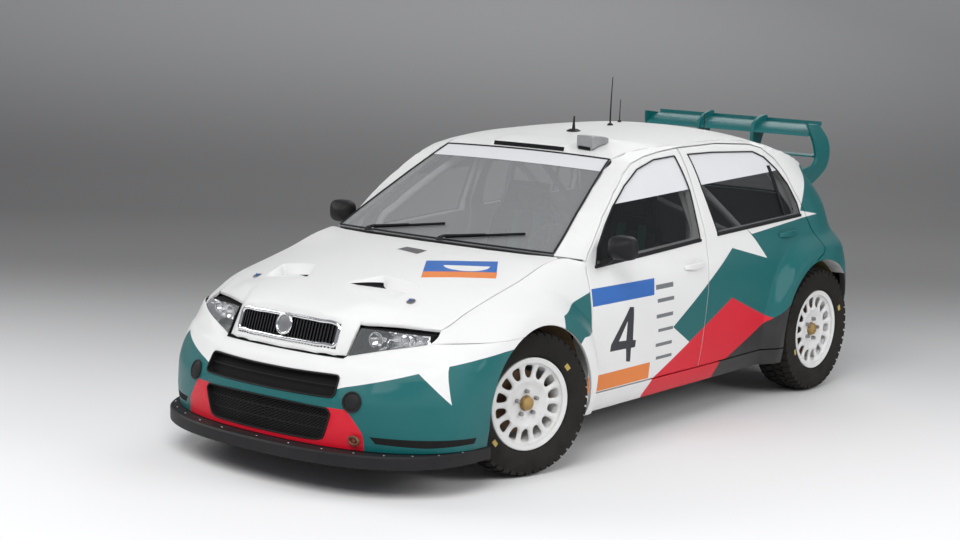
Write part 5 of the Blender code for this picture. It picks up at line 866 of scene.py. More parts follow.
def sheet(outline: Array, holes: Sequence[Array], lines: Sequence[Array], step: float) -> tuple[Array, Array]:
    """Even triangles over a flat outline with holes, with the given lines kept as edges.

    Args:
        outline: closed outer loop.
        holes: closed inner loops.
        lines: open lines.
        step: length of a triangle's side.

    Returns:
        The flat points and the triangles.
    """
    loops = [dense(loop, step) for loop in (outline, *holes)]
    paths = [dense(line, step, closed=False) for line in lines]
    points, edges = [], []
    for rows, closed in [*((loop, True) for loop in loops), *((path, False) for path in paths)]:
        first, count = len(points), len(rows)
        points += list(rows)
        edges += [(first + i, first + (i + 1) % count) for i in range(count if closed else count - 1)]
    low, high = loops[0].min(axis=0), loops[0].max(axis=0)
    rows = np.arange(low[1] + step / 2, high[1], step * math.sqrt(3) / 2)
    grid = np.array([(x + (step / 2 if j % 2 else 0), y) for j, y in enumerate(rows)
                     for x in np.arange(low[0], high[0], step)])
    if len(grid):
        keep = inside(loops[0], grid)
        for loop in loops[1:]:
            keep &= ~inside(loop, grid)
        grid = grid[keep]
        for rows, closed in [*((loop, True) for loop in loops), *((path, False) for path in paths)]:
            if len(grid):
                grid = grid[distance(rows, grid, closed) > step * 0.42]
        points += list(grid)
    result = delaunay_2d_cdt([Vector(p) for p in points], edges, [], 0, 1e-6)
    flat = np.array([tuple(p) for p in result[0]])
    faces = np.array([f for f in result[2] if len(f) == 3])
    middle = flat[faces].mean(axis=1)
    keep = inside(loops[0], middle)
    for loop in loops[1:]:
        keep &= ~inside(loop, middle)
    faces = faces[keep]
    used = np.unique(faces)
    new = np.full(len(flat), -1)
    new[used] = np.arange(len(used))
    return flat[used], new[faces]


@dataclass
class Panel:
    """Closed pressed panel over a flat sheet: outer and inner skin, painted fields and eased edges."""
    name: str
    outline: Array
    outer: Surface
    inner: Surface
    finish: Finish
    body: str = "body"
    holes: Sequence[Array] = ()
    folds: Sequence[Array] = ()
    fields: Sequence[tuple[Finish, Array]] = ()
    back: Optional[Finish] = None
    replaces: Sequence[str] = ()
    step: float = 0.024
    ease: float = 0.0025
    sharp: float = 35.0
    edge: Optional[Finish] = None

    def make(self) -> bpy.types.Object:
        """Build the panel: outer(p) and inner(p) over one sheet, walls round the edges, each face painted.

        Returns:
            The panel's object.
        """
        lines = [np.asarray(line, float) for line in self.folds]
        if self.ease:
            lines += [self.loop(inset(dense(self.outline, self.step), self.ease))]
            lines += [self.loop(inset(dense(hole, self.step), -self.ease)) for hole in self.holes]
        lines += [self.loop(area) for _, area in self.fields]
        flat, faces = sheet(self.outline, self.holes, lines, self.step)
        count = len(flat)
        out, into = self.outer(flat), self.inner(flat)
        sides = np.sort(np.vstack([faces[:, [0, 1]], faces[:, [1, 2]], faces[:, [2, 0]]]), axis=1)
        rows, found = np.unique(sides, axis=0, return_counts=True)
        rim = np.unique(rows[found == 1])
        wall = np.linalg.norm(into[rim] - out[rim], axis=1)[:, None]
        out[rim] += (into[rim] - out[rim]) * np.minimum(self.ease / np.maximum(wall, 1e-9), 0.4)
        single = {tuple(row) for row in rows[found == 1]}
        edges = [(a, b) for face in faces.tolist() for a, b in zip(face, face[1:] + face[:1])
                 if (min(a, b), max(a, b)) in single]
        walls = [(a, a + count, b + count, b) for a, b in edges]
        finishes: list[Finish] = [self.finish]
        middle = flat[faces].mean(axis=1)
        paint = np.zeros(len(faces), int)
        for finish, area in self.fields:
            if finish not in finishes:
                finishes.append(finish)
            paint[inside(np.asarray(area, float), middle)] = finishes.index(finish)
        back = self.back or self.finish
        if back not in finishes:
            finishes.append(back)
        edge = self.edge or self.finish
        if edge not in finishes:
            finishes.append(edge)
        slots = [*paint, *[finishes.index(back)] * len(faces), *[finishes.index(edge)] * len(walls)]
        rows_all = [*faces.tolist(), *(faces[:, ::-1] + count).tolist(), *walls]
        return BENCH.piece(self.name, (np.vstack([out, into]), rows_all), self.finish, self.body,
                           finishes[1:], slots, self.replaces, self.sharp)

    @staticmethod
    def loop(area: Sequence[Sequence[float]]) -> Array:
        """An area's outline as a line that ends where it starts."""
        points = np.asarray(area, float)
        return np.vstack([points, points[:1]])


# Shapes of the body as shares of its length, half width and height
# columns: half width, place along the car, height of two corners
MIRROR_BOX_SHARES = (
    (0.9029, -0.1399, 0.6475), (1.0629, -0.1174, 0.7266),
)
DASH_BOX_SHARES = (
    (-0.6400, -0.1584, 0.5036), (0.6400, -0.1000, 0.6331),
)
ROOF_VENT_SHARES = (
    (0.3000, -0.0125, 0.9899), (0.4057, 0.0250, 1.0050),
)
AERIAL_SHARES = (
    (0.0000, 0.1502, 1.1784),
)
# columns: half width, place along the car, height of the roll cage's bends
CAGE_SHARES = (
    (0.6400, 0.1199, 0.1727), (0.6743, 0.1199, 0.6187), (0.5943, 0.1199, 0.8489),
    (0.5029, 0.1199, 0.9281), (0.5029, -0.0050, 0.9029), (0.6400, -0.1000, 0.7338),
    (0.6743, -0.1349, 0.6187), (0.6743, -0.1449, 0.1727), (0.6400, 0.3113, 0.5158),
)
# columns: height, half width
SIDE_SHARES = (
    (0.1079, 0.8743), (0.1439, 0.8891), (0.2086, 0.9177), (0.3237, 0.9280), (0.4317, 0.9280),
    (0.5396, 0.9143), (0.6187, 0.8857), (0.6763, 0.8629), (0.7194, 0.8400), (0.7914, 0.8000),
    (0.8633, 0.7543), (0.9353, 0.6914), (0.9604, 0.6606), (0.9784, 0.6343),
)
# columns: height, where the straight side ends, nose on the centre line
NOSE_SHARES = (
    (0.0935, -0.3576, -0.4820), (0.1439, -0.3576, -0.4820), (0.2770, -0.3451, -0.4825),
    (0.3568, -0.3348, -0.4705), (0.3942, -0.3248, -0.4628), (0.4129, -0.3201, -0.4528),
    (0.4619, -0.3076, -0.4423), (0.5036, -0.2851, -0.4325), (0.5612, -0.2749, -0.4223),
)
# columns: height, where the straight side ends, tail on the centre line
TAIL_SHARES = (
    (0.1439, 0.3573, 0.4910), (0.2518, 0.3621, 0.4973), (0.3597, 0.3648, 0.5000),
    (0.4532, 0.3621, 0.4968), (0.5252, 0.3581, 0.4898), (0.5971, 0.3548, 0.4843),
    (0.6906, 0.3498, 0.4760), (0.7914, 0.3298, 0.4473), (0.8633, 0.3048, 0.4178),
    (0.9065, 0.2874, 0.3998),
)
# columns: place along the car, half width, height of the line where fender and hood meet
HOOD_SHUT_SHARES = (
    (-0.3851, 0.7623, 0.4978), (-0.3786, 0.7714, 0.5043), (-0.3526, 0.7863, 0.5374),
    (-0.3208, 0.7920, 0.5655), (-0.2616, 0.7920, 0.6086), (-0.2071, 0.7886, 0.6532),
    (-0.1862, 0.8000, 0.6604), (-0.1579, 0.8651, 0.6424),
)
# columns: half width, place of the hood's rear edge
HOOD_REAR_SHARES = (
    (0.0000, -0.2214), (0.2286, -0.2189), (0.4114, -0.2139), (0.6286, -0.2014), (0.7749, -0.1879),
)
# columns: half width, height
BUMPER_TOP_SHARES = (
    (0.0000, 0.4043), (0.3989, 0.4043),
)
LAMP_FOOT_SHARES = (
    (0.4091, 0.4115), (0.5714, 0.4360), (0.7680, 0.4619),
)
UPPER_INTAKE_SHARES = (
    (0.1143, 0.2950), (0.4229, 0.2964), (0.4389, 0.3058), (0.4320, 0.3525), (0.4171, 0.3612),
    (0.1143, 0.3576),
)
LOWER_INTAKE_SHARES = (
    (0.1143, 0.1597), (0.3429, 0.1612), (0.3829, 0.1698), (0.4229, 0.2482), (0.4000, 0.2647),
    (0.1143, 0.2676),
)
LAMP_TOP_SHARES = (
    (0.7486, 0.4835), (0.5143, 0.4914), (0.4160, 0.4921),
)
# columns: half width, place of the hood's front edge, its height, place of the nose's foot
HOOD_FRONT_SHARES = (
    (0.0000, -0.4398, 0.5309, -0.4543), (0.2286, -0.4385, 0.5266, -0.4528),
    (0.3314, -0.4353, 0.5194, -0.4493), (0.4000, -0.4240, 0.5094, -0.4448),
    (0.5143, -0.4128, 0.5079, -0.4335), (0.7589, -0.3838, 0.5000, -0.4048),
)
# columns: place along the car, height of the hood on the centre line
HOOD_CREST_SHARES = (
    (-0.4435, 0.5237), (-0.4248, 0.5540), (-0.3998, 0.5799), (-0.3748, 0.6000), (-0.3248, 0.6302),
    (-0.2749, 0.6532), (-0.2199, 0.6719), (-0.1749, 0.6799),
)
# columns: place along the car, half width, height of the windscreen's edge and the roof's edge
TOP_LINE_SHARES = (
    (-0.1869, 0.7509, 0.6662), (-0.1599, 0.7246, 0.7137), (-0.1249, 0.6834, 0.7755),
    (-0.0825, 0.6354, 0.8475), (-0.0462, 0.5943, 0.9065), (-0.0250, 0.5749, 0.9381),
    (0.0025, 0.5851, 0.9568), (0.0450, 0.6011, 0.9655), (0.0950, 0.6057, 0.9691),
    (0.1374, 0.6057, 0.9691), (0.2249, 0.6057, 0.9633), (0.2874, 0.6057, 0.9417),
    (0.3373, 0.6023, 0.9079), (0.3748, 0.5943, 0.8748), (0.4098, 0.5771, 0.8374),
)
# columns: place along the car, height of the line over the doors
DOOR_LINE_SHARES = (
    (-0.1869, 0.6187), (-0.1569, 0.6439), (-0.1324, 0.7072), (-0.1067, 0.7763), (-0.0755, 0.8424),
    (-0.0450, 0.9000), (-0.0212, 0.9295), (0.0100, 0.9460), (0.0450, 0.9554), (0.0900, 0.9612),
    (0.1749, 0.9612), (0.2499, 0.9460), (0.2731, 0.9302), (0.3248, 0.8777), (0.4098, 0.7986),
)
# columns: place along the car, height of the roof on the centre line
ROOF_CREST_SHARES = (
    (-0.0277, 0.9417), (0.0125, 0.9741), (0.0625, 0.9906), (0.1374, 0.9993), (0.2249, 0.9957),
    (0.2874, 0.9763), (0.3373, 0.9432), (0.3748, 0.9108), (0.4148, 0.8691),
)
# columns: place along the car, height
FRONT_DOOR_EDGE_SHARES = (
    (-0.1684, 0.2108), (0.0667, 0.2050), (0.0725, 0.3237), (0.0825, 0.5036), (0.0885, 0.6511),
    (0.0860, 0.8158), (0.0852, 0.9568), (0.0450, 0.9511), (0.0100, 0.9417), (-0.0212, 0.9252),
    (-0.0450, 0.8957), (-0.0755, 0.8381), (-0.1067, 0.7719), (-0.1324, 0.7029), (-0.1564, 0.6388),
)
FRONT_WINDOW_SHARES = (
    (-0.1399, 0.6259), (0.0757, 0.6518), (0.0785, 0.8165), (0.0725, 0.9367), (0.0257, 0.9324),
    (-0.0162, 0.9079), (-0.0517, 0.8619), (-0.0850, 0.8014), (-0.1062, 0.7511), (-0.1312, 0.6799),
)
REAR_DOOR_EDGE_SHARES = (
    (0.3263, 0.5122), (0.3421, 0.5281), (0.3503, 0.5482), (0.3486, 0.5892), (0.3381, 0.6518),
    (0.3298, 0.7165), (0.3206, 0.7626), (0.3111, 0.8230), (0.2956, 0.8813), (0.2731, 0.9259),
    (0.2499, 0.9417), (0.1749, 0.9568), (0.0895, 0.9568), (0.0885, 0.8158), (0.0902, 0.6511),
    (0.0840, 0.5036), (0.0740, 0.3237), (0.0682, 0.2050), (0.2324, 0.2050),
)
REAR_WINDOW_SHARES = (
    (0.1157, 0.6604), (0.3221, 0.6755), (0.3208, 0.7194), (0.3091, 0.7899), (0.2914, 0.8489),
    (0.2711, 0.8964), (0.2499, 0.9194), (0.1567, 0.9338), (0.1009, 0.9367), (0.1049, 0.8165),
)
# columns: half width, place along the car of the corners of a hood vent
VENT_SHARES = (
    (0.1280, -0.3823), (0.4480, -0.3873), (0.4754, -0.3426), (0.2377, -0.3453),
)
# columns: place along the car, height of the wing's end plate, down its rear edge and up its front edge
PLATE_REAR_SHARES = (
    (0.4575, 0.9799), (0.4760, 0.9245), (0.4818, 0.8683), (0.4778, 0.8086), (0.4610, 0.7662),
)
PLATE_FRONT_SHARES = (
    (0.4403, 0.8223), (0.4460, 0.8489), (0.4410, 0.8993), (0.4323, 0.9532), (0.4280, 0.9899),
)
# columns: place along the car, height of a wing support, up its front edge and down its rear edge
SUPPORT_SHARES = (
    (0.4298, 0.8921), (0.4298, 0.9424), (0.4335, 0.9727), (0.4498, 0.9964), (0.4678, 1.0014),
    (0.4668, 0.9676), (0.4585, 0.9209), (0.4498, 0.8633), (0.4498, 0.8165),
)
# columns: share of the seat's path, then of its run and height, of its half width and of its bolsters
SEAT_SHARES = (
    (0.00, 0.00, 0.235, 0.92, 0.5), (0.12, 0.20, 0.260, 0.96, 0.8), (0.25, 0.44, 0.225, 1.00, 0.9),
    (0.38, 0.68, 0.205, 1.00, 1.0), (0.48, 0.80, 0.280, 1.00, 1.1), (0.65, 0.86, 0.520, 0.98, 1.2),
    (0.82, 0.91, 0.760, 0.92, 0.9), (0.90, 0.93, 0.880, 0.66, 0.7), (1.00, 0.95, 1.000, 0.58, 0.6),
)
# columns: place along the car, height of the shut line between quarter panel and tailgate
TAILGATE_SHUT_SHARES = (
    (0.6857, 0.4317), (0.7086, 0.5252), (0.7086, 0.5971), (0.6857, 0.6906), (0.6400, 0.7914),
    (0.5943, 0.8633),
)
REAR_GLASS_SHARES = (
    (0.5943, 0.6906), (0.5714, 0.7626), (0.5200, 0.8043),
)


class Flare(Enum):
    """Which wheel a panel stands out round."""
    NONE = 0
    FRONT = 1
    REAR = 2


class End(Enum):
    """An end of the car."""
    FRONT = "front"
    REAR = "rear"


@dataclass
class Hull:
    """Surfaces of the left side of the body over flat parameters, in metres."""
    length: float = 4.002
    half_width: float = 0.875
    height: float = 1.390
    front_axle_y: float = -1.068
    rear_axle_y: float = 1.360
    wheel_z: float = 0.325
    front_arch: float = 0.362
    rear_arch: float = 0.375
    flare_depth: float = 0.060
    flare_margin: float = 0.030
    flare_fade: float = 0.120
    arch_shift: float = 0.012
    skin: float = 0.014
    pane: float = 0.005
    shut_gap: float = 0.006
    seat_gap: float = 0.0003
    power: float = 2.4
    fender_roll: float = 0.130
    cabin_taper: float = 0.020
    cabin_taper_run: float = 0.900
    cabin_middle_y: float = 0.300
    corner_run: float = 0.850
    door_depth: float = 0.070
    frame_depth: float = 0.034
    pillar_depth: float = 0.026
    rebate: float = 0.028
    rebate_gap: float = 0.0137
    step_run: float = 0.004
    corner_turn: float = 0.120
    glass_lean: float = math.radians(30)
    glass_bow: float = 0.070
    glass_rise: float = 0.009
    lamp_foot_z: float = 0.735
    lamp_top_z: float = 0.945
    lamp_run: float = 0.120
    bumper_top_z: float = 0.598
    bumper_foot_z: float = 0.199
    bumper_side_z: float = 0.645
    sill_z: float = 0.200
    hood_roll: float = 0.090
    gate_depth: float = 0.045
    gate_drop: float = 0.046
    vent_depth: float = 0.050
    vent_run: float = 0.020
    scoop_half: float = 0.250
    scoop_side: float = 0.030
    scoop_front: float = -0.092
    scoop_lip: float = 0.006
    scoop_run: float = 0.260
    scoop_height: float = 0.026
    hood_foot_share: float = 0.4086
    belt_share: float = 0.6475
    gate_top_share: float = 0.8727
    taper_foot_share: float = 0.4317
    taper_top_share: float = 0.6835

    def __post_init__(self) -> None:
        """Put the tables of shares in metres."""
        half, long, high = self.half_width, self.length, self.height
        self.side_table = scaled(SIDE_SHARES, high, half)
        self.nose = scaled(NOSE_SHARES, high, long, long)
        self.tail = scaled(TAIL_SHARES, high, long, long)
        self.hood_shut = scaled(HOOD_SHUT_SHARES, long, half, high)
        self.hood_front_table = scaled(HOOD_FRONT_SHARES, half, long, high, long)
        self.hood_crest = scaled(HOOD_CREST_SHARES, long, high)
        self.hood_rear = scaled(HOOD_REAR_SHARES, half, long)
        self.roof_crest = scaled(ROOF_CREST_SHARES, long, high)
        self.top_line = scaled(TOP_LINE_SHARES, long, half, high)
        self.door_line = scaled(DOOR_LINE_SHARES, long, high)
        self.front_door = scaled(FRONT_DOOR_EDGE_SHARES, long, high)
        self.front_window = scaled(FRONT_WINDOW_SHARES, long, high)
        self.rear_edge = scaled(REAR_DOOR_EDGE_SHARES, long, high)
        self.rear_window = scaled(REAR_WINDOW_SHARES, long, high)
        self.gate_shut = scaled(TAILGATE_SHUT_SHARES, half, high)[:, ::-1]
        self.vent = scaled(VENT_SHARES, half, long)
        self.hood_foot_z = high * self.hood_foot_share
        self.belt_z = high * self.belt_share
        self.gate_top_z = high * self.gate_top_share
        arch = arc((self.rear_axle_y, self.wheel_z), self.rear_arch, 186, 98)
        self.rear_door = np.vstack([self.rear_edge[:18], arch[:-1]])
        opening = np.vstack([self.rear_edge[:13], self.front_door[6:], self.front_door[:2], arch[:-1]])
        self.seat_outline = inset(opening, -self.shut_gap)

    def flare(self, y: Array, z: Array, which: Flare) -> Array:
        """How far the panels stand out round a wheel: a smooth step of the distance to the axle.

        Args:
            y: places along the car.
            z: heights.
            which: the wheel arch or the surface meant.

        Returns:
            Width that the flare adds.
        """
        if which is Flare.NONE:
            return 0 * y
        if which is Flare.FRONT:
            beside, reach = np.maximum(0, y - self.front_axle_y), self.front_arch + self.flare_margin
        else:
            beside, reach = np.maximum(0, self.rear_axle_y - y), self.rear_arch + self.flare_margin
        return self.flare_depth * fade(np.hypot(beside, z - self.wheel_z), reach, reach + self.flare_fade)

    def side_x(self, y: Array, z: Array, which: Flare) -> Array:
        """Half width of the side: the section's curve, plus the flare, less the cabin's taper fore and aft.

        Args:
            y: places along the car.
            z: heights.
            which: the wheel arch or the surface meant.

        Returns:
            Half widths.
        """
        upper = 1 - fade(z, self.height * self.taper_foot_share, self.height * self.taper_top_share)
        front = np.clip((self.cabin_middle_y - y) / self.cabin_taper_run, 0, 1.5) ** 2
        rear = np.clip((y - self.cabin_middle_y * 2) / self.cabin_taper_run, 0, 1.5) ** 2
        return (curve(self.side_table, 1, z) + self.flare(y, z, which)
                - self.cabin_taper * upper * (front + rear / 2))

    def corner(self, t: Array) -> Array:
        """Width share left after the share t of a rounded corner: (1 - t^p)^(1/p)."""
        return (1 - np.clip(t, 0, 1) ** self.power) ** (1 / self.power)

    def hull_x(self, y: Array, z: Array, which: Flare) -> Array:
        """Half width of the side with its rounded corners front and rear.

        Args:
            y: places along the car.
            z: heights.
            which: the wheel arch or the surface meant.

        Returns:
            Half widths.
        """
        start, nose = curve(self.nose, 1, z), curve(self.nose, 2, z)
        end, tail = curve(self.tail, 1, z), curve(self.tail, 2, z)
        straight = self.side_x(np.clip(y, start, end), z, which)
        return straight * self.corner((start - y) / (start - nose)) * self.corner((y - end) / (tail - end))

    def nose_y(self, x: Array, z: Array) -> Array:
        """Place along the car of the nose at a half width and height."""
        start, nose = curve(self.nose, 1, z), curve(self.nose, 2, z)
        return start - (start - nose) * self.corner(np.abs(x) / self.side_x(start, z, Flare.FRONT))

    def tail_y(self, x: Array, z: Array) -> Array:
        """Place along the car of the tail at a half width and height."""
        end, tail = curve(self.tail, 1, z), curve(self.tail, 2, z)
        return end + (tail - end) * self.corner(np.abs(x) / self.side_x(end, z, Flare.REAR))

    def wrap(self, run: Array, z: Array, end: End) -> Array:
        """Point of a bumper's skin: the run goes from the centre line round the corner as a superellipse.

        Args:
            run: distances round the bumper from the middle.
            z: heights.
            end: front or rear end.

        Returns:
            Places over (x, y).
        """
        front = end is End.FRONT
        which, table, way = (Flare.FRONT, self.nose, -1) if front else (Flare.REAR, self.tail, 1)
        start, tip = curve(table, 1, z), curve(table, 2, z)
        share = np.abs(run) / self.corner_run
        angle = np.minimum(share, 1) * math.pi / 2
        p = 2 / self.power
        y = start + (tip - start) * np.cos(angle) ** p
        y = np.where(share > 1, start - way * (share - 1) * self.corner_run, y)
        x = self.side_x(np.where(share > 1, y, start), z, which) * np.sin(angle) ** p
        return np.column_stack([x * np.sign(run), y, z])

    def run_at_x(self, x: Array, z: Array, end: End) -> Array:
        """Run of a bumper's point with a given place across the car.

        Args:
            x: places across the car.
            z: heights.
            end: front or rear end.

        Returns:
            Runs round the bumper.
        """
        table, which = (self.nose, Flare.FRONT) if end is End.FRONT else (self.tail, Flare.REAR)
        width = self.side_x(curve(table, 1, z), z, which)
        share = np.arcsin(np.clip(np.abs(x) / width, 0, 1) ** (self.power / 2)) / (math.pi / 2)
        return np.sign(x) * share * self.corner_run

    def run_at_y(self, y: Array, z: Array, end: End) -> Array:
        """Run of a bumper's point on the left side with a given place along the car.

        Args:
            y: places along the car.
            z: heights.
            end: front or rear end.

        Returns:
            Runs round the bumper.
        """
        table, way = (self.nose, -1) if end is End.FRONT else (self.tail, 1)
        start, tip = curve(table, 1, z), curve(table, 2, z)
        beyond = way * (y - start) / abs(tip - start)
        corner = np.arccos(np.clip(beyond, 0, 1) ** (self.power / 2)) / (math.pi / 2)
        return np.where(beyond > 0, corner * self.corner_run, self.corner_run + way * (start - y))

    def bumper(self, end: End, wall: float, proud: float = 0.0) -> tuple[Surface, Surface]:
        """Outer and inner skin of a bumper over (run, height), the inner one square to the outer.

        Args:
            end: front or rear end.
            wall: thickness of the wall.
            proud: distance out of the skin.

        Returns:
            Outer and inner surface.
        """
        turn = 1 if end is End.FRONT else -1

        def at(p: Array, depth: float) -> Array:
            """The skin moved in by a depth.

            Args:
                p: points of the flat sheet, one a row.
                depth: distance in from the skin.

            Returns:
                Points in space.
            """
            small = self.corner_run / 200
            ahead = self.wrap(p[:, 0] + small, p[:, 1], end) - self.wrap(p[:, 0] - small, p[:, 1], end)
            ahead /= np.maximum(np.hypot(ahead[:, 0], ahead[:, 1]), 1e-9)[:, None]
            way = np.column_stack([-ahead[:, 1], ahead[:, 0], 0 * ahead[:, 0]])
            return self.wrap(p[:, 0], p[:, 1], end) + turn * depth * way
        return (lambda p: at(p, -proud)), (lambda p: at(p, wall))

    @staticmethod
    def roll(share: Array) -> Array:
        """How a panel's edge rolls over: 0 at its start, 1 at its end."""
        share = np.clip(share, 0, 1)
        return 0.35 * share ** 2 + 0.65 * share ** 5

    def fender_point(self, p: Array) -> Array:
        """Front fender over (y, z), rolled over to the hood's shut line.

        Args:
            p: points of the flat sheet, one a row.

        Returns:
            Points of the outer skin.
        """
        y, z = p[:, 0], p[:, 1]
        top, edge = curve(self.hood_shut, 2, y), curve(self.hood_shut, 1, y)
        share = (z - (top - self.fender_roll)) / self.fender_roll
        width = self.hull_x(y, z, Flare.FRONT)
        return np.column_stack([width - (width - edge) * self.roll(share), y, z])

    def fender_inner(self, p: Array) -> Array:
        """Inner skin of the front fender: down at the hood, backwards at the lamp.

        Args:
            p: points of the flat sheet, one a row.

        Returns:
            Points of the inner skin.
        """
        y, z = p[:, 0], p[:, 1]
        share = np.clip((z - (curve(self.hood_shut, 2, y) - self.fender_roll)) / self.fender_roll, 0, 1)
        down = share ** 2 * math.pi / 2 * (1 - fade(z, self.bumper_side_z,
                                                    self.bumper_side_z + self.skin * 2))
        lamp = curve(self.hood_shut, 0, y * 0 - self.length)
        back = fade(y, lamp, lamp + self.fender_roll) * math.pi / 2
        way = np.column_stack([-np.cos(down) * np.cos(back), np.cos(down) * np.sin(back), -np.sin(down)])
        return self.fender_point(p) + self.skin * way

    def door_wall(self, z: Array) -> Array:
        """Thickness of a door at a height: full below the belt, a slim frame round the glass.

        Args:
            z: heights.

        Returns:
            Thicknesses.
        """
        depth = self.door_depth
        return self.frame_depth + (depth - self.frame_depth) * fade(z, self.belt_z - depth,
                                                                    self.belt_z + depth)

    def door(self, which: Flare, sunk: float = 0.0, wall: Optional[float] = None) -> tuple[Surface, Surface]:
        """Outer and inner skin of a door, or of its glass, over (y, z).

        Args:
            which: the wheel arch or the surface meant.
            sunk: distance in from the skin.
            wall: thickness of the wall.

        Returns:
            Outer and inner surface.
        """
        def outer(p: Array) -> Array:
            """Outer skin."""
            return np.column_stack([self.hull_x(p[:, 0], p[:, 1], which) - sunk, p[:, 0], p[:, 1]])

        def inner(p: Array) -> Array:
            """Inner skin."""
            thick = self.door_wall(p[:, 1]) if wall is None else wall + 0 * p[:, 1]
            return outer(p) - np.column_stack([thick, 0 * thick, 0 * thick])
        return outer, inner

    def hood_edge(self, x: Array) -> tuple[Array, Array, Array]:
        """Place, height and lower end of the hood's front edge at a half width."""
        table = self.hood_front_table
        return curve(table, 1, np.abs(x)), curve(table, 2, np.abs(x)), curve(table, 3, np.abs(x))

    def vent_sink(self, x: Array, y: Array) -> Array:
        """Depth of the two hood vents, whose floors slope down to the rear.

        Args:
            x: places across the car.
            y: places along the car.

        Returns:
            Depths of the recess.
        """
        front, rear = self.vent[:2, 1].mean(), self.vent[2:, 1].mean()
        sunk = np.clip(self.signed_depth(self.vent, np.column_stack([np.abs(x), y])) / self.vent_run, 0, 1)
        return self.vent_depth * sunk * np.clip((y - front) / (rear - front), 0, 1)

    def hood_z(self, x: Array, y: Array) -> Array:
        """Height of the hood: crowned, rolled down at its front edge, carried down round the grille.

        Args:
            x: places across the car.
            y: places along the car.

        Returns:
            Heights of the hood.
        """
        crest = curve(self.hood_crest, 1, y)
        side, edge = curve(self.hood_shut, 2, y), curve(self.hood_shut, 1, y)
        z = crest - (crest - side) * (np.abs(x) / edge) ** self.power
        line, height, foot = self.hood_edge(x)
        crest_there = curve(self.hood_crest, 1, line)
        side_there, edge_there = curve(self.hood_shut, 2, line), curve(self.hood_shut, 1, line)
        there = crest_there - (crest_there - side_there) * (np.abs(x) / edge_there) ** self.power
        near = np.clip(1 - (y - line) / self.hood_roll, 0, 1)
        z = z - (there - height) * near ** 2
        drop = np.clip((line - y) / (line - foot), 0, 1)
        return np.where(y < line, height - (height - self.hood_foot_z) * drop, z - self.vent_sink(x, y))

    def hood(self, sunk: float = 0.0, wall: Optional[float] = None) -> tuple[Surface, Surface]:
        """Outer and inner skin of the hood over (x, y).

        Args:
            sunk: distance in from the skin.
            wall: thickness of the wall.

        Returns:
            Outer and inner surface.
        """
        depth = self.skin if wall is None else wall

        def way(p: Array) -> Array:
            """Way out of the skin.

            Args:
                p: points of the flat sheet, one a row.

            Returns:
                Unit normals.
            """
            line, _, foot = self.hood_edge(p[:, 0])
            tilt = math.radians(68) * (1 - fade(line - p[:, 1], -self.skin, (line - foot) / 2))
            return np.column_stack([0 * tilt, np.sin(tilt), -np.cos(tilt)])

        def outer(p: Array) -> Array:
            """Outer skin."""
            return np.column_stack([p, self.hood_z(p[:, 0], p[:, 1])]) + sunk * way(p)
        return outer, lambda p: outer(p) + depth * way(p)

    def scoop_rise(self, x: Array, y: Array) -> Array:
        """Height of the roof's scoop: steep at its mouth, fading out behind and at its sides.

        Args:
            x: places across the car.
            y: places along the car.

        Returns:
            Heights that the scoop adds.
        """
        ahead = np.clip((y - self.scoop_front) / self.scoop_lip, 0, 1)
        behind = fade(y, self.scoop_front + self.scoop_lip, self.scoop_front + self.scoop_run)
        return self.scoop_height * ahead * behind * fade(np.abs(x), self.scoop_half - self.scoop_side,
                                                         self.scoop_half)

    def roof(self, proud: float = 0.0) -> tuple[Surface, Surface]:
        """Outer and inner skin of the roof over (x, y).

        Args:
            proud: distance out of the skin.

        Returns:
            Outer and inner surface.
        """
        def plain(p: Array) -> Array:
            """The skin as the crest and the edges give it.

            Args:
                p: points of the flat sheet, one a row.

            Returns:
                Points of the skin.
            """
            crest = curve(self.roof_crest, 1, p[:, 1])
            side, edge = curve(self.top_line, 2, p[:, 1]), curve(self.top_line, 1, p[:, 1])
            z = crest - (crest - side) * np.minimum(np.abs(p[:, 0]) / edge, 1) ** self.power
            return np.column_stack([p, z])

        def outer(p: Array) -> Array:
            """Outer skin."""
            rise = self.scoop_rise(p[:, 0], p[:, 1]) + proud
            return plain(p) + np.column_stack([0 * rise, 0 * rise, rise])
        return outer, lambda p: plain(p) - (0, 0, self.skin)

    def gate_top(self, x: Array) -> Array:
        """Height of the tailgate's top edge at a half width: it drops with the square of the width."""
        share = np.abs(x) / curve(self.gate_shut, 1, 0 * x + self.height)
        return self.gate_top_z - self.gate_drop * share ** 2

    def gate(self, wall: float, sunk: float = 0.0) -> tuple[Surface, Surface]:
        """Outer and inner skin of the tailgate over (x, z), turned down at its top edge.

        Args:
            wall: thickness of the wall.
            sunk: distance in from the skin.

        Returns:
            Outer and inner surface.
        """
        def at(p: Array, depth: float) -> Array:
            """The skin moved in by a depth.

            Args:
                p: points of the flat sheet, one a row.
                depth: distance in from the skin.

            Returns:
                Points in space.
            """
            down = fade(self.gate_top(p[:, 0]) - p[:, 1], 0, self.gate_depth) * math.pi / 2
            skin = np.column_stack([p[:, 0], self.tail_y(p[:, 0], p[:, 1]), p[:, 1]])
            return skin - depth * np.column_stack([0 * down, np.cos(down), np.sin(down)])
        return lambda p: at(p, sunk), lambda p: at(p, sunk + wall)

    @staticmethod
    def signed_depth(outline: Array, p: Array) -> Array:
        """Distance to an outline, positive inside."""
        return np.where(inside(outline, p), 1, -1) * distance(outline, p)

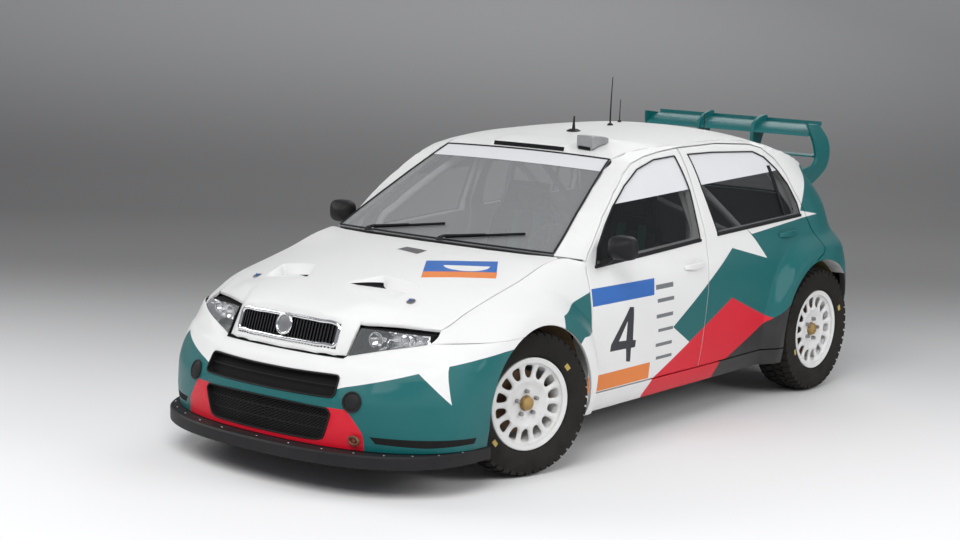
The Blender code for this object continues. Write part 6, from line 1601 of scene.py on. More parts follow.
    def side_place(self, p: Array) -> tuple[Array, Array, Array]:
        """Half width of the fixed side before its step, the share up to the top line, and the step's depth.

        Args:
            p: points of the flat sheet, one a row.

        Returns:
            Half width, share up to the top line and depth of the step.
        """
        y, z = p[:, 0], p[:, 1]
        low, high = curve(self.door_line, 1, y), curve(self.top_line, 2, y)
        band = np.clip((z - low) / (high - low), 0, 1)
        below = self.hull_x(y, np.where(band > 0, low, z), Flare.REAR)
        blend = np.where(y > self.door_line[-3, 0], self.roll(band), band)
        sunk = np.clip(self.signed_depth(self.seat_outline, p) / self.step_run, 0, 1)
        return below + (curve(self.top_line, 1, y) - below) * blend, band, sunk

    def side_outer(self, p: Array) -> Array:
        """Outer skin of the fixed side over (y, z), stepped in behind the doors."""
        x, _, sunk = self.side_place(p)
        return np.column_stack([x - sunk * (self.door_wall(p[:, 1]) + self.rebate_gap), p])

    def edge_way(self, y: Array) -> Array:
        """Way inwards at the top line: square to the windscreen beside it, straight down beside the roof."""
        lean = self.glass_lean * fade(y, self.top_line[4, 0], self.top_line[5, 0])
        return np.column_stack([0 * y, np.sin(lean), -np.cos(lean)])

    def side_inner(self, p: Array) -> Array:
        """Inner skin of the fixed side: inwards, down at the roof, forwards at the tailgate.

        Args:
            p: points of the flat sheet, one a row.

        Returns:
            Points of the inner skin.
        """
        y, z = p[:, 0], p[:, 1]
        x, band, _ = self.side_place(p)
        wall = self.door_wall(z) + self.rebate_gap + self.pillar_depth / 2
        sink = -0.7 * (1 - fade(z, self.belt_z, self.gate_top_z))
        shut = self.tail_y(curve(self.gate_shut, 1, z), z)
        forward = fade(shut - y, 0, self.corner_turn) * math.pi / 2
        inward = np.column_stack([-np.cos(forward), -np.sin(forward), sink])
        band = band[:, None] ** 0.7
        thick = wall[:, None] * (1 - band) + self.pillar_depth * band
        return np.column_stack([x, y, z]) + thick * (inward * (1 - band) + self.edge_way(y) * band)

    def shut_line(self, start: float, end: float, count: int) -> Array:
        """Points on the rear edge of the side beside the tailgate, over (y, z)."""
        z = np.linspace(start, end, count)
        return np.column_stack([self.tail_y(curve(self.gate_shut, 1, z), z), z])

    def lamp_outline(self) -> Array:
        """Outline of a tail lamp over (y, z): its rear edge upwards, then its two front corners."""
        rear = self.shut_line(self.lamp_foot_z, self.lamp_top_z, 8)
        return np.vstack([rear, rear[-1] - (self.lamp_run * 0.7, 0), rear[0] - (self.lamp_run, 0)])

    def head_foot(self) -> Array:
        """Line over (x, z) along which a headlamp sits on the bumper."""
        return dense(scaled(LAMP_FOOT_SHARES, self.half_width, self.height), 0.03, closed=False)

    def fender_foot(self) -> Array:
        """Level line over (y, z) where a front fender sits on the bumper, from the arch to the lamp.

        Returns:
            The points over (y, z).
        """
        arch_y, arch_z = self.front_axle_y - self.arch_shift, self.wheel_z - self.arch_shift
        back = arch_y - math.sqrt(self.front_arch ** 2 - (self.bumper_side_z - arch_z) ** 2)
        foot = self.head_foot()[-1]
        front = float(self.nose_y(foot[:1] + self.shut_gap, foot[1:])[0])
        y = back + (front - back) * np.linspace(0, 1, 12)[1:]
        return np.column_stack([y, 0 * y + self.bumper_side_z])


def mirrored(surface: Surface, side: int) -> Surface:
    """The surface for one side of the car: 1 is the left side, -1 the right."""
    return lambda p: surface(p) * np.array([side, 1, 1])


HULL = Hull()


# Bodywork and its painted fields
@dataclass
class Livery:
    """Outlines of the painted fields, in metres in each panel's flat parameters.

    The moon on the hood is its corner, its half length along and its depth.
    """
    teal: Points = (
        (0.018, 0.515), (0.576, 0.836), (0.889, 0.754), (0.800, 0.858), (0.735, 0.914), (1.298, 0.955),
        (1.36, 1.02), (1.484, 1.167), (1.704, 1.248), (2.2, 1.30), (2.2, 0.0), (1.30, 0.0), (1.167, 0.522),
        (1.015, 0.501), (0.909, 0.445), (0.544, 0.593), (0.166, 0.422))
    dark: Points = (
        (0.909, 0.445), (1.015, 0.501), (1.167, 0.522), (1.20, 0.1), (0.40, 0.1), (0.43, 0.21),
        (0.470, 0.281), (0.511, 0.283))
    red: Points = (
        (0.544, 0.593), (0.909, 0.445), (0.511, 0.283), (0.470, 0.281), (0.430, 0.15), (-0.215, 0.15),
        (-0.189, 0.218), (-0.127, 0.290))
    # white band along the belt: partly a white stripe, partly a painted highlight (the shoulder's reflection
    # painted white onto the door and quarter panel)
    belt_stripe_and_highlight: Points = (
        (0.735, 0.914), (1.298, 0.955), (1.47, 0.925), (1.30, 0.918), (0.78, 0.885))
    tail: Points = ((1.45, 0.0), (1.45, 0.545), (1.70, 0.60), (2.2, 0.60), (2.2, 0.0))
    fender: Points = (
        (-0.60, 0.78), (-0.655, 0.759), (-0.93, 0.699), (-0.93, 0.45), (-0.787, 0.585), (-0.60, 0.585))
    blue_band: Points = (
        (-0.630, 0.773), (-0.135, 0.768), (-0.145, 0.690), (-0.636, 0.694))
    orange_band: Points = (
        (-0.668, 0.373), (-0.168, 0.372), (-0.170, 0.295), (-0.671, 0.297))
    four: Points = (
        (-0.349, 0.659), (-0.317, 0.655), (-0.320, 0.500), (-0.295, 0.496), (-0.301, 0.464), (-0.334, 0.464),
        (-0.337, 0.400), (-0.370, 0.405), (-0.375, 0.467), (-0.504, 0.470), (-0.497, 0.501))
    counter: Points = ((-0.375, 0.505), (-0.434, 0.509), (-0.368, 0.595))
    plate: Points = ((0.240, -1.138), (0.503, -0.955), (0.605, -1.097), (0.358, -1.314))
    strip: Points = ((0.572, -1.048), (0.605, -1.097), (0.358, -1.314), (0.321, -1.256))
    slot: Points = ((-0.003, -1.061), (0.011, -1.007), (0.142, -1.016), (0.138, -1.084))
    moon: Points = ((0.34, -1.14), (0.085, 0.060), (0.052, -0.070))
    # matt black triangle at the deep end of each hood vent: painted shade of the vent's recess
    vent_shade_patch: Points = ((0.128, -1.520), (0.214, -1.396), (0.262, -1.432))
    gate_recess: Points = ((-0.27, 0.70), (0.27, 0.70), (0.25, 0.83), (-0.25, 0.83))
    rear_bumper_teal: Points = ((-0.62, 0.36), (0.62, 0.36), (0.66, 0.8), (-0.66, 0.8))
    rear_bumper_recess: Points = ((-0.24, 0.43), (0.24, 0.43), (0.26, 0.55), (-0.26, 0.55))
    bumper_white: Points = (
        (-0.231, 0.460), (-0.196, 0.445), (0.196, 0.445), (0.231, 0.460), (0.458, 0.533), (0.626, 0.407),
        (0.557, 0.560), (0.671, 0.583), (0.781, 0.601), (1.3, 0.645), (1.3, 0.80), (-1.3, 0.80),
        (-1.3, 0.645), (-0.781, 0.601), (-0.671, 0.583), (-0.557, 0.560), (-0.626, 0.407),
        (-0.458, 0.533))
    bumper_red: Points = (
        (-0.25, 0.37), (-0.309, 0.275), (-0.325, 0.210), (-0.325, 0.15), (0.325, 0.15), (0.325, 0.210),
        (0.309, 0.275), (0.25, 0.37))
    # matt black band on the smooth front bumper: painted shade of a groove that is not modelled
    bumper_groove_shade: Points = (
        (0.335, 0.266), (0.78, 0.256), (0.78, 0.230), (0.56, 0.226), (0.36, 0.238))
    bars: Sequence[tuple[float, float, float, float]] = (
        (-0.128, 0.700, 0.018, 0.745), (-0.120, 0.640, 0.020, 0.676), (-0.128, 0.566, 0.012, 0.602),
        (-0.110, 0.500, 0.016, 0.530), (-0.128, 0.430, 0.010, 0.462), (-0.120, 0.368, 0.014, 0.398))

    def side_fields(self) -> list[tuple[Finish, Array]]:
        """Fields of the side that run over its doors and its rear quarter.

        Returns:
            Pairs of finish and outline.
        """
        # the white belt band among these fields is partly a painted highlight
        pairs = ((FINISHES.teal, self.teal), (FINISHES.red, self.red), (FINISHES.black, self.dark),
                 (FINISHES.white, self.belt_stripe_and_highlight), (FINISHES.black, self.tail))
        return [(finish, np.array(area)) for finish, area in pairs]

    def door_fields(self, side: int) -> list[tuple[Finish, Array]]:
        """Further fields of a front door: two plain bands, the number and plain bars.

        Args:
            side: 1 for left and -1 for right.

        Returns:
            Pairs of finish and outline.
        """
        rows = [(FINISHES.blue, self.blue_band), (FINISHES.orange, self.orange_band)]
        fields = [(finish, np.array(area)) for finish, area in rows]
        four = np.array(self.four)
        middle = four[:, 0].min() + four[:, 0].max()
        for finish, area in ((FINISHES.ink, self.four), (FINISHES.white, self.counter)):
            points = np.array(area)
            if side < 0:
                points = np.column_stack([middle - points[:, 0], points[:, 1]])
            fields.append((finish, points))
        for a, b, c, d in self.bars:
            lift = (d - b) * 0.25
            fields.append((FINISHES.grey_ink, np.array([(a, b + lift), (c, b + lift), (c, d - lift),
                                                        (a, d - lift)])))
        return fields


LIVERY = Livery()


@dataclass
class Shell:
    """Fixed panels of the body: sides, fenders, bumpers and roof."""
    step: float = 0.024
    fender_foot_z: float = 0.215
    rear_foot_z: float = 0.260
    bumper_wall: float = 0.030
    roof_front_y: float = -0.094

    def side_outline(self) -> Array:
        """Outline of the fixed side over (y, z).

        Returns:
            The outline over (y, z).
        """
        hull = HULL
        top = hull.top_line[:, [0, 2]]
        lamp = hull.lamp_outline()
        upper = hull.shut_line(hull.gate_top_z - hull.gate_drop, hull.lamp_top_z, 6)
        low = hull.shut_line(hull.lamp_foot_z, hull.bumper_top_z, 5)
        shut = np.vstack([upper, lamp[8:], low])
        lift = math.degrees(math.asin((hull.bumper_top_z - hull.wheel_z) / hull.rear_arch))
        foot = math.degrees(math.asin((hull.sill_z - hull.wheel_z) / hull.rear_arch))
        arch = arc((hull.rear_axle_y, hull.wheel_z), hull.rear_arch, lift, 180 - foot, 48)
        front = hull.front_door[0, 0] - hull.shut_gap + hull.seat_gap
        return np.vstack([top[top[:, 0] < shut[0, 0]], shut, arch, [(front, hull.sill_z)],
                          [(front, hull.front_door[0, 1])], [hull.door_line[1] + (0, hull.shut_gap)]])

    def make_sides(self) -> None:
        """Both fixed sides with the painted rear quarter."""
        hull = HULL
        holes = (inset(hull.front_door, hull.rebate), inset(hull.rear_door, hull.rebate))
        folds = (Panel.loop(hull.seat_outline), Panel.loop(inset(hull.seat_outline, hull.step_run)))
        for side, word in SIDES:
            Panel("side_" + word, self.side_outline(), mirrored(hull.side_outer, side),
                  mirrored(hull.side_inner, side), FINISHES.white, holes=holes, folds=folds,
                  fields=LIVERY.side_fields(), replaces=("body_side_" + word,), ease=0.002).make()

    def make_fenders(self) -> None:
        """Both front fenders with their teal rear field."""
        hull = HULL
        arch_y, arch_z = hull.front_axle_y - hull.arch_shift, hull.wheel_z - hull.arch_shift
        foot = math.degrees(math.asin((self.fender_foot_z - arch_z) / hull.front_arch))
        lift = math.degrees(math.asin((hull.bumper_side_z - arch_z) / hull.front_arch))
        arch = arc((arch_y, arch_z), hull.front_arch, foot, 180 - lift, 48)
        back = hull.front_door[[0, -1]] - (hull.shut_gap, 0)
        top = dense(hull.hood_shut[:, [0, 2]], self.step, closed=False)
        top = np.column_stack([top[:, 0], curve(hull.hood_shut, 2, top[:, 0])])
        outline = np.vstack([arch, hull.fender_foot(), top, [back[1]], [back[0]],
                             [(back[0, 0], self.fender_foot_z)]])
        for side, word in SIDES:
            Panel("fender_" + word, outline, mirrored(hull.fender_point, side),
                  mirrored(hull.fender_inner, side), FINISHES.white,
                  fields=[(FINISHES.teal, np.array(LIVERY.fender))],
                  replaces=("front_fender_" + word,), step=0.018, ease=0.002).make()

    def make_front_bumper(self) -> None:
        """Front bumper with its two intakes, painted teal, white and red."""
        hull, end = HULL, End.FRONT
        arch_y, arch_z = hull.front_axle_y - hull.arch_shift, hull.wheel_z - hull.arch_shift
        heights = np.linspace(hull.bumper_foot_z, hull.bumper_side_z - hull.seat_gap, 24)
        edge_y = arch_y - np.sqrt(hull.front_arch ** 2 - (heights - arch_z) ** 2)
        side = np.column_stack([hull.run_at_y(edge_y, heights, end), heights])
        top = np.vstack([scaled(BUMPER_TOP_SHARES, hull.half_width, hull.height),
                         hull.head_foot() - (0, hull.seat_gap)])
        top = np.column_stack([hull.run_at_x(top[:, 0], top[:, 1], end), top[:, 1]])
        shut = hull.fender_foot() - (0, hull.seat_gap)
        shut = np.column_stack([hull.run_at_y(shut[:, 0], shut[:, 1], end), shut[:, 1]])
        half = np.vstack([[(0, hull.bumper_foot_z)], side, shut, top[::-1]])
        outer, inner = hull.bumper(end, self.bumper_wall)
        # painted shade: matt black bands standing for the shaded groove on each side
        slots = [(FINISHES.matt, np.array(LIVERY.bumper_groove_shade) * (way, 1)) for way in (1, -1)]
        fields = [(FINISHES.white, np.array(LIVERY.bumper_white)),
                  (FINISHES.red, np.array(LIVERY.bumper_red)),
                  *slots]
        Panel("bumper_front", both(half), outer, inner, FINISHES.teal, holes=self.intakes(), fields=fields,
              back=FINISHES.plastic, edge=FINISHES.matt, replaces=("front_bumper",), step=0.022,
              ease=0.004).make()

    @staticmethod
    def intakes() -> list[Array]:
        """Outlines of the upper and the lower intake over (run, height), their corners rounded.

        Returns:
            The outlines over (run, z).
        """
        loops = []
        for shares in (UPPER_INTAKE_SHARES, LOWER_INTAKE_SHARES):
            loop = scaled(shares, HULL.half_width, HULL.height)
            loop = rounded(np.vstack([loop, (loop * (-1, 1))[::-1]]), 2, 0.12)
            loops.append(np.column_stack([HULL.run_at_x(loop[:, 0], loop[:, 1], End.FRONT), loop[:, 1]]))
        return loops

    def make_rear_bumper(self) -> None:
        """Rear bumper, teal in the middle, black at its corners and foot."""
        hull, end = HULL, End.REAR
        heights = np.linspace(self.rear_foot_z, hull.bumper_top_z - hull.seat_gap, 20)
        edge_y = hull.rear_axle_y + np.sqrt(hull.rear_arch ** 2 - (heights - hull.wheel_z) ** 2)
        side = np.column_stack([hull.run_at_y(edge_y, heights, end), heights])
        half = np.vstack([[(0, self.rear_foot_z)], side, [(0, hull.bumper_top_z - hull.seat_gap)]])
        outer, inner = hull.bumper(end, self.bumper_wall)
        recess = rounded(LIVERY.rear_bumper_recess, 2)
        Panel("bumper_rear", both(half), outer, inner, FINISHES.black,
              fields=[(FINISHES.teal, np.array(LIVERY.rear_bumper_teal)), (FINISHES.black, recess)],
              back=FINISHES.plastic, replaces=("rear_bumper",), ease=0.004).make()

    def make_roof(self) -> None:
        """Roof with its moulded scoop."""
        hull = HULL
        rows = np.append(self.roof_front_y, hull.top_line[hull.top_line[:, 0] > self.roof_front_y + 0.006, 0])
        rows = dense(np.column_stack([rows, 0 * rows]), self.step, closed=False)[:, 0]
        side = np.column_stack([curve(hull.top_line, 1, rows) - hull.seat_gap, rows])
        x = side[-1, 0] * np.linspace(1, 0, 16)
        rear = np.column_stack([x, hull.tail_y(x, hull.gate_top(x)) - hull.shut_gap * 1.5])
        side = side[side[:, 1] < rear[0, 1]]
        half = np.vstack([[(0, self.roof_front_y)], side, rear])
        outer, inner = hull.roof()
        width, front = hull.scoop_half, hull.scoop_front
        folds = [np.array([(way * width, front + 0.002), (way * width, front + hull.scoop_run)])
                 for way in (1, -1)]
        folds.append(np.array([(-width, front + hull.scoop_lip), (width, front + hull.scoop_lip)]))
        Panel("roof", both(half), outer, inner, FINISHES.white, folds=folds, replaces=("roof_panel",),
              back=FINISHES.cabin, ease=0.002).make()

    def make(self) -> None:
        """Build every fixed panel."""
        self.make_sides()
        self.make_fenders()
        self.make_front_bumper()
        self.make_rear_bumper()
        self.make_roof()


@dataclass
class Doors:
    """Four doors with their window frames, glass, handles and mouldings."""
    front_pane: float = 0.005
    moulding: float = 0.007
    handle_depth: float = 0.016
    handles: Sequence[tuple[float, float, float, float]] = (
        (0.120, 0.757, 0.300, 0.808), (1.035, 0.825, 1.225, 0.872))
    front_film: Points = (
        (-0.9, 1.09), (-0.381, 1.120), (0.237, 1.139), (0.6, 1.15), (0.6, 1.5), (-0.9, 1.5))
    rear_film: Points = (
        (0.2, 1.147), (0.392, 1.152), (1.082, 1.167), (1.6, 1.185), (1.6, 1.5), (0.2, 1.5))
    divider: Points = ((1.135, 0.945), (1.10, 1.20))

    def make(self) -> None:
        """Build the doors of both sides."""
        hull = HULL
        rows = (("front", hull.front_door, hull.front_window, Flare.NONE),
                ("rear", hull.rear_door, hull.rear_window, Flare.REAR))
        for end, edge, window, which in rows:
            for side, word in SIDES:
                body = f"{end}_door_{word}_body"
                outer, inner = (mirrored(s, side) for s in hull.door(which))
                # the first four side fields, the last of them the white belt band that is partly a painted
                # highlight
                fields = LIVERY.side_fields()[:4]
                if end == "front":
                    fields += LIVERY.door_fields(side)
                Panel(f"door_{end}_{word}", edge, outer, inner, FINISHES.white, body, holes=(window,),
                      fields=fields, replaces=(f"{end}_door_{word}",), step=0.020, ease=0.0025).make()
                self.make_glass(end, word, side, which, window, body)
                self.make_moulding(end, word, side, which, window, body)
        self.make_handles()

    def make_glass(self, end: str, word: str, side: int, which: Flare, window: Array, body: str) -> None:
        """Window glass with a white film along its head.

        Args:
            end: front or rear end.
            word: left or right.
            side: 1 for left and -1 for right.
            which: the wheel arch or the surface meant.
            window: outline of the glass.
            body: body that carries the pieces.
        """
        outer, inner = (mirrored(s, side) for s in HULL.door(which, sunk=self.front_pane,
                                                             wall=self.front_pane))
        head = self.front_film if end == "front" else self.rear_film
        Panel(f"pane_{end}_{word}", inset(window, 0.0003), outer, inner, FINISHES.side_glass, body,
              fields=[(FINISHES.film, np.array(head))], replaces=(f"{end}_window_{word}",), step=0.04,
              ease=0.0).make()
        if end == "rear":
            bar = dense(np.array(self.divider), 0.02, closed=False)
            path = HULL.door(which, sunk=0.002)[0](bar) * (side, 1, 1)
            BENCH.piece(f"divider_{word}", ribbon(path, (0, 1, 0), 0.022, 0.008), FINISHES.plastic, body,
                        round_edge=0.002)

    def make_moulding(self, end: str, word: str, side: int, which: Flare, window: Array, body: str) -> None:
        """Black rubber channel round the glass and the belt moulding under it.

        Args:
            end: front or rear end.
            word: left or right.
            side: 1 for left and -1 for right.
            which: the wheel arch or the surface meant.
            window: outline of the glass.
            body: body that carries the pieces.
        """
        loop = dense(inset(window, 0.002), 0.02)
        path = HULL.door(which, sunk=-0.0005)[0](loop) * (side, 1, 1)
        BENCH.piece(f"channel_{end}_{word}", sweep(path, self.moulding / 2, 8, closed=True), FINISHES.plastic,
                    body)
        foot = dense(inset(window, -0.006)[:2], 0.02, closed=False)
        path = HULL.door(which, sunk=-0.002)[0](foot) * (side, 1, 1)
        BENCH.piece(f"belt_{end}_{word}", ribbon(path, (0, 0, 1), 0.014, 0.007), FINISHES.plastic, body,
                    round_edge=0.002)

    def make_handles(self) -> None:
        """Pull handles, each a bowed bar over a dished plate."""
        for (end, which), (a, b, c, d) in zip((("front", Flare.NONE), ("rear", Flare.REAR)), self.handles):
            for side, word in SIDES:
                face = HULL.door(which, sunk=-0.001)[0]
                loop = rounded([(a + 0.01, b), (c - 0.02, b + 0.006), (c - 0.02, d), (a + 0.01, d)], 3)
                skin = mirrored(face, side)
                back = mirrored(HULL.door(which, sunk=0.004)[0], side)
                paint = FINISHES.white if end == "front" else FINISHES.teal
                Panel(f"handle_cup_{end}_{word}", loop, skin, back, paint,
                      f"{end}_door_{word}_body", step=0.02, ease=0.001).make()
                t = np.linspace(0, 1, 18)
                flat = np.column_stack([a + (c - a) * t, (b + d) / 2 + 0.006 + 0 * t])
                path = face(flat) + np.column_stack([self.handle_depth * (1 - (2 * t - 1) ** 4), 0 * t,
                                                     0 * t])
                width = 0.020 + 0.012 * np.sin(math.pi * t)
                bar = ribbon(path * (side, 1, 1), (0, 0, 1), width, 0.010)
                BENCH.piece(f"handle_{end}_{word}", bar, paint, f"{end}_door_{word}_body",
                            round_edge=0.004, round_steps=3)


@dataclass
class Hood:
    """Hood with its vents, pins and painted plates, and the chrome grille that it carries."""
    slats: int = 32
    margin: float = 0.16
    frame_radius: float = 0.0095
    badge_radius: float = 0.042
    pin_place: tuple[float, float] = (0.46, -1.50)

    def outline(self) -> Array:
        """Outline of the hood over (x, y).

        Returns:
            The outline over (x, y).
        """
        hull = HULL
        side = hull.hood_shut[:, :2][:, ::-1] - (hull.shut_gap, 0)
        rows = dense(side[:, ::-1], 0.02, closed=False)[:, 0]
        side = np.column_stack([curve(hull.hood_shut, 1, rows) - hull.shut_gap, rows])
        side = side[side[:, 1] > hull.hood_front_table[-1, 1]]
        rear = dense(hull.hood_rear, 0.03, closed=False)
        side = side[side[:, 1] < rear[-1, 1]]
        front = dense(hull.hood_front_table[3:, [0, 1]], 0.02, closed=False)
        foot = hull.hood_front_table[:4, [0, 3]].copy()
        foot[-1, 0] -= hull.shut_gap
        return both(np.vstack([foot, front, side, rear[::-1]]))

    def grille_loop(self, gap: float) -> Array:
        """Outline of the grille over (x, y).

        Args:
            gap: distance inwards.

        Returns:
            The outline over (x, y).
        """
        rows = HULL.hood_front_table[:3]
        low = rows[:, 3] + (rows[:, 1] - rows[:, 3]) * self.margin
        high = rows[:, 1] - (rows[:, 1] - rows[:, 3]) * self.margin
        half = np.vstack([np.column_stack([rows[:, 0], low]), np.column_stack([rows[:, 0], high])[::-1]])
        return inset(np.vstack([half[:3], half[3:], (half[half[:, 0] > 0] * (-1, 1))[::-1]]), gap)

    def make(self) -> None:
        """Build the hood, its vents and its grille."""
        hull = HULL
        crest = dense(hull.hood_front_table[:4, [0, 1]], 0.02, closed=False)
        crest = np.vstack([(crest * (-1, 1))[::-1], crest[1:]])
        deep = inset(hull.vent, hull.vent_run)
        folds = [crest] + [Panel.loop(loop * (way, 1)) for loop in (hull.vent, deep) for way in (1, -1)]
        # painted shade: a matt black triangle in each vent's recess
        fields = [(FINISHES.matt, np.array(LIVERY.vent_shade_patch) * (way, 1)) for way in (1, -1)]
        fields += [(FINISHES.blue, np.array(LIVERY.plate)), (FINISHES.orange, np.array(LIVERY.strip)),
                   (FINISHES.steel, np.array(LIVERY.slot))]
        corner, along, up = np.array(LIVERY.moon)
        turn = np.radians(np.linspace(0, 180, 14))
        fields.append((FINISHES.white, corner + np.outer(1 + np.cos(turn), along)
                       + np.outer(-np.sin(turn) * 0.7, -up)))
        outer, inner = hull.hood()
        Panel("hood_skin", self.outline(), outer, inner, FINISHES.white, "hood_body",
              holes=(self.grille_loop(0),), folds=folds, fields=fields, back=FINISHES.cabin,
              replaces=("hood",), step=0.020, ease=0.003).make()
        self.make_grille()
        self.make_pins()

    def make_grille(self) -> None:
        """Chrome frame, upright slats before a dark back, and a plain round badge."""
        face = HULL.hood(sunk=0.001)[0]
        back, behind = HULL.hood(sunk=0.010, wall=0.004)
        loop = dense(self.grille_loop(0.0003), 0.02)
        Panel("grille_back", loop, back, behind, FINISHES.matt, "hood_body", replaces=("grille",),
              ease=0.0).make()
        path = face(dense(rounded(self.grille_loop(0.003), 2, 0.12), 0.012))
        BENCH.piece("grille_frame", sweep(path, self.frame_radius, 12, closed=True), FINISHES.chrome,
                    "hood_body", sharp=70)
        half = HULL.hood_front_table[2, 0] - 0.016
        shapes = []
        for x in np.linspace(-half, half, self.slats):
            line, _, foot = HULL.hood_edge(np.array([abs(x)]))
            rows = foot + (line - foot) * np.linspace(self.margin, 1 - self.margin, 7)
            path = HULL.hood(sunk=0.004)[0](np.column_stack([x + 0 * rows, rows]))
            shapes.append(ribbon(path, (1, 0, 0), 0.0062, 0.010))
        BENCH.piece("grille_slats", merged(shapes), FINISHES.slat, "hood_body", round_edge=0.0015)
        line, _, foot = HULL.hood_edge(np.zeros(1))
        spot = HULL.hood(sunk=-0.008)[0](np.array([[0.0, float(line[0] - (line[0] - foot[0]) * 0.45)]]))[0]
        frame_at = facing(spot, (0, -0.97, 0.24))
        ring = revolve(arc((self.badge_radius, 0.004), 0.006, 0, 342, 12), 48)
        BENCH.piece("badge_ring", placed(ring, frame_at), FINISHES.chrome, "hood_body")
        BENCH.piece("badge_face", placed(dome(self.badge_radius - 0.002, 0.008, 8, 48), frame_at),
                    FINISHES.steel, "hood_body")

    def make_pins(self) -> None:
        """Hood pins with their washers near the front edge."""
        for side, word in SIDES:
            spot = HULL.hood()[0](np.array([self.pin_place]))[0] * (side, 1, 1)
            frame_at = facing(spot, (0, -0.35, 0.94))
            ring = placed(revolve([(0.006, 0.001), (0.022, 0.0005), (0.022, 0.002), (0.018, 0.0035),
                                   (0.006, 0.004)], 28), frame_at)
            pin = placed(dome(0.0055, 0.016, 5, 14), frame_at)
            BENCH.piece(f"pin_washer_{word}", ring, FINISHES.steel, "hood_body")
            BENCH.piece(f"hood_pin_{word}", pin, FINISHES.blue, "hood_body")


@dataclass
class Tail:
    """Tailgate with its glass, plate recess, lamps and latch."""
    wall: float = 0.045
    pane: float = 0.005
    pull_half: float = 0.22
    pull_z: float = 0.842

    def make(self) -> None:
        """Build the tailgate, its glass and the tail lamps."""
        hull = HULL
        heights = np.linspace(hull.bumper_top_z + 2 * hull.seat_gap,
                              hull.gate_top_z - hull.gate_drop - hull.shut_gap, 30)
        side = np.column_stack([curve(hull.gate_shut, 1, heights) - hull.shut_gap, heights])
        x = side[-1, 0] * np.linspace(0.93, 0, 14)
        top = np.column_stack([x, hull.gate_top(x)])
        half = np.vstack([[(0, heights[0])], side, top])
        glass = scaled(REAR_GLASS_SHARES, hull.half_width, hull.height)
        glass = np.vstack([glass, (glass * (-1, 1))[::-1]])
        outer, inner = hull.gate(self.wall)
        recess = rounded(LIVERY.gate_recess, 2, 0.1)
        Panel("tailgate_skin", both(half), outer, inner, FINISHES.teal, "tailgate_body", holes=(glass,),
              fields=[(FINISHES.white, recess)], back=FINISHES.cabin, replaces=("tailgate",),
              ease=0.003).make()
        outer, inner = hull.gate(self.pane, sunk=self.pane)
        Panel("rear_pane", inset(glass, 0.0003), outer, inner, FINISHES.side_glass, "tailgate_body",
              replaces=("rear_window",), step=0.05, ease=0.0).make()
        path = hull.gate(0.001, sunk=-0.0005)[0](dense(inset(glass, 0.003), 0.02))
        BENCH.piece("rear_pane_channel", sweep(path, 0.006, 8, closed=True), FINISHES.plastic,
                    "tailgate_body")
        bar = np.column_stack([np.linspace(-self.pull_half, self.pull_half, 20),
                               np.full(20, self.pull_z)])
        path = hull.gate(0.001, sunk=-0.008)[0](bar)
        BENCH.piece("tailgate_pull", ribbon(path, (0, 0, 1), 0.020, 0.012), FINISHES.chrome, "tailgate_body",
                    round_edge=0.004)
        self.make_lamps()

    def make_lamps(self) -> None:
        """Tail lamps with a red field and an amber field."""
        hull = HULL
        loop = inset(hull.lamp_outline(), hull.seat_gap)
        middle = loop.mean(axis=0)
        low, high = loop[:, 1].min(), loop[:, 1].max()

        def inner(p: Array) -> Array:
            """Inner skin."""
            back = middle + (p - middle) * 0.6
            return (hull.side_outer(back) + hull.side_inner(back)) / 2
        amber = np.array([(1.0, low + (high - low) * 0.42), (2.3, low + (high - low) * 0.42),
                          (2.3, low + (high - low) * 0.62), (1.0, low + (high - low) * 0.62)])
        for side, word in SIDES:
            Panel("lamp_rear_" + word, loop, mirrored(hull.side_outer, side), mirrored(inner, side),
                  FINISHES.red_lens, fields=[(FINISHES.amber, amber)], replaces=("tail_lamp_" + word,),
                  step=0.018, ease=0.003).make()


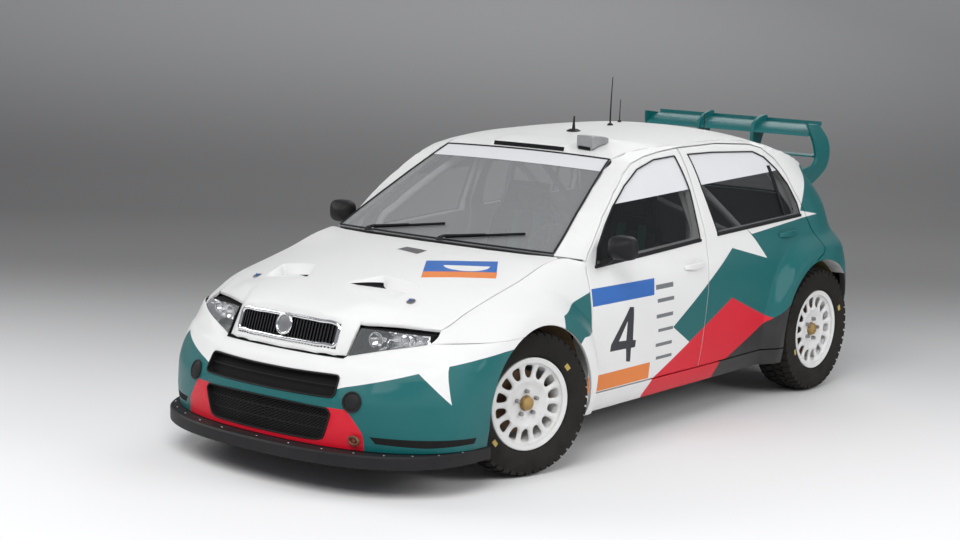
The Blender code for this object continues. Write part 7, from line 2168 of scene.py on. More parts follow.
@dataclass
class Windscreen:
    """Windscreen with its sunstrip, edge seal and two wipers, each with its blade's two ends."""
    pane: float = 0.005
    strip: float = 0.10
    seal_radius: float = 0.0045
    wipers: tuple[Points, ...] = (((0.10, 0.012), (0.62, 0.090)), ((-0.52, 0.012), (0.00, 0.090)))

    def surfaces(self, proud: float = 0.0) -> tuple[Surface, Surface]:
        """Outer and inner face over (across, place along the car), bowed forwards at its foot.

        Args:
            proud: distance out of the skin.

        Returns:
            Outer and inner surface.
        """
        hull = HULL
        rows = hull.top_line[:6, 0]

        def outer(p: Array) -> Array:
            """Bowed skin between the pillars.

            Args:
                p: points of the flat sheet, one a row.

            Returns:
                Points of the skin.
            """
            share, y = p[:, 0] / hull.half_width, p[:, 1]
            bow = 1 - share ** 2
            up = (y - rows[0]) / (rows[-1] - rows[0])
            edge = curve(hull.top_line, 1, y) - hull.seat_gap
            z = np.interp(y, hull.top_line[:, 0], hull.top_line[:, 2])
            skin = np.column_stack([share * edge, y - hull.glass_bow * (1 - up) * bow,
                                    z + hull.glass_rise * bow])
            return skin - proud * hull.edge_way(y)
        return outer, lambda p: outer(p) + self.pane * hull.edge_way(p[:, 1])

    def make(self) -> None:
        """Build the glass, its strip, its seal and its wipers."""
        hull = HULL
        rows = dense(hull.top_line[:6][:, [0, 2]], 0.03, closed=False)[:, 0]
        half = hull.half_width
        outline = np.array([*[(-half, y) for y in rows[::-1]], *[(half, y) for y in rows]])
        outer, inner = self.surfaces()
        top = rows[-1] - self.strip
        strip = np.array([(-2, top), (2, top), (2, 2), (-2, 2)])
        Panel("screen", outline, outer, inner, FINISHES.glass, fields=[(FINISHES.film, strip)],
              replaces=("windscreen",), step=0.05, ease=0.0).make()
        edge = dense(inset(outline, 0.008), 0.03)
        path = self.surfaces(proud=0.0015)[0](edge)
        BENCH.piece("screen_seal", sweep(path, self.seal_radius, 8, closed=True), FINISHES.plastic)
        self.make_wipers()

    def make_wipers(self) -> None:
        """Two wipers: an arm on its spindle, and a blade with its rubber, lying at the glass's foot."""
        hull = HULL
        foot = hull.top_line[0, 0]
        for k, (start, end) in enumerate(self.wipers):
            t = np.linspace(0, 1, 24)[:, None]
            flat = np.array(start) * (1 - t) + np.array(end) * t + (0, foot)
            blade = self.surfaces(proud=0.012)[0](flat)
            arm = self.surfaces(proud=0.022)[0](flat[:13] - (0, 0.004))
            pivot = arm[0] + (0, -0.035, -0.004)
            arm = smooth_path(np.vstack([pivot, arm[::3]]), 24)
            BENCH.piece(f"wiper_blade_{k}", ribbon(blade, (0, 0.5, 0.87), 0.010, 0.012), FINISHES.matt,
                        round_edge=0.002)
            BENCH.piece(f"wiper_arm_{k}", sweep(arm, np.linspace(0.008, 0.004, len(arm)), 10),
                        FINISHES.plastic)
            BENCH.piece(f"wiper_boss_{k}", placed(dome(0.016, 0.018, 6, 20),
                                                  facing(pivot - (0, 0, 0.012), (0, 0, 1))),
                        FINISHES.plastic)


# Wheels
@dataclass
class Wheel:
    """One wheel: pressed rim with windows, nuts, hub, brake disc and a tyre with block tread.

    Each row of tread blocks is its place, width, stagger and slant, these two in pitches.
    """
    name: str
    side: int
    front: bool
    rim_radius: float = 0.2065
    lip: float = 0.012
    windows: int = 14
    window_radius: float = 0.143
    window_size: tuple[float, float] = (0.058, 0.040)
    window_taper: float = 0.30
    nuts: int = 5
    nut_ring: float = 0.054
    hub_radius: float = 0.034
    disc_radius: float = 0.150
    disc_inset: float = 0.095
    disc_thickness: float = 0.028
    tyre_radius: float = 0.325
    tyre_width: float = 0.205
    bulge: float = 0.012
    steer: float = math.radians(15.8)
    phase: float = 0.3
    front_place: tuple[float, float, float] = (0.815, -1.068, 0.325)
    rear_place: tuple[float, float, float] = (0.836, 1.360, 0.325)
    hub_depth: float = 0.032
    wall_rings: Points = ((0.232, 0.0018), (0.290, 0.0020))
    wall_ring_height: float = 0.0014
    patch_radii: tuple[float, float] = (0.232, 0.252)
    patch_half_angle: float = math.radians(3.5)
    tread_depth: float = 0.009
    blocks: int = 46
    tread_rows: tuple[tuple[float, float, float, float], ...] = (
        (-0.074, 0.044, 0.5, 0.10), (-0.026, 0.036, 0.0, -0.22), (0.026, 0.036, 0.5, 0.22),
        (0.074, 0.044, 0.0, -0.10))

    def matrix(self) -> Matrix:
        """Frame of the wheel: its Z points outwards along the spin axis, its origin is the rim's face.

        Returns:
            The frame.
        """
        if self.front:
            inset_run = self.disc_inset + self.disc_thickness + 0.010
            x, y, z = self.front_place
            knuckle_x = self.side * (x - inset_run * math.cos(self.steer))
            face = Vector((knuckle_x + self.side * inset_run * math.cos(self.steer),
                           y - self.side * inset_run * math.sin(self.steer), z))
            steer = self.steer
        else:
            x, y, z = self.rear_place
            face, steer = Vector((self.side * x, y, z)), 0.0
        axis = Vector((self.side * math.cos(steer), -self.side * math.sin(steer), 0))
        turn = Vector((0, 0, 1)).rotation_difference(axis).to_matrix().to_4x4()
        return Matrix.Translation(face) @ turn

    def make(self) -> None:
        """Build the rim, the tyre and everything that turns with them."""
        self.body = f"{'front' if self.front else 'rear'}_wheel_{self.name}"
        self.label = f"{'front' if self.front else 'rear'}_{self.name}"
        self.at = self.matrix()
        self.make_rim()
        self.make_hub()
        self.make_tyre()
        self.make_tread()

    def piece(self, name: str, shape: tuple, finish: Finish, **more: object) -> bpy.types.Object:
        """Make a piece given in the wheel's own frame."""
        return BENCH.piece(f"{name}_{self.label}", placed(shape, self.at), finish, self.body, **more)

    def face_depth(self, r: Array) -> Array:
        """Depth of the pressed face at a radius: a raised ring, then a dish that falls to the hub.

        Args:
            r: radii.

        Returns:
            Depths behind the rim.
        """
        rise = 0.010 * np.exp(-((r - 0.108) / 0.020) ** 2)
        dish = np.interp(r, [0.0, self.nut_ring * 1.3, self.window_radius + 0.026, self.rim_radius - 0.012],
                         [-0.030, -0.030, -0.016, -0.006])
        return dish + rise

    def make_rim(self) -> None:
        """Pressed face with cut windows, joined to the barrel."""
        ring = self.rim_radius - 2 * self.lip + 0.002
        angles = 2 * math.pi * (np.arange(self.windows) + self.phase) / self.windows
        a, b = self.window_size
        u = np.linspace(0, 2 * math.pi, 28, endpoint=False)
        along = np.sign(np.cos(u)) * np.abs(np.cos(u)) ** 0.7
        shape = np.column_stack([along * a / 2, np.sign(np.sin(u)) * np.abs(np.sin(u)) ** 0.7 * b / 2
                                 * (1 + self.window_taper * along)])
        holes = [np.column_stack([(self.window_radius + shape[:, 0]) * math.cos(t)
                                  - shape[:, 1] * math.sin(t),
                                  (self.window_radius + shape[:, 0]) * math.sin(t)
                                  + shape[:, 1] * math.cos(t)])
                 for t in angles]
        circle = np.linspace(0, 2 * math.pi, 96, endpoint=False)
        outer_loop = ring * np.column_stack([np.cos(circle), np.sin(circle)])
        bore = self.hub_radius * np.column_stack([np.cos(circle[::4]), np.sin(circle[::4])])

        def top(p: Array) -> Array:
            """Outer face.

            Args:
                p: points of the flat sheet, one a row.

            Returns:
                Points of the face.
            """
            r = np.hypot(p[:, 0], p[:, 1])
            near = np.min([distance(hole, p) for hole in holes], axis=0)
            z = self.face_depth(r) - 0.004 * np.exp(-(near / 0.004) ** 2)
            return (np.column_stack([p, z]) @ self.turn().T) + self.origin()

        def low(p: Array) -> Array:
            """Inner face."""
            return top(p) - self.turn()[:, 2] * 0.006
        Panel(f"rim_face_{self.label}", outer_loop, top, low, FINISHES.wheel, self.body, holes=[bore, *holes],
              replaces=(f"rim_{self.label}",), step=0.011, ease=0.0015).make()
        lip, r, deep = self.lip, self.rim_radius, self.tyre_width - 2 * self.lip
        profile = [(r - 2 * lip + 0.001, -0.004), (r - lip, -0.001), (r - 0.004, 0.0015), (r, -0.001),
                   (r, -lip), (r - 1.6 * lip, -lip * 2.5), (r - 3 * lip, -deep / 2),
                   (r - 2 * lip, -deep + lip), (r, -deep), (r - lip, -deep),
                   (r - 2 * lip - 0.006, -deep + lip), (r - 3 * lip - 0.006, -deep / 2),
                   (r - 3 * lip - 0.004, -lip * 3.2), (r - 2 * lip - 0.003, -lip * 1.6)]
        self.piece("rim_barrel", revolve(profile, 96), FINISHES.wheel)

    def turn(self) -> Array:
        """Rotation of the wheel's frame."""
        return np.array(self.at)[:3, :3]

    def origin(self) -> Array:
        """Origin of the wheel's frame."""
        return np.array(self.at)[:3, 3]

    def make_hub(self) -> None:
        """Gold hub with its cap, wheel nuts, brake disc and bell."""
        hub = [(0.0008, -0.034), (self.hub_radius - 0.002, -0.034), (self.hub_radius, -0.026),
               (self.hub_radius - 0.006, -0.010), (self.hub_radius - 0.012, -0.006), (0.0008, -0.004)]
        self.piece("hub", revolve(hub, 40), FINISHES.gold)
        shapes = []
        for k in range(self.nuts):
            t = 2 * math.pi * (k + self.phase) / self.nuts
            u = np.arange(6) * math.pi / 3
            rows = [(0.0100, -0.034), (0.0100, -0.014), (0.0085, -0.011), (0.0045, -0.0105)]
            grid = np.stack([np.column_stack([self.nut_ring * math.cos(t) + r * np.cos(u),
                                              self.nut_ring * math.sin(t) + r * np.sin(u), 0 * u + h])
                             for r, h in rows])
            shapes.append(capped(grid))
        self.piece("wheel_nuts", merged(shapes), FINISHES.steel, round_edge=0.0008)
        d, t = self.disc_inset - self.hub_depth, self.disc_thickness * 0.5
        bell = self.nut_ring * 1.5
        r = self.disc_radius
        disc = [(bell - 0.012, -d), (bell, -d), (bell + 0.004, -d - 0.010), (r - 0.012, -d - 0.010),
                (r - 0.010, -d - 0.012), (r - 0.010, -d - 0.010 - t), (bell, -d - 0.010 - t),
                (bell - 0.012, -d - t)]
        self.piece("brake_disc", revolve(disc, 72), FINISHES.rust)
        back = self.disc_inset + self.disc_thickness + 0.008
        seat = [(0.0008, -0.036), (bell - 0.014, -0.036), (bell - 0.014, -back + 0.002),
                (0.0008, -back + 0.002)]
        self.piece("bell", revolve(seat, 40), FINISHES.alloy, round_edge=0.001)

    def section(self) -> Array:
        """Half section of the tyre, (radius, distance from its middle), from the bead to the tread's edge.

        Returns:
            The points.
        """
        wide, bulge = self.tyre_width / 2, self.bulge
        low, tread = self.rim_radius + 0.0006, self.tyre_radius - self.tread_depth
        knots = np.array([(low, wide - bulge - self.lip, 0), (low + 0.004, wide - 0.014, 0),
                          (low + bulge, wide - 0.006, 0), (low + 3 * bulge, wide - 0.0005, 0),
                          (low + 5 * bulge, wide - 0.001, 0), (tread - 1.5 * bulge, wide - 0.007, 0),
                          (tread - bulge / 2, wide - 0.016, 0), (tread, wide - 0.034, 0)])
        return smooth_path(knots, 30)[:, :2]

    def make_tyre(self) -> None:
        """Carcass with its bead, bulged wall, two rings on the wall and a plain band under the blocks."""
        half = self.section()
        ridge = self.wall_ring_height * sum(np.exp(-((half[:, 0] - middle) / width) ** 2)
                                            for middle, width in self.wall_rings)
        half = half + np.column_stack([0 * ridge, ridge])
        middle = -(self.tyre_width - 2 * self.lip) / 2
        outer = np.column_stack([half[:, 0], middle + half[:, 1]])
        inner = np.column_stack([half[::-1, 0], middle - half[::-1, 1]])
        self.piece("tyre_carcass", revolve(np.vstack([outer, inner]), 112), FINISHES.rubber,
                   replaces=(f"tyre_{self.label}",), sharp=60)
        for k in range(2):
            self.make_patch(k, middle)

    def make_patch(self, k: int, middle: float) -> None:
        """Yellow patch on the outer wall: a thin arc laid on the wall's curve.

        Args:
            k: number of the patch.
            middle: place of the wall along the axle.
        """
        half = self.section()
        keep = (half[:, 0] > 0.228) & (half[:, 0] < 0.284)
        r = np.linspace(*self.patch_radii, 8)
        depth = np.interp(r, half[keep, 0], half[keep, 1]) + middle + 0.0006
        t = math.pi * (k + 0.62) + np.linspace(-self.patch_half_angle, self.patch_half_angle, 14)
        face = np.stack([np.outer(np.cos(t), r), np.outer(np.sin(t), r), np.broadcast_to(depth, (14, 8))],
                        axis=-1)
        under = face - (0, 0, 0.0012)
        rim = np.concatenate([face, under[::-1]])
        points, quads = loft(rim, close_u=True)
        n = len(rim)
        ends = [[i * 8 + j for i in range(n)][::(1 if j else -1)] for j in (0, 7)]
        self.piece(f"tyre_patch_{k}", (points, [*quads.tolist(), *ends]), FINISHES.yellow)

    def make_tread(self) -> None:
        """Four rings of tread blocks, the outer ones round the shoulder, staggered between rings."""
        top, foot = self.tyre_radius - 0.0006, self.tyre_radius - self.tread_depth - 0.003
        middle = -(self.tyre_width - 2 * self.lip) / 2
        shapes = []
        pitch = 2 * math.pi / self.blocks
        for place, width, stagger, slant in self.tread_rows:
            for k in range(self.blocks):
                t0 = (k + stagger) * pitch
                ring = []
                for r in (foot, top):
                    for dt, dz in ((-0.36, -0.5), (0.36, -0.5), (0.36, 0.5), (-0.36, 0.5)):
                        t = t0 + dt * pitch + slant * pitch * dz
                        shoulder = abs(place) > 0.05 and dz * place > 0
                        drop = (0.010 if r == top else 0.022) if shoulder else 0.0
                        ring.append(((r - drop) * math.cos(t), (r - drop) * math.sin(t),
                                     middle + place + dz * width))
                grid = np.array(ring).reshape(2, 4, 3)
                shapes.append(capped(grid))
        self.piece("tread_blocks", merged(shapes), FINISHES.rubber, sharp=20)


@dataclass
class Wheels:
    """The four wheels, and the calipers behind the front rims."""

    def make(self) -> None:
        """Build each wheel."""
        for side, word in SIDES:
            for front in (True, False):
                wheel = Wheel(word, side, front)
                wheel.make()
                self.make_caliper(wheel)

    def make_caliper(self, wheel: Wheel) -> None:
        """Caliper over the disc's rear edge, held by the knuckle or the axle.

        Args:
            wheel: the wheel it belongs to.
        """
        body = f"front_upright_{wheel.name}" if wheel.front else "body"
        forward = wheel.at.to_3x3().inverted() @ Vector((0, 1 if wheel.front else -1, 0))
        middle = math.atan2(forward.y, forward.x)
        t = middle + np.linspace(-0.42, 0.42, 16)
        d = wheel.disc_inset - wheel.hub_depth
        rows = [(0.104, -d + 0.006), (0.150, -d + 0.006), (0.1545, -d + 0.001), (0.1545, -d - 0.040),
                (0.150, -d - 0.046), (0.104, -d - 0.046), (0.104, -d - 0.032), (0.1445, -d - 0.030),
                (0.1445, -d - 0.004), (0.104, -d - 0.002)]
        grid = np.stack([np.column_stack([np.full(len(rows), math.cos(a)) * [r for r, _ in rows],
                                          np.full(len(rows), math.sin(a)) * [r for r, _ in rows],
                                          [h for _, h in rows]]) for a in t])
        BENCH.piece(f"caliper_{wheel.label}", placed(capped(grid), wheel.at), FINISHES.rust, body,
                    round_edge=0.002)


# Lamps, intakes and the splitter
@dataclass
class FrontEnd:
    """Headlamps, intake mesh, fog covers, tow hook and splitter; lamp cups are (x, z, radius)."""
    bright: Points = ((0.47, 0.55), (0.72, 0.55), (0.72, 0.75), (0.50, 0.75))
    cups: tuple[tuple[float, float, float], ...] = ((0.438, 0.640, 0.035), (0.560, 0.649, 0.025))
    bowl_depth: float = 0.055
    lens_wall: float = 0.0035
    duct_sink: float = 0.034
    mesh_sink: float = 0.018
    mesh_pitch: float = 0.013
    wire: float = 0.0012
    fog_spots: Points = ((0.266, 0.406), (0.276, 0.406), (0.266, 0.416))
    fog_radius: float = 0.040
    tow_spot: tuple[float, float] = (0.290, 0.246)
    splitter_z: float = 0.143
    splitter_lip: float = 0.070
    rivets: int = 15

    def make(self) -> None:
        """Build the front end's details."""
        self.make_headlamps()
        self.make_intakes()
        self.make_splitter()
        self.make_fog_covers()
        self.make_tow_hook()

    def make_headlamps(self) -> None:
        """Each lamp: a dark bowl, two chrome reflectors with their bulb caps, and a clear lens."""
        hull = HULL
        loop = np.vstack([hull.head_foot(), scaled(LAMP_TOP_SHARES, hull.half_width, hull.height)])
        loop = inset(loop, 0.0012)

        def skin(depth: float) -> Surface:
            """Skin at a depth."""
            return lambda p: np.column_stack([p[:, 0], hull.nose_y(p[:, 0], p[:, 1]) + depth, p[:, 1]])

        def bowl(p: Array) -> Array:
            """Bowl of the reflector."""
            deep = self.bowl_depth * (1 - fade(distance(loop, p), 0.002, 0.022))
            return skin(0.008)(p) + np.column_stack([-0.2 * deep, deep, 0 * deep])
        for side, word in SIDES:
            Panel("lamp_bowl_" + word, loop, mirrored(bowl, side), mirrored(skin(0.085), side), FINISHES.matt,
                  fields=[(FINISHES.chrome, np.array(self.bright))], replaces=("headlamp_" + word,),
                  step=0.010, ease=0.0).make()
            Panel("lamp_lens_" + word, loop, mirrored(skin(0.0), side),
                  mirrored(skin(self.lens_wall), side), FINISHES.lens, step=0.016, ease=0.001).make()
            for k, (x, z, r) in enumerate(self.cups):
                y = float(hull.nose_y(np.array([x]), np.array([z]))[0])
                frame_at = facing((x * side, y + 0.034, z), (0.16 * side, -1, 0.05))
                cup = np.vstack([arc((0.0, 0.0), r, 0, 0, 1), [(r, 0.004), (r - 0.003, 0.004)],
                                 [(r * s, -0.024 * (1 - s ** 2)) for s in np.linspace(0.92, 0.05, 10)],
                                 [(r * 0.05, -0.027), (r, -0.027)]])
                BENCH.piece(f"lamp_cup_{word}_{k}", placed(revolve(cup, 36), frame_at), FINISHES.chrome)
                BENCH.piece(f"lamp_bulb_{word}_{k}", placed(dome(r * 0.32, 0.014, 6, 20),
                                                           frame_at @ Matrix.Translation((0, 0, -0.022))),
                            FINISHES.steel if k else FINISHES.glass)

    def make_intakes(self) -> None:
        """Dark ducts behind both intakes, wire mesh in the lower one and a bar in the upper one."""
        hull = HULL
        for k, loop in enumerate(Shell.intakes()):
            back = hull.bumper(End.FRONT, 0.0, proud=-self.duct_sink)[0]
            behind = hull.bumper(End.FRONT, 0.0, proud=-self.duct_sink - 0.004)[0]
            Panel(f"duct_{k}", inset(loop, -0.010), back, behind, FINISHES.matt, step=0.04, ease=0.0).make()
            low, high = loop.min(axis=0), loop.max(axis=0)
            face = hull.bumper(End.FRONT, 0.0, proud=-self.mesh_sink)[0]
            shapes = []
            if k:
                rise = high[1] - low[1]
                for lean in (1, -1):
                    for start in np.arange(low[0] - rise, high[0] + rise, self.mesh_pitch):
                        t = np.linspace(0, 1, 30)
                        line = np.column_stack([start + lean * rise * (t - 0.5), low[1] + rise * t])
                        line = line[inside(inset(loop, -0.003), line)]
                        if len(line) > 3:
                            shapes.append(sweep(face(line), self.wire, 5))
            rows = np.linspace(low[1], high[1], 4 if k else 3)[1:-1]
            for z in rows:
                x = np.linspace(low[0] - 0.004, high[0] + 0.004, 60)
                line = np.column_stack([x, 0 * x + z])
                line = line[inside(inset(loop, -0.003), line)]
                shapes.append(sweep(face(line), 0.0022, 8))
            BENCH.piece(f"intake_mesh_{k}", merged(shapes), FINISHES.plastic)
            rim = hull.bumper(End.FRONT, 0.0, proud=0.0)[0](dense(inset(loop, 0.001), 0.012))
            BENCH.piece(f"intake_rim_{k}", sweep(rim, 0.0035, 8, closed=True), FINISHES.plastic)

    def make_splitter(self) -> None:
        """Splitter board with an eased edge, and rivets along its top."""
        hull = HULL
        run = np.linspace(-hull.corner_run * 1.03, hull.corner_run * 1.03, 81)
        edge = hull.wrap(run, np.full(81, hull.bumper_foot_z), End.FRONT)[:, :2]
        share = (1 - (np.abs(run) / hull.corner_run)[:, None] ** 4 * 0.8)
        tongue = np.array([0, -1]) * self.splitter_lip * share
        back = edge[-1, 1] + 0.0035
        loop = np.vstack([edge + tongue, [(edge[-1, 0], back), (edge[0, 0], back)]])

        def level(z: float) -> Surface:
            """Flat surface at a height."""
            return lambda p: np.column_stack([p[:, 0], p[:, 1], 0 * p[:, 0] + z])
        Panel("splitter", loop, level(hull.bumper_foot_z - 0.0003), level(self.splitter_z), FINISHES.lip,
              replaces=("front_splitter",), step=0.04, ease=0.007).make()
        shapes = []
        for k in np.linspace(6, 74, self.rivets).astype(int):
            spot = (*(edge + tongue * 0.45)[k], hull.bumper_foot_z - 0.001)
            shapes.append(placed(dome(0.0055, 0.0035, 4, 12), facing(spot, (0, 0, 1))))
        BENCH.piece("splitter_rivets", merged(shapes), FINISHES.steel)

    def make_fog_covers(self) -> None:
        """Plain round covers beside the intakes."""
        face = HULL.bumper(End.FRONT, 0.0)[0]
        for side, word in SIDES:
            spot, near, over = face(np.array(self.fog_spots)) * (side, 1, 1)
            way = np.cross(near - spot, over - spot) * side
            frame_at = facing(spot, way)
            ring = revolve(arc((self.fog_radius, 0.001), 0.005, 0, 330, 10), 40)
            BENCH.piece(f"fog_ring_{word}", placed(ring, frame_at), FINISHES.plastic)
            BENCH.piece(f"fog_cover_{word}", placed(dome(self.fog_radius - 0.003, 0.008, 6, 40), frame_at),
                        FINISHES.plastic)

    def make_tow_hook(self) -> None:
        """Eye on a shank beside the lower intake."""
        spot = HULL.bumper(End.FRONT, 0.0)[0](np.array([self.tow_spot]))[0]
        t = np.linspace(0, 2 * math.pi, 28, endpoint=False)
        loop = spot + np.column_stack([0.026 * np.cos(t), -0.012 + 0 * t, 0.017 * np.sin(t)])
        shank = np.array([spot + (0, 0.030, 0), spot + (0, 0.010, 0), spot + (0, -0.012, 0.0)])
        shape = merged([sweep(loop, 0.006, 10, closed=True), sweep(shank, 0.008, 12)])
        BENCH.piece("tow_eye", shape, FINISHES.rust, sharp=60)


@dataclass
class Roof:
    """Roof scoop's mouth as a strip of painted shade, vent box and aerials, these with x, y, height, foot
    radius and tip radius.
    """
    mouth_half: float = 0.215
    vent_seat: float = 0.0008
    vent_taper: float = 0.25
    vent_drop: float = 0.016
    aerials: tuple[tuple[str, float, float, float, float, float], ...] = (
        ("cone", 0.006, 0.273, 0.075, 0.011, 0.004), ("mast", 0.028, 0.565, 0.238, 0.0050, 0.0022),
        ("whip", -0.114, 0.850, 0.120, 0.0035, 0.0018), ("rod", 0.194, 1.199, 0.090, 0.0032, 0.0018))

    @staticmethod
    def on_roof(x: float, y: float) -> Array:
        """Point of the roof's skin."""
        return HULL.roof()[0](np.array([[x, y]]))[0]

    def make(self) -> None:
        """Build the roof's pieces."""
        hull = HULL
        # painted shade: a matt black strip on the scoop's closed lip stands for the shaded inside of its
        # mouth
        flat = np.column_stack([np.linspace(-self.mouth_half, self.mouth_half, 48),
                                np.full(48, hull.scoop_front + 0.0026)])
        path = hull.roof()[0](flat) + (0, -0.0006, 0.001)
        BENCH.piece("scoop_mouth_shade", ribbon(path, (0, 0.24, 0.97), 0.020, 0.003), FINISHES.matt)
        self.make_vent()
        self.make_aerials()

    def make_vent(self) -> None:
        """Vent box beside the scoop: a silver hood, rounded at its rear, with a matt black strip of painted
        shade for its mouth.
        """
        low, high = scaled(ROOF_VENT_SHARES, HULL.half_width, HULL.length, HULL.height)
        t = np.linspace(0, 1, 18)
        grid = []
        for s in t:
            y = low[1] + (high[1] - low[1]) * s
            width = 1 - self.vent_taper * s ** 3
            middle = (low[0] + high[0]) / 2
            foot_in, foot_out = (self.on_roof(x, y)[2] + self.vent_seat for x in (low[0], high[0]))
            top = high[2] - self.vent_drop * s ** 2
            half = (high[0] - low[0]) / 2 * width
            corners = [(middle - half, foot_in), (middle + half, foot_out), (middle + half, top - 0.004),
                       (middle + half - 0.006, top), (middle - half + 0.006, top), (middle - half, top)]
            ring = rounded(corners, 1, 0.15)
            grid.append(np.column_stack([ring[:, 0], np.full(len(ring), y), ring[:, 1]]))
        BENCH.piece("vent_box", capped(np.array(grid)), FINISHES.alloy, replaces=("roof_vent",))
        # painted shade: a matt black strip on the closed box stands for the shaded inside of its mouth
        front = self.on_roof((low[0] + high[0]) / 2, low[1])
        mouth = np.array([(low[0] + 0.010, low[1] - 0.001, front[2] + 0.014),
                          (high[0] - 0.012, low[1] - 0.001, front[2] + 0.010)])
        BENCH.piece("vent_mouth_shade", ribbon(mouth, (0, 0, 1), 0.016, 0.003), FINISHES.matt)

    def make_aerials(self) -> None:
        """Cone, main mast on a forked foot, thin mast and rear rod."""
        x, y, top = scaled(AERIAL_SHARES, HULL.half_width, HULL.length, HULL.height)[0]
        for name, px, py, height, foot, tip in self.aerials:
            if name == "mast":
                px, py = x, y
                height = top - self.on_roof(x, y)[2] - 0.001
            base = self.on_roof(px, py)
            t = np.linspace(0, 1, 14)
            path = base + np.column_stack([0 * t, 0.05 * height * t ** 2, 0.0005 + height * t])
            radius = foot + (tip - foot) * t ** 0.6
            BENCH.piece(f"aerial_{name}", sweep(path, radius, 12), FINISHES.plastic,
                        replaces=("roof_aerial",) if name == "mast" else ())
            puck = revolve([(0.001, -0.002), (foot * 3.2, -0.002), (foot * 3.2, 0.003), (foot * 2.0, 0.010),
                            (0.001, 0.012)], 28)
            BENCH.piece(f"aerial_foot_{name}", placed(puck, facing(base, (0, -0.05, 1))), FINISHES.plastic)


@dataclass
class Wing:
    """Roof wing on the tailgate: cambered planes, curved end plates and two supports."""
    half_span: float = 0.530
    front_y: float = 1.725
    rear_y: float = 1.870
    z: float = 1.303
    rise: float = 0.055
    thickness: float = 0.022
    wall: float = 0.018
    camber: float = 0.004
    plate_bulge: float = 0.020
    plate_drop: float = 0.085
    plate_run: float = 0.150
    lower_front: float = 0.0855
    lower_rear: float = 0.0095
    lower_drop: float = 0.118
    lip_height: float = 0.020
    body: str = "tailgate_body"

    def plate_x(self, z: Array) -> Array:
        """Half width of an end plate at a height: half span + bulge (1 - ((z - middle) / run)²)."""
        middle = self.z - self.plate_drop
        return self.half_span + self.plate_bulge * (1 - ((z - middle) / self.plate_run) ** 2)

    def section(self, front: float, rear: float, level: float, rise: float, thick: float) -> Array:
        """Closed section over (y, z): lower line with a slight camber, upper line over it.

        Args:
            front: front edge over (y, z).
            rear: rear edge over (y, z).
            level: height of the chord.
            rise: rise of the chord to the rear.
            thick: thickness.

        Returns:
            The closed section over (y, z).
        """
        s = (1 - np.cos(np.linspace(0, math.pi, 22))) / 2
        y = front + (rear - front) * s
        low = level + rise * s - self.camber * np.sin(math.pi * s)
        nose = np.minimum(1, s * 9 + 0.4)
        high = level + rise * s + thick * (0.25 + 0.75 * np.sin(math.pi * s ** 0.7)) * nose
        return np.vstack([np.column_stack([y, low]), np.column_stack([y, high])[::-1]])

    def plane(self, name: str, loop: Array, finish: Finish, **more: object) -> None:
        """Make a plane: its section carried across the car.

        Args:
            name: name of the piece.
            loop: outline of the piece.
            finish: the finish.
            more: further settings of the piece.
        """
        x = np.linspace(-self.half_span, self.half_span, 25)
        grid = np.stack([np.column_stack([np.full(len(loop), place), loop]) for place in x])
        BENCH.piece(name, capped(grid), finish, self.body, sharp=50, **more)

    def seat(self, half_width: Callable[[Array], Array], low: float, high: float) -> Array:
        """Points over (y, z) on the tailgate's skin between two heights."""
        z = np.linspace(low, high, 6) * HULL.height
        return np.column_stack([HULL.tail_y(half_width(z), z) + 0.0006, z])

    def make(self) -> None:
        """Build the planes, plates and supports."""
        hull = HULL
        self.plane("wing_plane", self.section(self.front_y, self.rear_y, self.z, self.rise, self.thickness),
                   FINISHES.teal, replaces=("rear_wing",))
        lower = self.section(self.rear_y - self.lower_front, self.rear_y + self.lower_rear,
                             self.z - self.lower_drop, 0.006, 0.012)
        self.plane("wing_lower_plane", lower, FINISHES.teal)
        front, rear, foot = self.rear_y - 0.004, self.rear_y - 0.0005, self.z + self.rise
        flap = np.array([(front, foot), (rear, foot), (rear, foot + self.lip_height),
                         (front, foot + self.lip_height)])
        self.plane("wing_lip", flap, FINISHES.teal)
        x = self.half_span / 3
        support = np.vstack([self.seat(lambda z: 0 * z + x - self.wall, 0.8115, 0.8345),
                             rounded_open(scaled(SUPPORT_SHARES, hull.length, hull.height))])
        plate = np.vstack([rounded_open(scaled(PLATE_REAR_SHARES, hull.length, hull.height)),
                           self.seat(lambda z: self.plate_x(z) - self.wall / 2, 0.7338, 0.8129),
                           rounded_open(scaled(PLATE_FRONT_SHARES, hull.length, hull.height))])
        rows = (("plate", plate, self.plate_x), ("support", support, lambda z: 0 * z + x))

        def skin(place: Callable[[Array], Array], off: float) -> Surface:
            """Upright face at a place across the car, moved outwards."""
            return lambda p: np.column_stack([place(p[:, 1]) + off, p])
        for name, outline, place in rows:
            for side, word in SIDES:
                skins = [mirrored(skin(place, off), side) for off in (self.wall / 2, -self.wall / 2)]
                Panel(f"wing_{name}_{word}", outline, skins[0], skins[1], FINISHES.teal, self.body, step=0.02,
                      ease=0.004).make()


def rounded_open(line: Array) -> Array:
    """The line drawn through its points as a smooth path."""
    flat = smooth_path(np.column_stack([line, 0 * line[:, 0]]), len(line) * 4)
    return flat[:, :2]


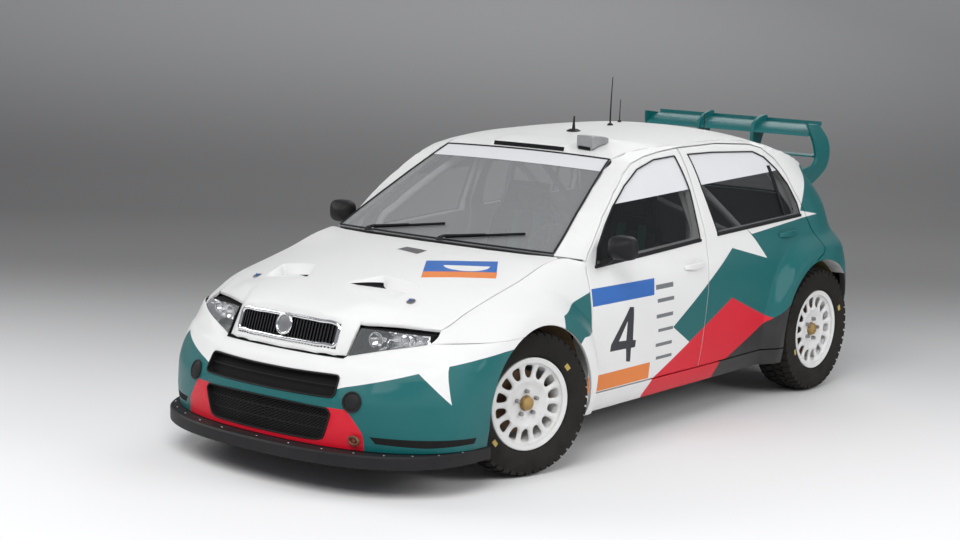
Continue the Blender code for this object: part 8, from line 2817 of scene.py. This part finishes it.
@dataclass
class Mirrors:
    """Door mirrors: a rounded shell that narrows forwards, its glass and its foot."""

    def make(self) -> None:
        """Build both mirrors."""
        low, high = scaled(MIRROR_BOX_SHARES, HULL.half_width, HULL.length, HULL.height)
        middle, half = (low + high) / 2, (high - low) / 2
        u = np.linspace(0, 2 * math.pi, 40, endpoint=False)
        ring = np.column_stack([np.sign(np.cos(u)) * np.abs(np.cos(u)) ** 0.55,
                                np.sign(np.sin(u)) * np.abs(np.sin(u)) ** 0.62])
        s = np.linspace(0, 1, 16)
        for side, word in SIDES:
            body = f"front_door_{word}_body"
            grow = np.concatenate([np.sin(np.linspace(0.16, math.pi / 2, 12)) ** 0.75,
                                   [1.0, 1.0, 0.97, 0.93]])
            rows = np.concatenate([np.linspace(0, 0.62, 12), [0.75, 0.93, 0.99, 1.0]])
            grid = np.stack([np.column_stack([(middle[0] + ring[:, 0] * half[0] * g + (1 - g) * -0.02) * side,
                                              np.full(40, low[1] + (high[1] - low[1]) * r),
                                              middle[2] + ring[:, 1] * half[2] * g])
                             for g, r in zip(grow, rows)])
            BENCH.piece("mirror_shell_" + word, capped(grid), FINISHES.plastic, body,
                        replaces=("mirror_" + word,), sharp=50)
            face = np.stack([np.column_stack([(middle[0] + ring[:, 0] * half[0] * g) * side,
                                              np.full(40, high[1] - 0.001 + d),
                                              middle[2] + ring[:, 1] * half[2] * g])
                             for g, d in ((0.84, -0.004), (0.86, 0.0012), (0.80, 0.0018))])
            BENCH.piece("mirror_glass_" + word, capped(face), FINISHES.chrome, body)
            foot = np.array([(0.752, high[1] - 0.040, 0.872), (0.775, high[1] - 0.032, 0.885),
                             (0.800, high[1] - 0.028, 0.905), (low[0] + 0.045, high[1] - 0.026, 0.935)])
            path = smooth_path(foot, 16) * (side, 1, 1)
            BENCH.piece("mirror_foot_" + word, sweep(path, 0.017 - 0.004 * s, 14), FINISHES.plastic, body)


@dataclass
class Under:
    """Arch liners, exhaust tip and the finishes of the plain mechanical parts."""
    front_liner: float = 0.388
    rear_liner: float = 0.3725
    liner_wall: float = 0.003
    exhaust_end: tuple[float, float, float] = (0.200, 1.9335, 0.1867)
    plain: tuple[tuple[str, str], ...] = (
        ("floor_pan", "underbody"), ("engine_block", "alloy"), ("radiator", "alloy"),
        ("front_subframe", "steel"), ("strut_brace", "steel"), ("rear_axle", "steel"),
        ("knuckle_left", "alloy"), ("knuckle_right", "alloy"), ("cowl", "plastic"), ("exhaust", "rust"))

    def make(self) -> None:
        """Finish the plain nodes, and build the liners and the exhaust tip."""
        for node, finish in self.plain:
            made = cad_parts[node]
            for k in range(max(1, len(made.data.materials))):
                if len(made.data.materials) <= k:
                    made.data.materials.append(None)
                made.material_slots[k].material = PALETTE(getattr(FINISHES, finish))
            LOG.info("finished %s", node)
        for side, word in SIDES:
            self.make_liner(f"liner_front_{word}", side, (HULL.front_axle_y - 0.012, HULL.wheel_z),
                            self.front_liner, (0.47, 0.788), (24, 196), FINISHES.liner_brown)
            self.make_liner(f"liner_rear_{word}", side, (HULL.rear_axle_y, HULL.wheel_z), self.rear_liner,
                            (0.352, 0.774), (-6, 186), FINISHES.liner_olive)
        tip = revolve([(0.0265, -0.004), (0.0270, 0.0), (0.0265, 0.004), (0.0215, 0.004), (0.0215, -0.004)],
                      32)
        BENCH.piece("exhaust_tip", placed(tip, facing(self.exhaust_end, (0, 1, 0))), FINISHES.steel)

    def make_liner(self, name: str, side: int, axle: tuple[float, float], radius: float,
                   width: tuple[float, float], span: tuple[float, float], finish: Finish) -> None:
        """Moulded shell over a wheel: an arc carried across the car, ribbed, with a rolled inner edge.

        Args:
            name: name of the piece.
            side: 1 for left and -1 for right.
            axle: place of the axle along the car.
            radius: radius of the arch.
            width: inner and outer place across the car.
            span: first and last angle.
            finish: the finish.
        """
        a = np.radians(np.linspace(*span, 72))
        x = np.linspace(*width, 30)
        swell = 0.003 * np.sin(a[:, None] * 40) * np.exp(-((x[None, :] - x.mean()) / 0.08) ** 2)
        rows = []
        for thick in (0.0, self.liner_wall):
            r = radius + swell * 0.5 + thick
            rows.append(np.stack([np.broadcast_to(x * side, r.shape), axle[0] + r * np.cos(a)[:, None],
                                  axle[1] + r * np.sin(a)[:, None]], axis=-1))
        grid = np.concatenate([rows[0], rows[1][:, ::-1]], axis=1)
        BENCH.piece(name, capped(grid), finish)



# Cabin
@dataclass
class Cage:
    """Roll cage of round tube: main hoop, front legs, rear stays, diagonals, roof cross and door bars."""
    radius: float = 0.0200
    floor_z: float = 0.2353
    foot_half: float = 0.045

    def make(self) -> None:
        """Build the tubes and their foot plates."""
        rows = scaled(CAGE_SHARES, HULL.half_width, HULL.length, HULL.height)
        rows[[0, 7], 2] = self.floor_z + 0.001
        hoop = [rows[0], rows[1], (rows[1] + rows[2]) / 2 + (0.012, 0, 0), rows[2],
                rows[3] + (0.012, 0, -0.012), rows[3] - (0.05, 0, -0.004)]
        hoop = np.vstack([hoop, (np.array(hoop) * (-1, 1, 1))[::-1]])
        shapes = [sweep(smooth_path(hoop, 90), self.radius, 14)]
        top = rows[3]
        for side, _ in SIDES:
            way = np.array([side, 1, 1])
            front = np.vstack([top, (top + rows[4]) / 2 + (0.004, 0, 0.004), rows[4:8]])
            shapes.append(sweep(smooth_path(front * way, 70), self.radius, 14))
            shapes.append(sweep(np.array([top, (top + rows[8]) / 2, rows[8]]) * way, self.radius * 0.95, 14))
            bar = np.array([rows[1] + (0, 0, -0.12), rows[7] + (0, 0, 0.13)])
            cross = np.array([rows[0] + (0, 0, 0.13), rows[6] + (0, 0, -0.16)])
            for pair in (bar, cross):
                t = np.linspace(0, 1, 12)[:, None]
                shapes.append(sweep((pair[0] * (1 - t) + pair[1] * t) * way, self.radius * 0.8, 12))
        t = np.linspace(0, 1, 12)[:, None]
        rear = rows[8] + (-0.06, -0.05, 0.06)
        pairs = [(top * (0.9, 1, 0.995), rear * (-1, 1, 1)), (top * (-0.9, 1, 0.995), rear),
                 (rows[2] * (-1, 1, 1), rows[0] + (-0.03, 0, 0.10)), (rows[4] * (-1, 1, 1), rows[3]),
                 (rows[4], rows[3] * (-1, 1, 1)),
                 (rows[4] + (0.0, 0.02, 0.0), rows[4] * (-1, 1, 1) + (0, 0.02, 0))]
        for start, end in pairs:
            shapes.append(sweep(np.asarray(start) * (1 - t) + np.asarray(end) * t, self.radius * 0.8, 12))
        for k in (0, 7):
            for side, _ in SIDES:
                x, y, z = rows[k] * (side, 1, 1)
                shapes.append(block((x - self.foot_half, y - self.foot_half, self.floor_z),
                                    (x + self.foot_half, y + self.foot_half, z + 0.003)))
        BENCH.piece("cage_tubes", merged(shapes), FINISHES.cage, replaces=("roll_cage",), sharp=50)


@dataclass
class Seats:
    """Bucket seats: a hard shell, crowned pads, a head rest and a harness of green webbing.

    Each pad is its name, its shares across, its shares up the seat and its fullness.
    """
    x: float = 0.330
    half: float = 0.215
    front_y: float = -0.120
    rear_y: float = 0.420
    foot_z: float = 0.2353
    bolster: float = 0.080
    shell: float = 0.018
    shell_depth: float = 0.012
    top_share: float = 0.7770
    pad_fill: float = 0.8
    pads: tuple[tuple[str, tuple[float, float], tuple[float, float], float], ...] = (
        ("cushion", (-0.62, 0.62), (0.04, 0.40), 0.030), ("back", (-0.60, 0.60), (0.47, 0.72), 0.026),
        ("shoulder", (-0.66, 0.66), (0.735, 0.835), 0.022), ("head", (-0.62, 0.62), (0.885, 0.975), 0.026),
        ("wing_in", (-0.97, -0.68), (0.10, 0.80), 0.020), ("wing_out", (0.68, 0.97), (0.10, 0.80), 0.020))

    def path(self, v: Array) -> Array:
        """Line of the seat over (y, z) at a share of its run.

        Args:
            v: shares up the seat.

        Returns:
            Places over (y, z).
        """
        table = np.array(SEAT_SHARES, float)
        high = HULL.height * self.top_share - self.foot_z
        return np.column_stack([self.front_y + (self.rear_y - self.front_y) * curve(table, 1, v),
                                self.foot_z + high * curve(table, 2, v)])

    def at(self, across: Array, v: Array, depth: Array, middle: float) -> Array:
        """Point of the seat: its line, raised at the sides by bolster times across cubed, less a depth.

        Args:
            across: shares across the seat.
            v: shares up the seat.
            depth: distance in from the skin.
            middle: place of the middle.

        Returns:
            Points of the seat.
        """
        table = np.array(SEAT_SHARES, float)
        ahead = self.path(np.minimum(v + 0.02, 1)) - self.path(np.maximum(v - 0.02, 0))
        ahead /= np.hypot(ahead[:, 0], ahead[:, 1])[:, None]
        raised = self.bolster * curve(table, 4, v) * np.abs(across) ** 3 - depth
        place = self.path(v) + raised[:, None] * np.column_stack([-ahead[:, 1], ahead[:, 0]])
        return np.column_stack([middle + across * self.half * curve(table, 3, v), place])

    def patch(self, u: Array, v: Array, depth: Callable[[Array, Array], Array], middle: float) -> Array:
        """Grid of points over (across, share) at a depth.

        Args:
            u: shares across the patch.
            v: shares up the seat.
            depth: distance in from the skin.
            middle: place of the middle.

        Returns:
            Grid of points.
        """
        a, b = np.meshgrid(u, v, indexing="ij")
        flat = self.at(a.ravel(), b.ravel(), depth(a.ravel(), b.ravel()), middle)
        return flat.reshape(len(u), len(v), 3)

    def closed(self, top: Array, low: Array) -> tuple[Array, list]:
        """Closed form between two grids that share their edges' order.

        Args:
            top: upper grid.
            low: lower grid.

        Returns:
            Vertices and faces.
        """
        n, m = top.shape[:2]
        rings = np.concatenate([top, low[::-1]])
        points, quads = loft(rings, close_u=True)
        count = 2 * n
        ends = [[i * m for i in range(count)][::-1], [i * m + m - 1 for i in range(count)]]
        return points, [*quads.tolist(), *ends]

    def make(self) -> None:
        """Build both seats."""
        for side, word in SIDES:
            middle = side * self.x
            u, v = np.linspace(-1, 1, 25), np.linspace(0, 1, 60)
            shell = self.closed(self.patch(u, v, lambda a, b: 0 * a + self.shell_depth, middle),
                                self.patch(u, v, lambda a, b: 0 * a + self.shell_depth + self.shell, middle))
            BENCH.piece("seat_shell_" + word, shell, FINISHES.plastic, replaces=("seat_" + word,), sharp=50)
            y, z = self.path(np.array([0.1, 0.42]))[:, 0], self.foot_z
            base = block((middle - 0.16, y[0], z), (middle + 0.16, y[1], z + 0.085))
            BENCH.piece("seat_frame_" + word, base, FINISHES.steel, round_edge=0.010, round_steps=3)
            self.make_pads(word, middle)
            self.make_harness(word, middle)

    def make_pads(self, word: str, middle: float) -> None:
        """Crowned pads: each is full in the middle and pulled in to its seam all round.

        Args:
            word: left or right.
            middle: place of the middle.
        """
        for name, (a, b), (c, d), full in self.pads:
            u, v = np.linspace(a, b, 21), np.linspace(c, d, 33)

            def crown(p: Array, q: Array) -> Array:
                """Depth of the pad's face: least in its middle, with channels across the long pads."""
                s, t = (2 * (p - a) / (b - a) - 1), (2 * (q - c) / (d - c) - 1)
                round_off = np.maximum((1 - s ** 6) * (1 - t ** 6), 0) ** 0.5
                channel = 0.10 * np.cos(t * math.pi * 4) if name in ("cushion", "back") else 0 * t
                return 0.011 - full * round_off * (1 - channel * (1 - s ** 8))
            top = self.patch(u, v, crown, middle)
            low = self.patch(u, v, lambda p, q: 0 * p + 0.0125, middle)
            pad = BENCH.piece(f"seat_{name}_{word}", self.closed(top, low), FINISHES.seat, sharp=70,
                              subdivide=1)

    def make_harness(self, word: str, middle: float) -> None:
        """Two shoulder belts, a lap belt and a round buckle lying on the pads.

        Args:
            word: left or right.
            middle: place of the middle.
        """
        for k, way in enumerate((-1, 1)):
            v = np.linspace(0.30, 0.86, 40)
            across = way * np.interp(v, [0.30, 0.45, 0.86], [0.08, 0.26, 0.34])
            path = self.at(across, v, -0.028 - 0.004 * np.sin(v * 20), middle)
            BENCH.piece(f"harness_{word}_{k}", ribbon(path, (1, 0, 0), 0.050, 0.003), FINISHES.belt, sharp=60)
            pad_v = np.linspace(0.60, 0.76, 16)
            across = way * np.interp(pad_v, [0.45, 0.86], [0.26, 0.34])
            pad = self.at(across, pad_v, 0 * pad_v - 0.034, middle)
            BENCH.piece(f"harness_pad_{word}_{k}", ribbon(pad, (1, 0, 0), 0.066, 0.014), FINISHES.belt,
                        round_edge=0.006, round_steps=3)
        across = np.linspace(-0.84, 0.84, 40)
        v = 0.36 - 0.04 * np.cos(across * 1.6)
        path = self.at(across, v, -0.030 + 0.02 * np.abs(across) ** 3, middle)
        BENCH.piece(f"lap_belt_{word}", ribbon(path, (0, 0.9, 0.35), 0.046, 0.003), FINISHES.belt, sharp=60)
        spot = self.at(np.array([0.0]), np.array([0.325]), np.array([-0.036]), middle)[0]
        BENCH.piece(f"buckle_{word}", placed(dome(0.030, 0.014, 6, 28), facing(spot, (0, -0.1, 1))),
                    FINISHES.red)


@dataclass
class Controls:
    """Dashboard with its binnacle and switch panel, and the steering wheel on its column."""
    radius: float = 0.160
    grip: float = 0.014
    tilt: float = math.radians(22)
    column_x: float = 0.330
    column_radius: float = 0.0185
    hub_share: float = 0.5971
    hub_reach: float = 0.160
    firewall_y: float = -0.655
    firewall_wall: float = 0.020
    dial_pitch: float = 0.053
    switch_pitch: tuple[float, float] = (0.032, 0.035)

    def make(self) -> None:
        """Build the dashboard and the steering wheel."""
        self.make_dashboard()
        self.make_wheel()

    def make_dashboard(self) -> None:
        """Dashboard: one section carried across the car, swollen over the column."""
        low, high = scaled(DASH_BOX_SHARES, HULL.half_width, HULL.length, HULL.height)
        front = self.firewall_y + self.firewall_wall + 0.0003
        section = rounded([(front, low[2]), (high[1] - 0.05, low[2]), (high[1] - 0.004, low[2] + 0.06),
                           (high[1] - 0.012, high[2] - 0.035), (high[1] - 0.06, high[2] - 0.004),
                           (front, high[2])], 2, 0.2)
        x = np.linspace(low[0], high[0], 61)
        swell = 0.5 + 0.5 * np.exp(-((x - self.column_x) / 0.16) ** 4)
        grid = []
        for place, s in zip(x, swell):
            z = np.where(section[:, 1] > high[2] - 0.06, section[:, 1] - 0.028 * (1 - s), section[:, 1])
            grid.append(np.column_stack([0 * z + place, section[:, 0], z]))
        BENCH.piece("dash", capped(np.array(grid)), FINISHES.matt, replaces=("dashboard",), sharp=60)
        dials = []
        for k in range(4):
            spot = (0.25 + self.dial_pitch * k, high[1] - 0.009, high[2] - 0.062)
            dials.append(placed(revolve(arc((0.020, 0.002), 0.003, 0, 330, 8), 24),
                                facing(spot, (0, 1, 0.1))))
        BENCH.piece("dial_rings", merged(dials), FINISHES.steel)
        switches = []
        across, up = self.switch_pitch
        for k in range(8):
            spot = (-0.02 - across * (k % 4), high[1] - 0.004, low[2] + 0.070 + up * (k // 4))
            switches.append(placed(dome(0.007, 0.014, 4, 12), facing(spot, (0, 1, 0.1))))
        BENCH.piece("switches", merged(switches), FINISHES.red)
        plate = block((-0.14, high[1] - 0.012, low[2] + 0.040), (0.00, high[1] - 0.004, low[2] + 0.135))
        BENCH.piece("switch_panel", plate, FINISHES.steel, round_edge=0.003)

    def make_wheel(self) -> None:
        """Steering wheel: grip, three flat spokes, boss and column."""
        _, high = scaled(DASH_BOX_SHARES, HULL.half_width, HULL.length, HULL.height)
        hub = Vector((self.column_x, high[1] + self.hub_reach, HULL.height * self.hub_share))
        lean = Vector((0, math.cos(self.tilt), math.sin(self.tilt)))
        at = Matrix.Translation(hub) @ Vector((0, 0, 1)).rotation_difference(lean).to_matrix().to_4x4()
        t = np.linspace(0, 2 * math.pi, 72, endpoint=False)
        ring = np.column_stack([self.radius * np.cos(t), self.radius * np.sin(t), 0 * t])
        body = "steering_wheel_body"
        grip = sweep(ring, self.grip * (1 + 0.03 * np.cos(t * 24)), 14, closed=True)
        BENCH.piece("wheel_grip", placed(grip, at), FINISHES.seat, body, replaces=("steering_wheel",),
                    sharp=60)
        shapes = []
        for k in range(3):
            a = math.radians(90 + 120 * k)
            s = np.linspace(0.022, self.radius - self.grip * 0.6, 14)
            path = np.column_stack([s * math.cos(a), s * math.sin(a), -0.016 * (1 - (s / self.radius) ** 2)])
            shapes.append(ribbon(path, (-math.sin(a), math.cos(a), 0), 0.030 - 0.06 * s, 0.004))
        BENCH.piece("wheel_spokes", placed(merged(shapes), at), FINISHES.plastic, body)
        boss = revolve([(0.001, -0.030), (0.036, -0.030), (0.040, -0.012), (0.030, 0.004), (0.001, 0.006)],
                       36)
        BENCH.piece("wheel_boss", placed(boss, at), FINISHES.plastic, body)
        reach = (self.hub_reach - 0.0006 - 0.0196 * math.sin(self.tilt)) / math.cos(self.tilt)
        column = np.column_stack([[0.0] * 8, [0.0] * 8, np.linspace(-0.028, -reach, 8)])
        BENCH.piece("column", placed(sweep(column, self.column_radius, 18), at), FINISHES.steel, body,
                    sharp=50)


PARTS: tuple = (Shell(), Doors(), Hood(), Tail(), Windscreen(), Wheels(), FrontEnd(), Roof(), Wing(),
                Mirrors(), Under(), Cage(), Seats(), Controls())


# Studio
@dataclass(frozen=True)
class Studio:
    """Pale floor, graded backdrop, soft light and the camera at the photo's angle."""
    cove_start: float = 7.0
    cove_radius: float = 4.0
    half_width: float = 24.0
    painted_light_band_span: tuple[float, float] = (8.5, 14.5)
    # span and strength of a lighter band painted on the backdrop: painted light
    glow: float = 0.24
    world_strength: float = 0.30
    lens: float = 75.171
    sensor: float = 36.0
    azimuth: float = math.radians(38.56264)
    elevation: float = math.radians(9.16667)
    roll: float = math.radians(1.26122)
    place: tuple[float, float, float] = (5.94734, -7.91206, 2.28757)

    def shade(self, name: str, low: float, high: float, bottom: float, top: float) -> bpy.types.Material:
        """Matt material whose grey falls with the distance behind the car, a painted falloff of light, with a
        lighter painted band of light further back; clear from its back.

        Args:
            name: name of the material.
            low: distance where the fall starts.
            high: distance where it ends.
            bottom: grey near the car.
            top: grey far behind it.

        Returns:
            The material.
        """
        result = bpy.data.materials.new(name)
        result.use_nodes = True
        w = Wiring(result.node_tree)
        shader = result.node_tree.nodes["Principled BSDF"]
        shader.inputs["Roughness"].default_value = 0.9
        shader.inputs["Specular IOR Level"].default_value = 0.1
        place = w.node("ShaderNodeTexCoord")
        run = w.node("ShaderNodeVectorMath", operation="DOT_PRODUCT")
        run.inputs[1].default_value = (-math.sin(self.azimuth), math.cos(self.azimuth), 2.0)
        w.join(place.outputs["Object"], run.inputs[0])
        # grey that falls with distance: painted falloff of light on the floor and backdrop
        ramp = w.node("ShaderNodeMapRange", interpolation_type="SMOOTHSTEP", in1=low, in2=high,
                      in3=bottom, in4=top)
        w.join(run.outputs["Value"], ramp.inputs[0])
        # lighter band further back: painted light
        start, end = self.painted_light_band_span
        glow = w.node("ShaderNodeMapRange", interpolation_type="SMOOTHSTEP", in1=start, in2=end, in3=0.0,
                      in4=self.glow)
        w.join(run.outputs["Value"], glow.inputs[0])
        total = w.maths("ADD", ramp.outputs[0], glow.outputs[0])
        join = w.node("ShaderNodeCombineColor")
        for k in range(3):
            w.join(total, join.inputs[k])
        w.join(join.outputs[0], shader.inputs["Base Color"])
        front = w.maths("LESS_THAN", w.node("ShaderNodeNewGeometry").outputs["Backfacing"], 0.5)
        w.join(front, shader.inputs["Alpha"])
        return result

    def make(self) -> None:
        """Build the cove, the lights and the camera."""
        self.make_cove()
        self.make_lights()
        self.make_camera()

    def make_cove(self) -> None:
        """Floor that bends up into a backdrop behind the car, swept along the view's width."""
        t = np.linspace(0, math.pi / 2, 24)
        radius, start = self.cove_radius, self.cove_start
        run = np.concatenate([[-16.0, -4.0, 0.0], start + radius * np.sin(t), [start + radius] * 2])
        rise = np.concatenate([[0, 0, 0], radius - radius * np.cos(t), [10.0, 22.0]])
        away = np.array([-math.sin(self.azimuth), math.cos(self.azimuth)])
        across = np.array([math.cos(self.azimuth), math.sin(self.azimuth)])
        grid = np.stack([np.column_stack([away[0] * run + across[0] * s, away[1] * run + across[1] * s, rise])
                         for s in (self.half_width, -self.half_width)], axis=1)
        points, quads = loft(grid)
        mesh = bpy.data.meshes.new("cove")
        mesh.from_pydata(points.tolist(), [], quads.tolist())
        mesh.shade_smooth()
        # the cove's grey carries the painted falloff and the painted band of light
        mesh.materials.append(self.shade("cove_grey", -1.4, 4.6, 0.82, 0.21))
        cove = bpy.data.objects.new("cove", mesh)
        bpy.context.scene.collection.objects.link(cove)

    def make_lights(self) -> None:
        """Large soft lights above, in front and at the side, and an even world."""
        rows = (("key", (2.5, -6.0, 6.5), 6.0, 500.0), ("fill", (-7.0, -3.0, 5.0), 5.0, 240.0),
                ("side", (8.0, 2.0, 4.5), 5.0, 330.0), ("back", (-2.0, 7.5, 6.0), 6.0, 220.0))
        for name, place, size, power in rows:
            data = bpy.data.lights.new(name, "AREA")
            data.shape, data.size, data.size_y, data.energy = "RECTANGLE", size, size * 0.7, power
            light = bpy.data.objects.new(name, data)
            light.location = place
            way = Vector((0, 0, 0.5)) - Vector(place)
            light.rotation_euler = way.to_track_quat("-Z", "Y").to_euler()
            bpy.context.scene.collection.objects.link(light)
        world = bpy.data.worlds.new("studio")
        world.use_nodes = True
        world.node_tree.nodes["Background"].inputs[0].default_value = (0.92, 0.94, 1.0, 1)
        world.node_tree.nodes["Background"].inputs[1].default_value = self.world_strength
        bpy.context.scene.world = world

    def make_camera(self) -> None:
        """Camera of the photo: turned to its azimuth and elevation, then rolled about its axis."""
        a, e, r = self.azimuth, self.elevation, self.roll
        back = Vector((math.sin(a) * math.cos(e), -math.cos(a) * math.cos(e), math.sin(e)))
        right = (-back).cross(Vector((0, 0, 1))).normalized()
        up = right.cross(-back)
        turned_right = right * math.cos(r) + up * math.sin(r)
        turned_up = up * math.cos(r) - right * math.sin(r)
        data = bpy.data.cameras.new("photo_view")
        data.sensor_width, data.lens = self.sensor, self.lens
        data.clip_end = 200.0
        camera = bpy.data.objects.new("photo_view", data)
        turn = Matrix((turned_right, turned_up, back)).transposed().to_4x4()
        camera.matrix_world = Matrix.Translation(self.place) @ turn
        bpy.context.scene.collection.objects.link(camera)
        bpy.context.scene.camera = camera


def main() -> None:
    """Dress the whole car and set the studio."""
    logging.basicConfig(level=logging.INFO, format="%(name)s: %(message)s")
    for part in PARTS:
        LOG.info("building %s", type(part).__name__)
        part.make()
    Studio().make()
    LOG.info("%d pieces, %d triangles before modifiers", BENCH.count, BENCH.triangles)
    scene = bpy.context.scene
    scene.view_settings.view_transform = "Standard"


if __name__ == "__main__":
    main()
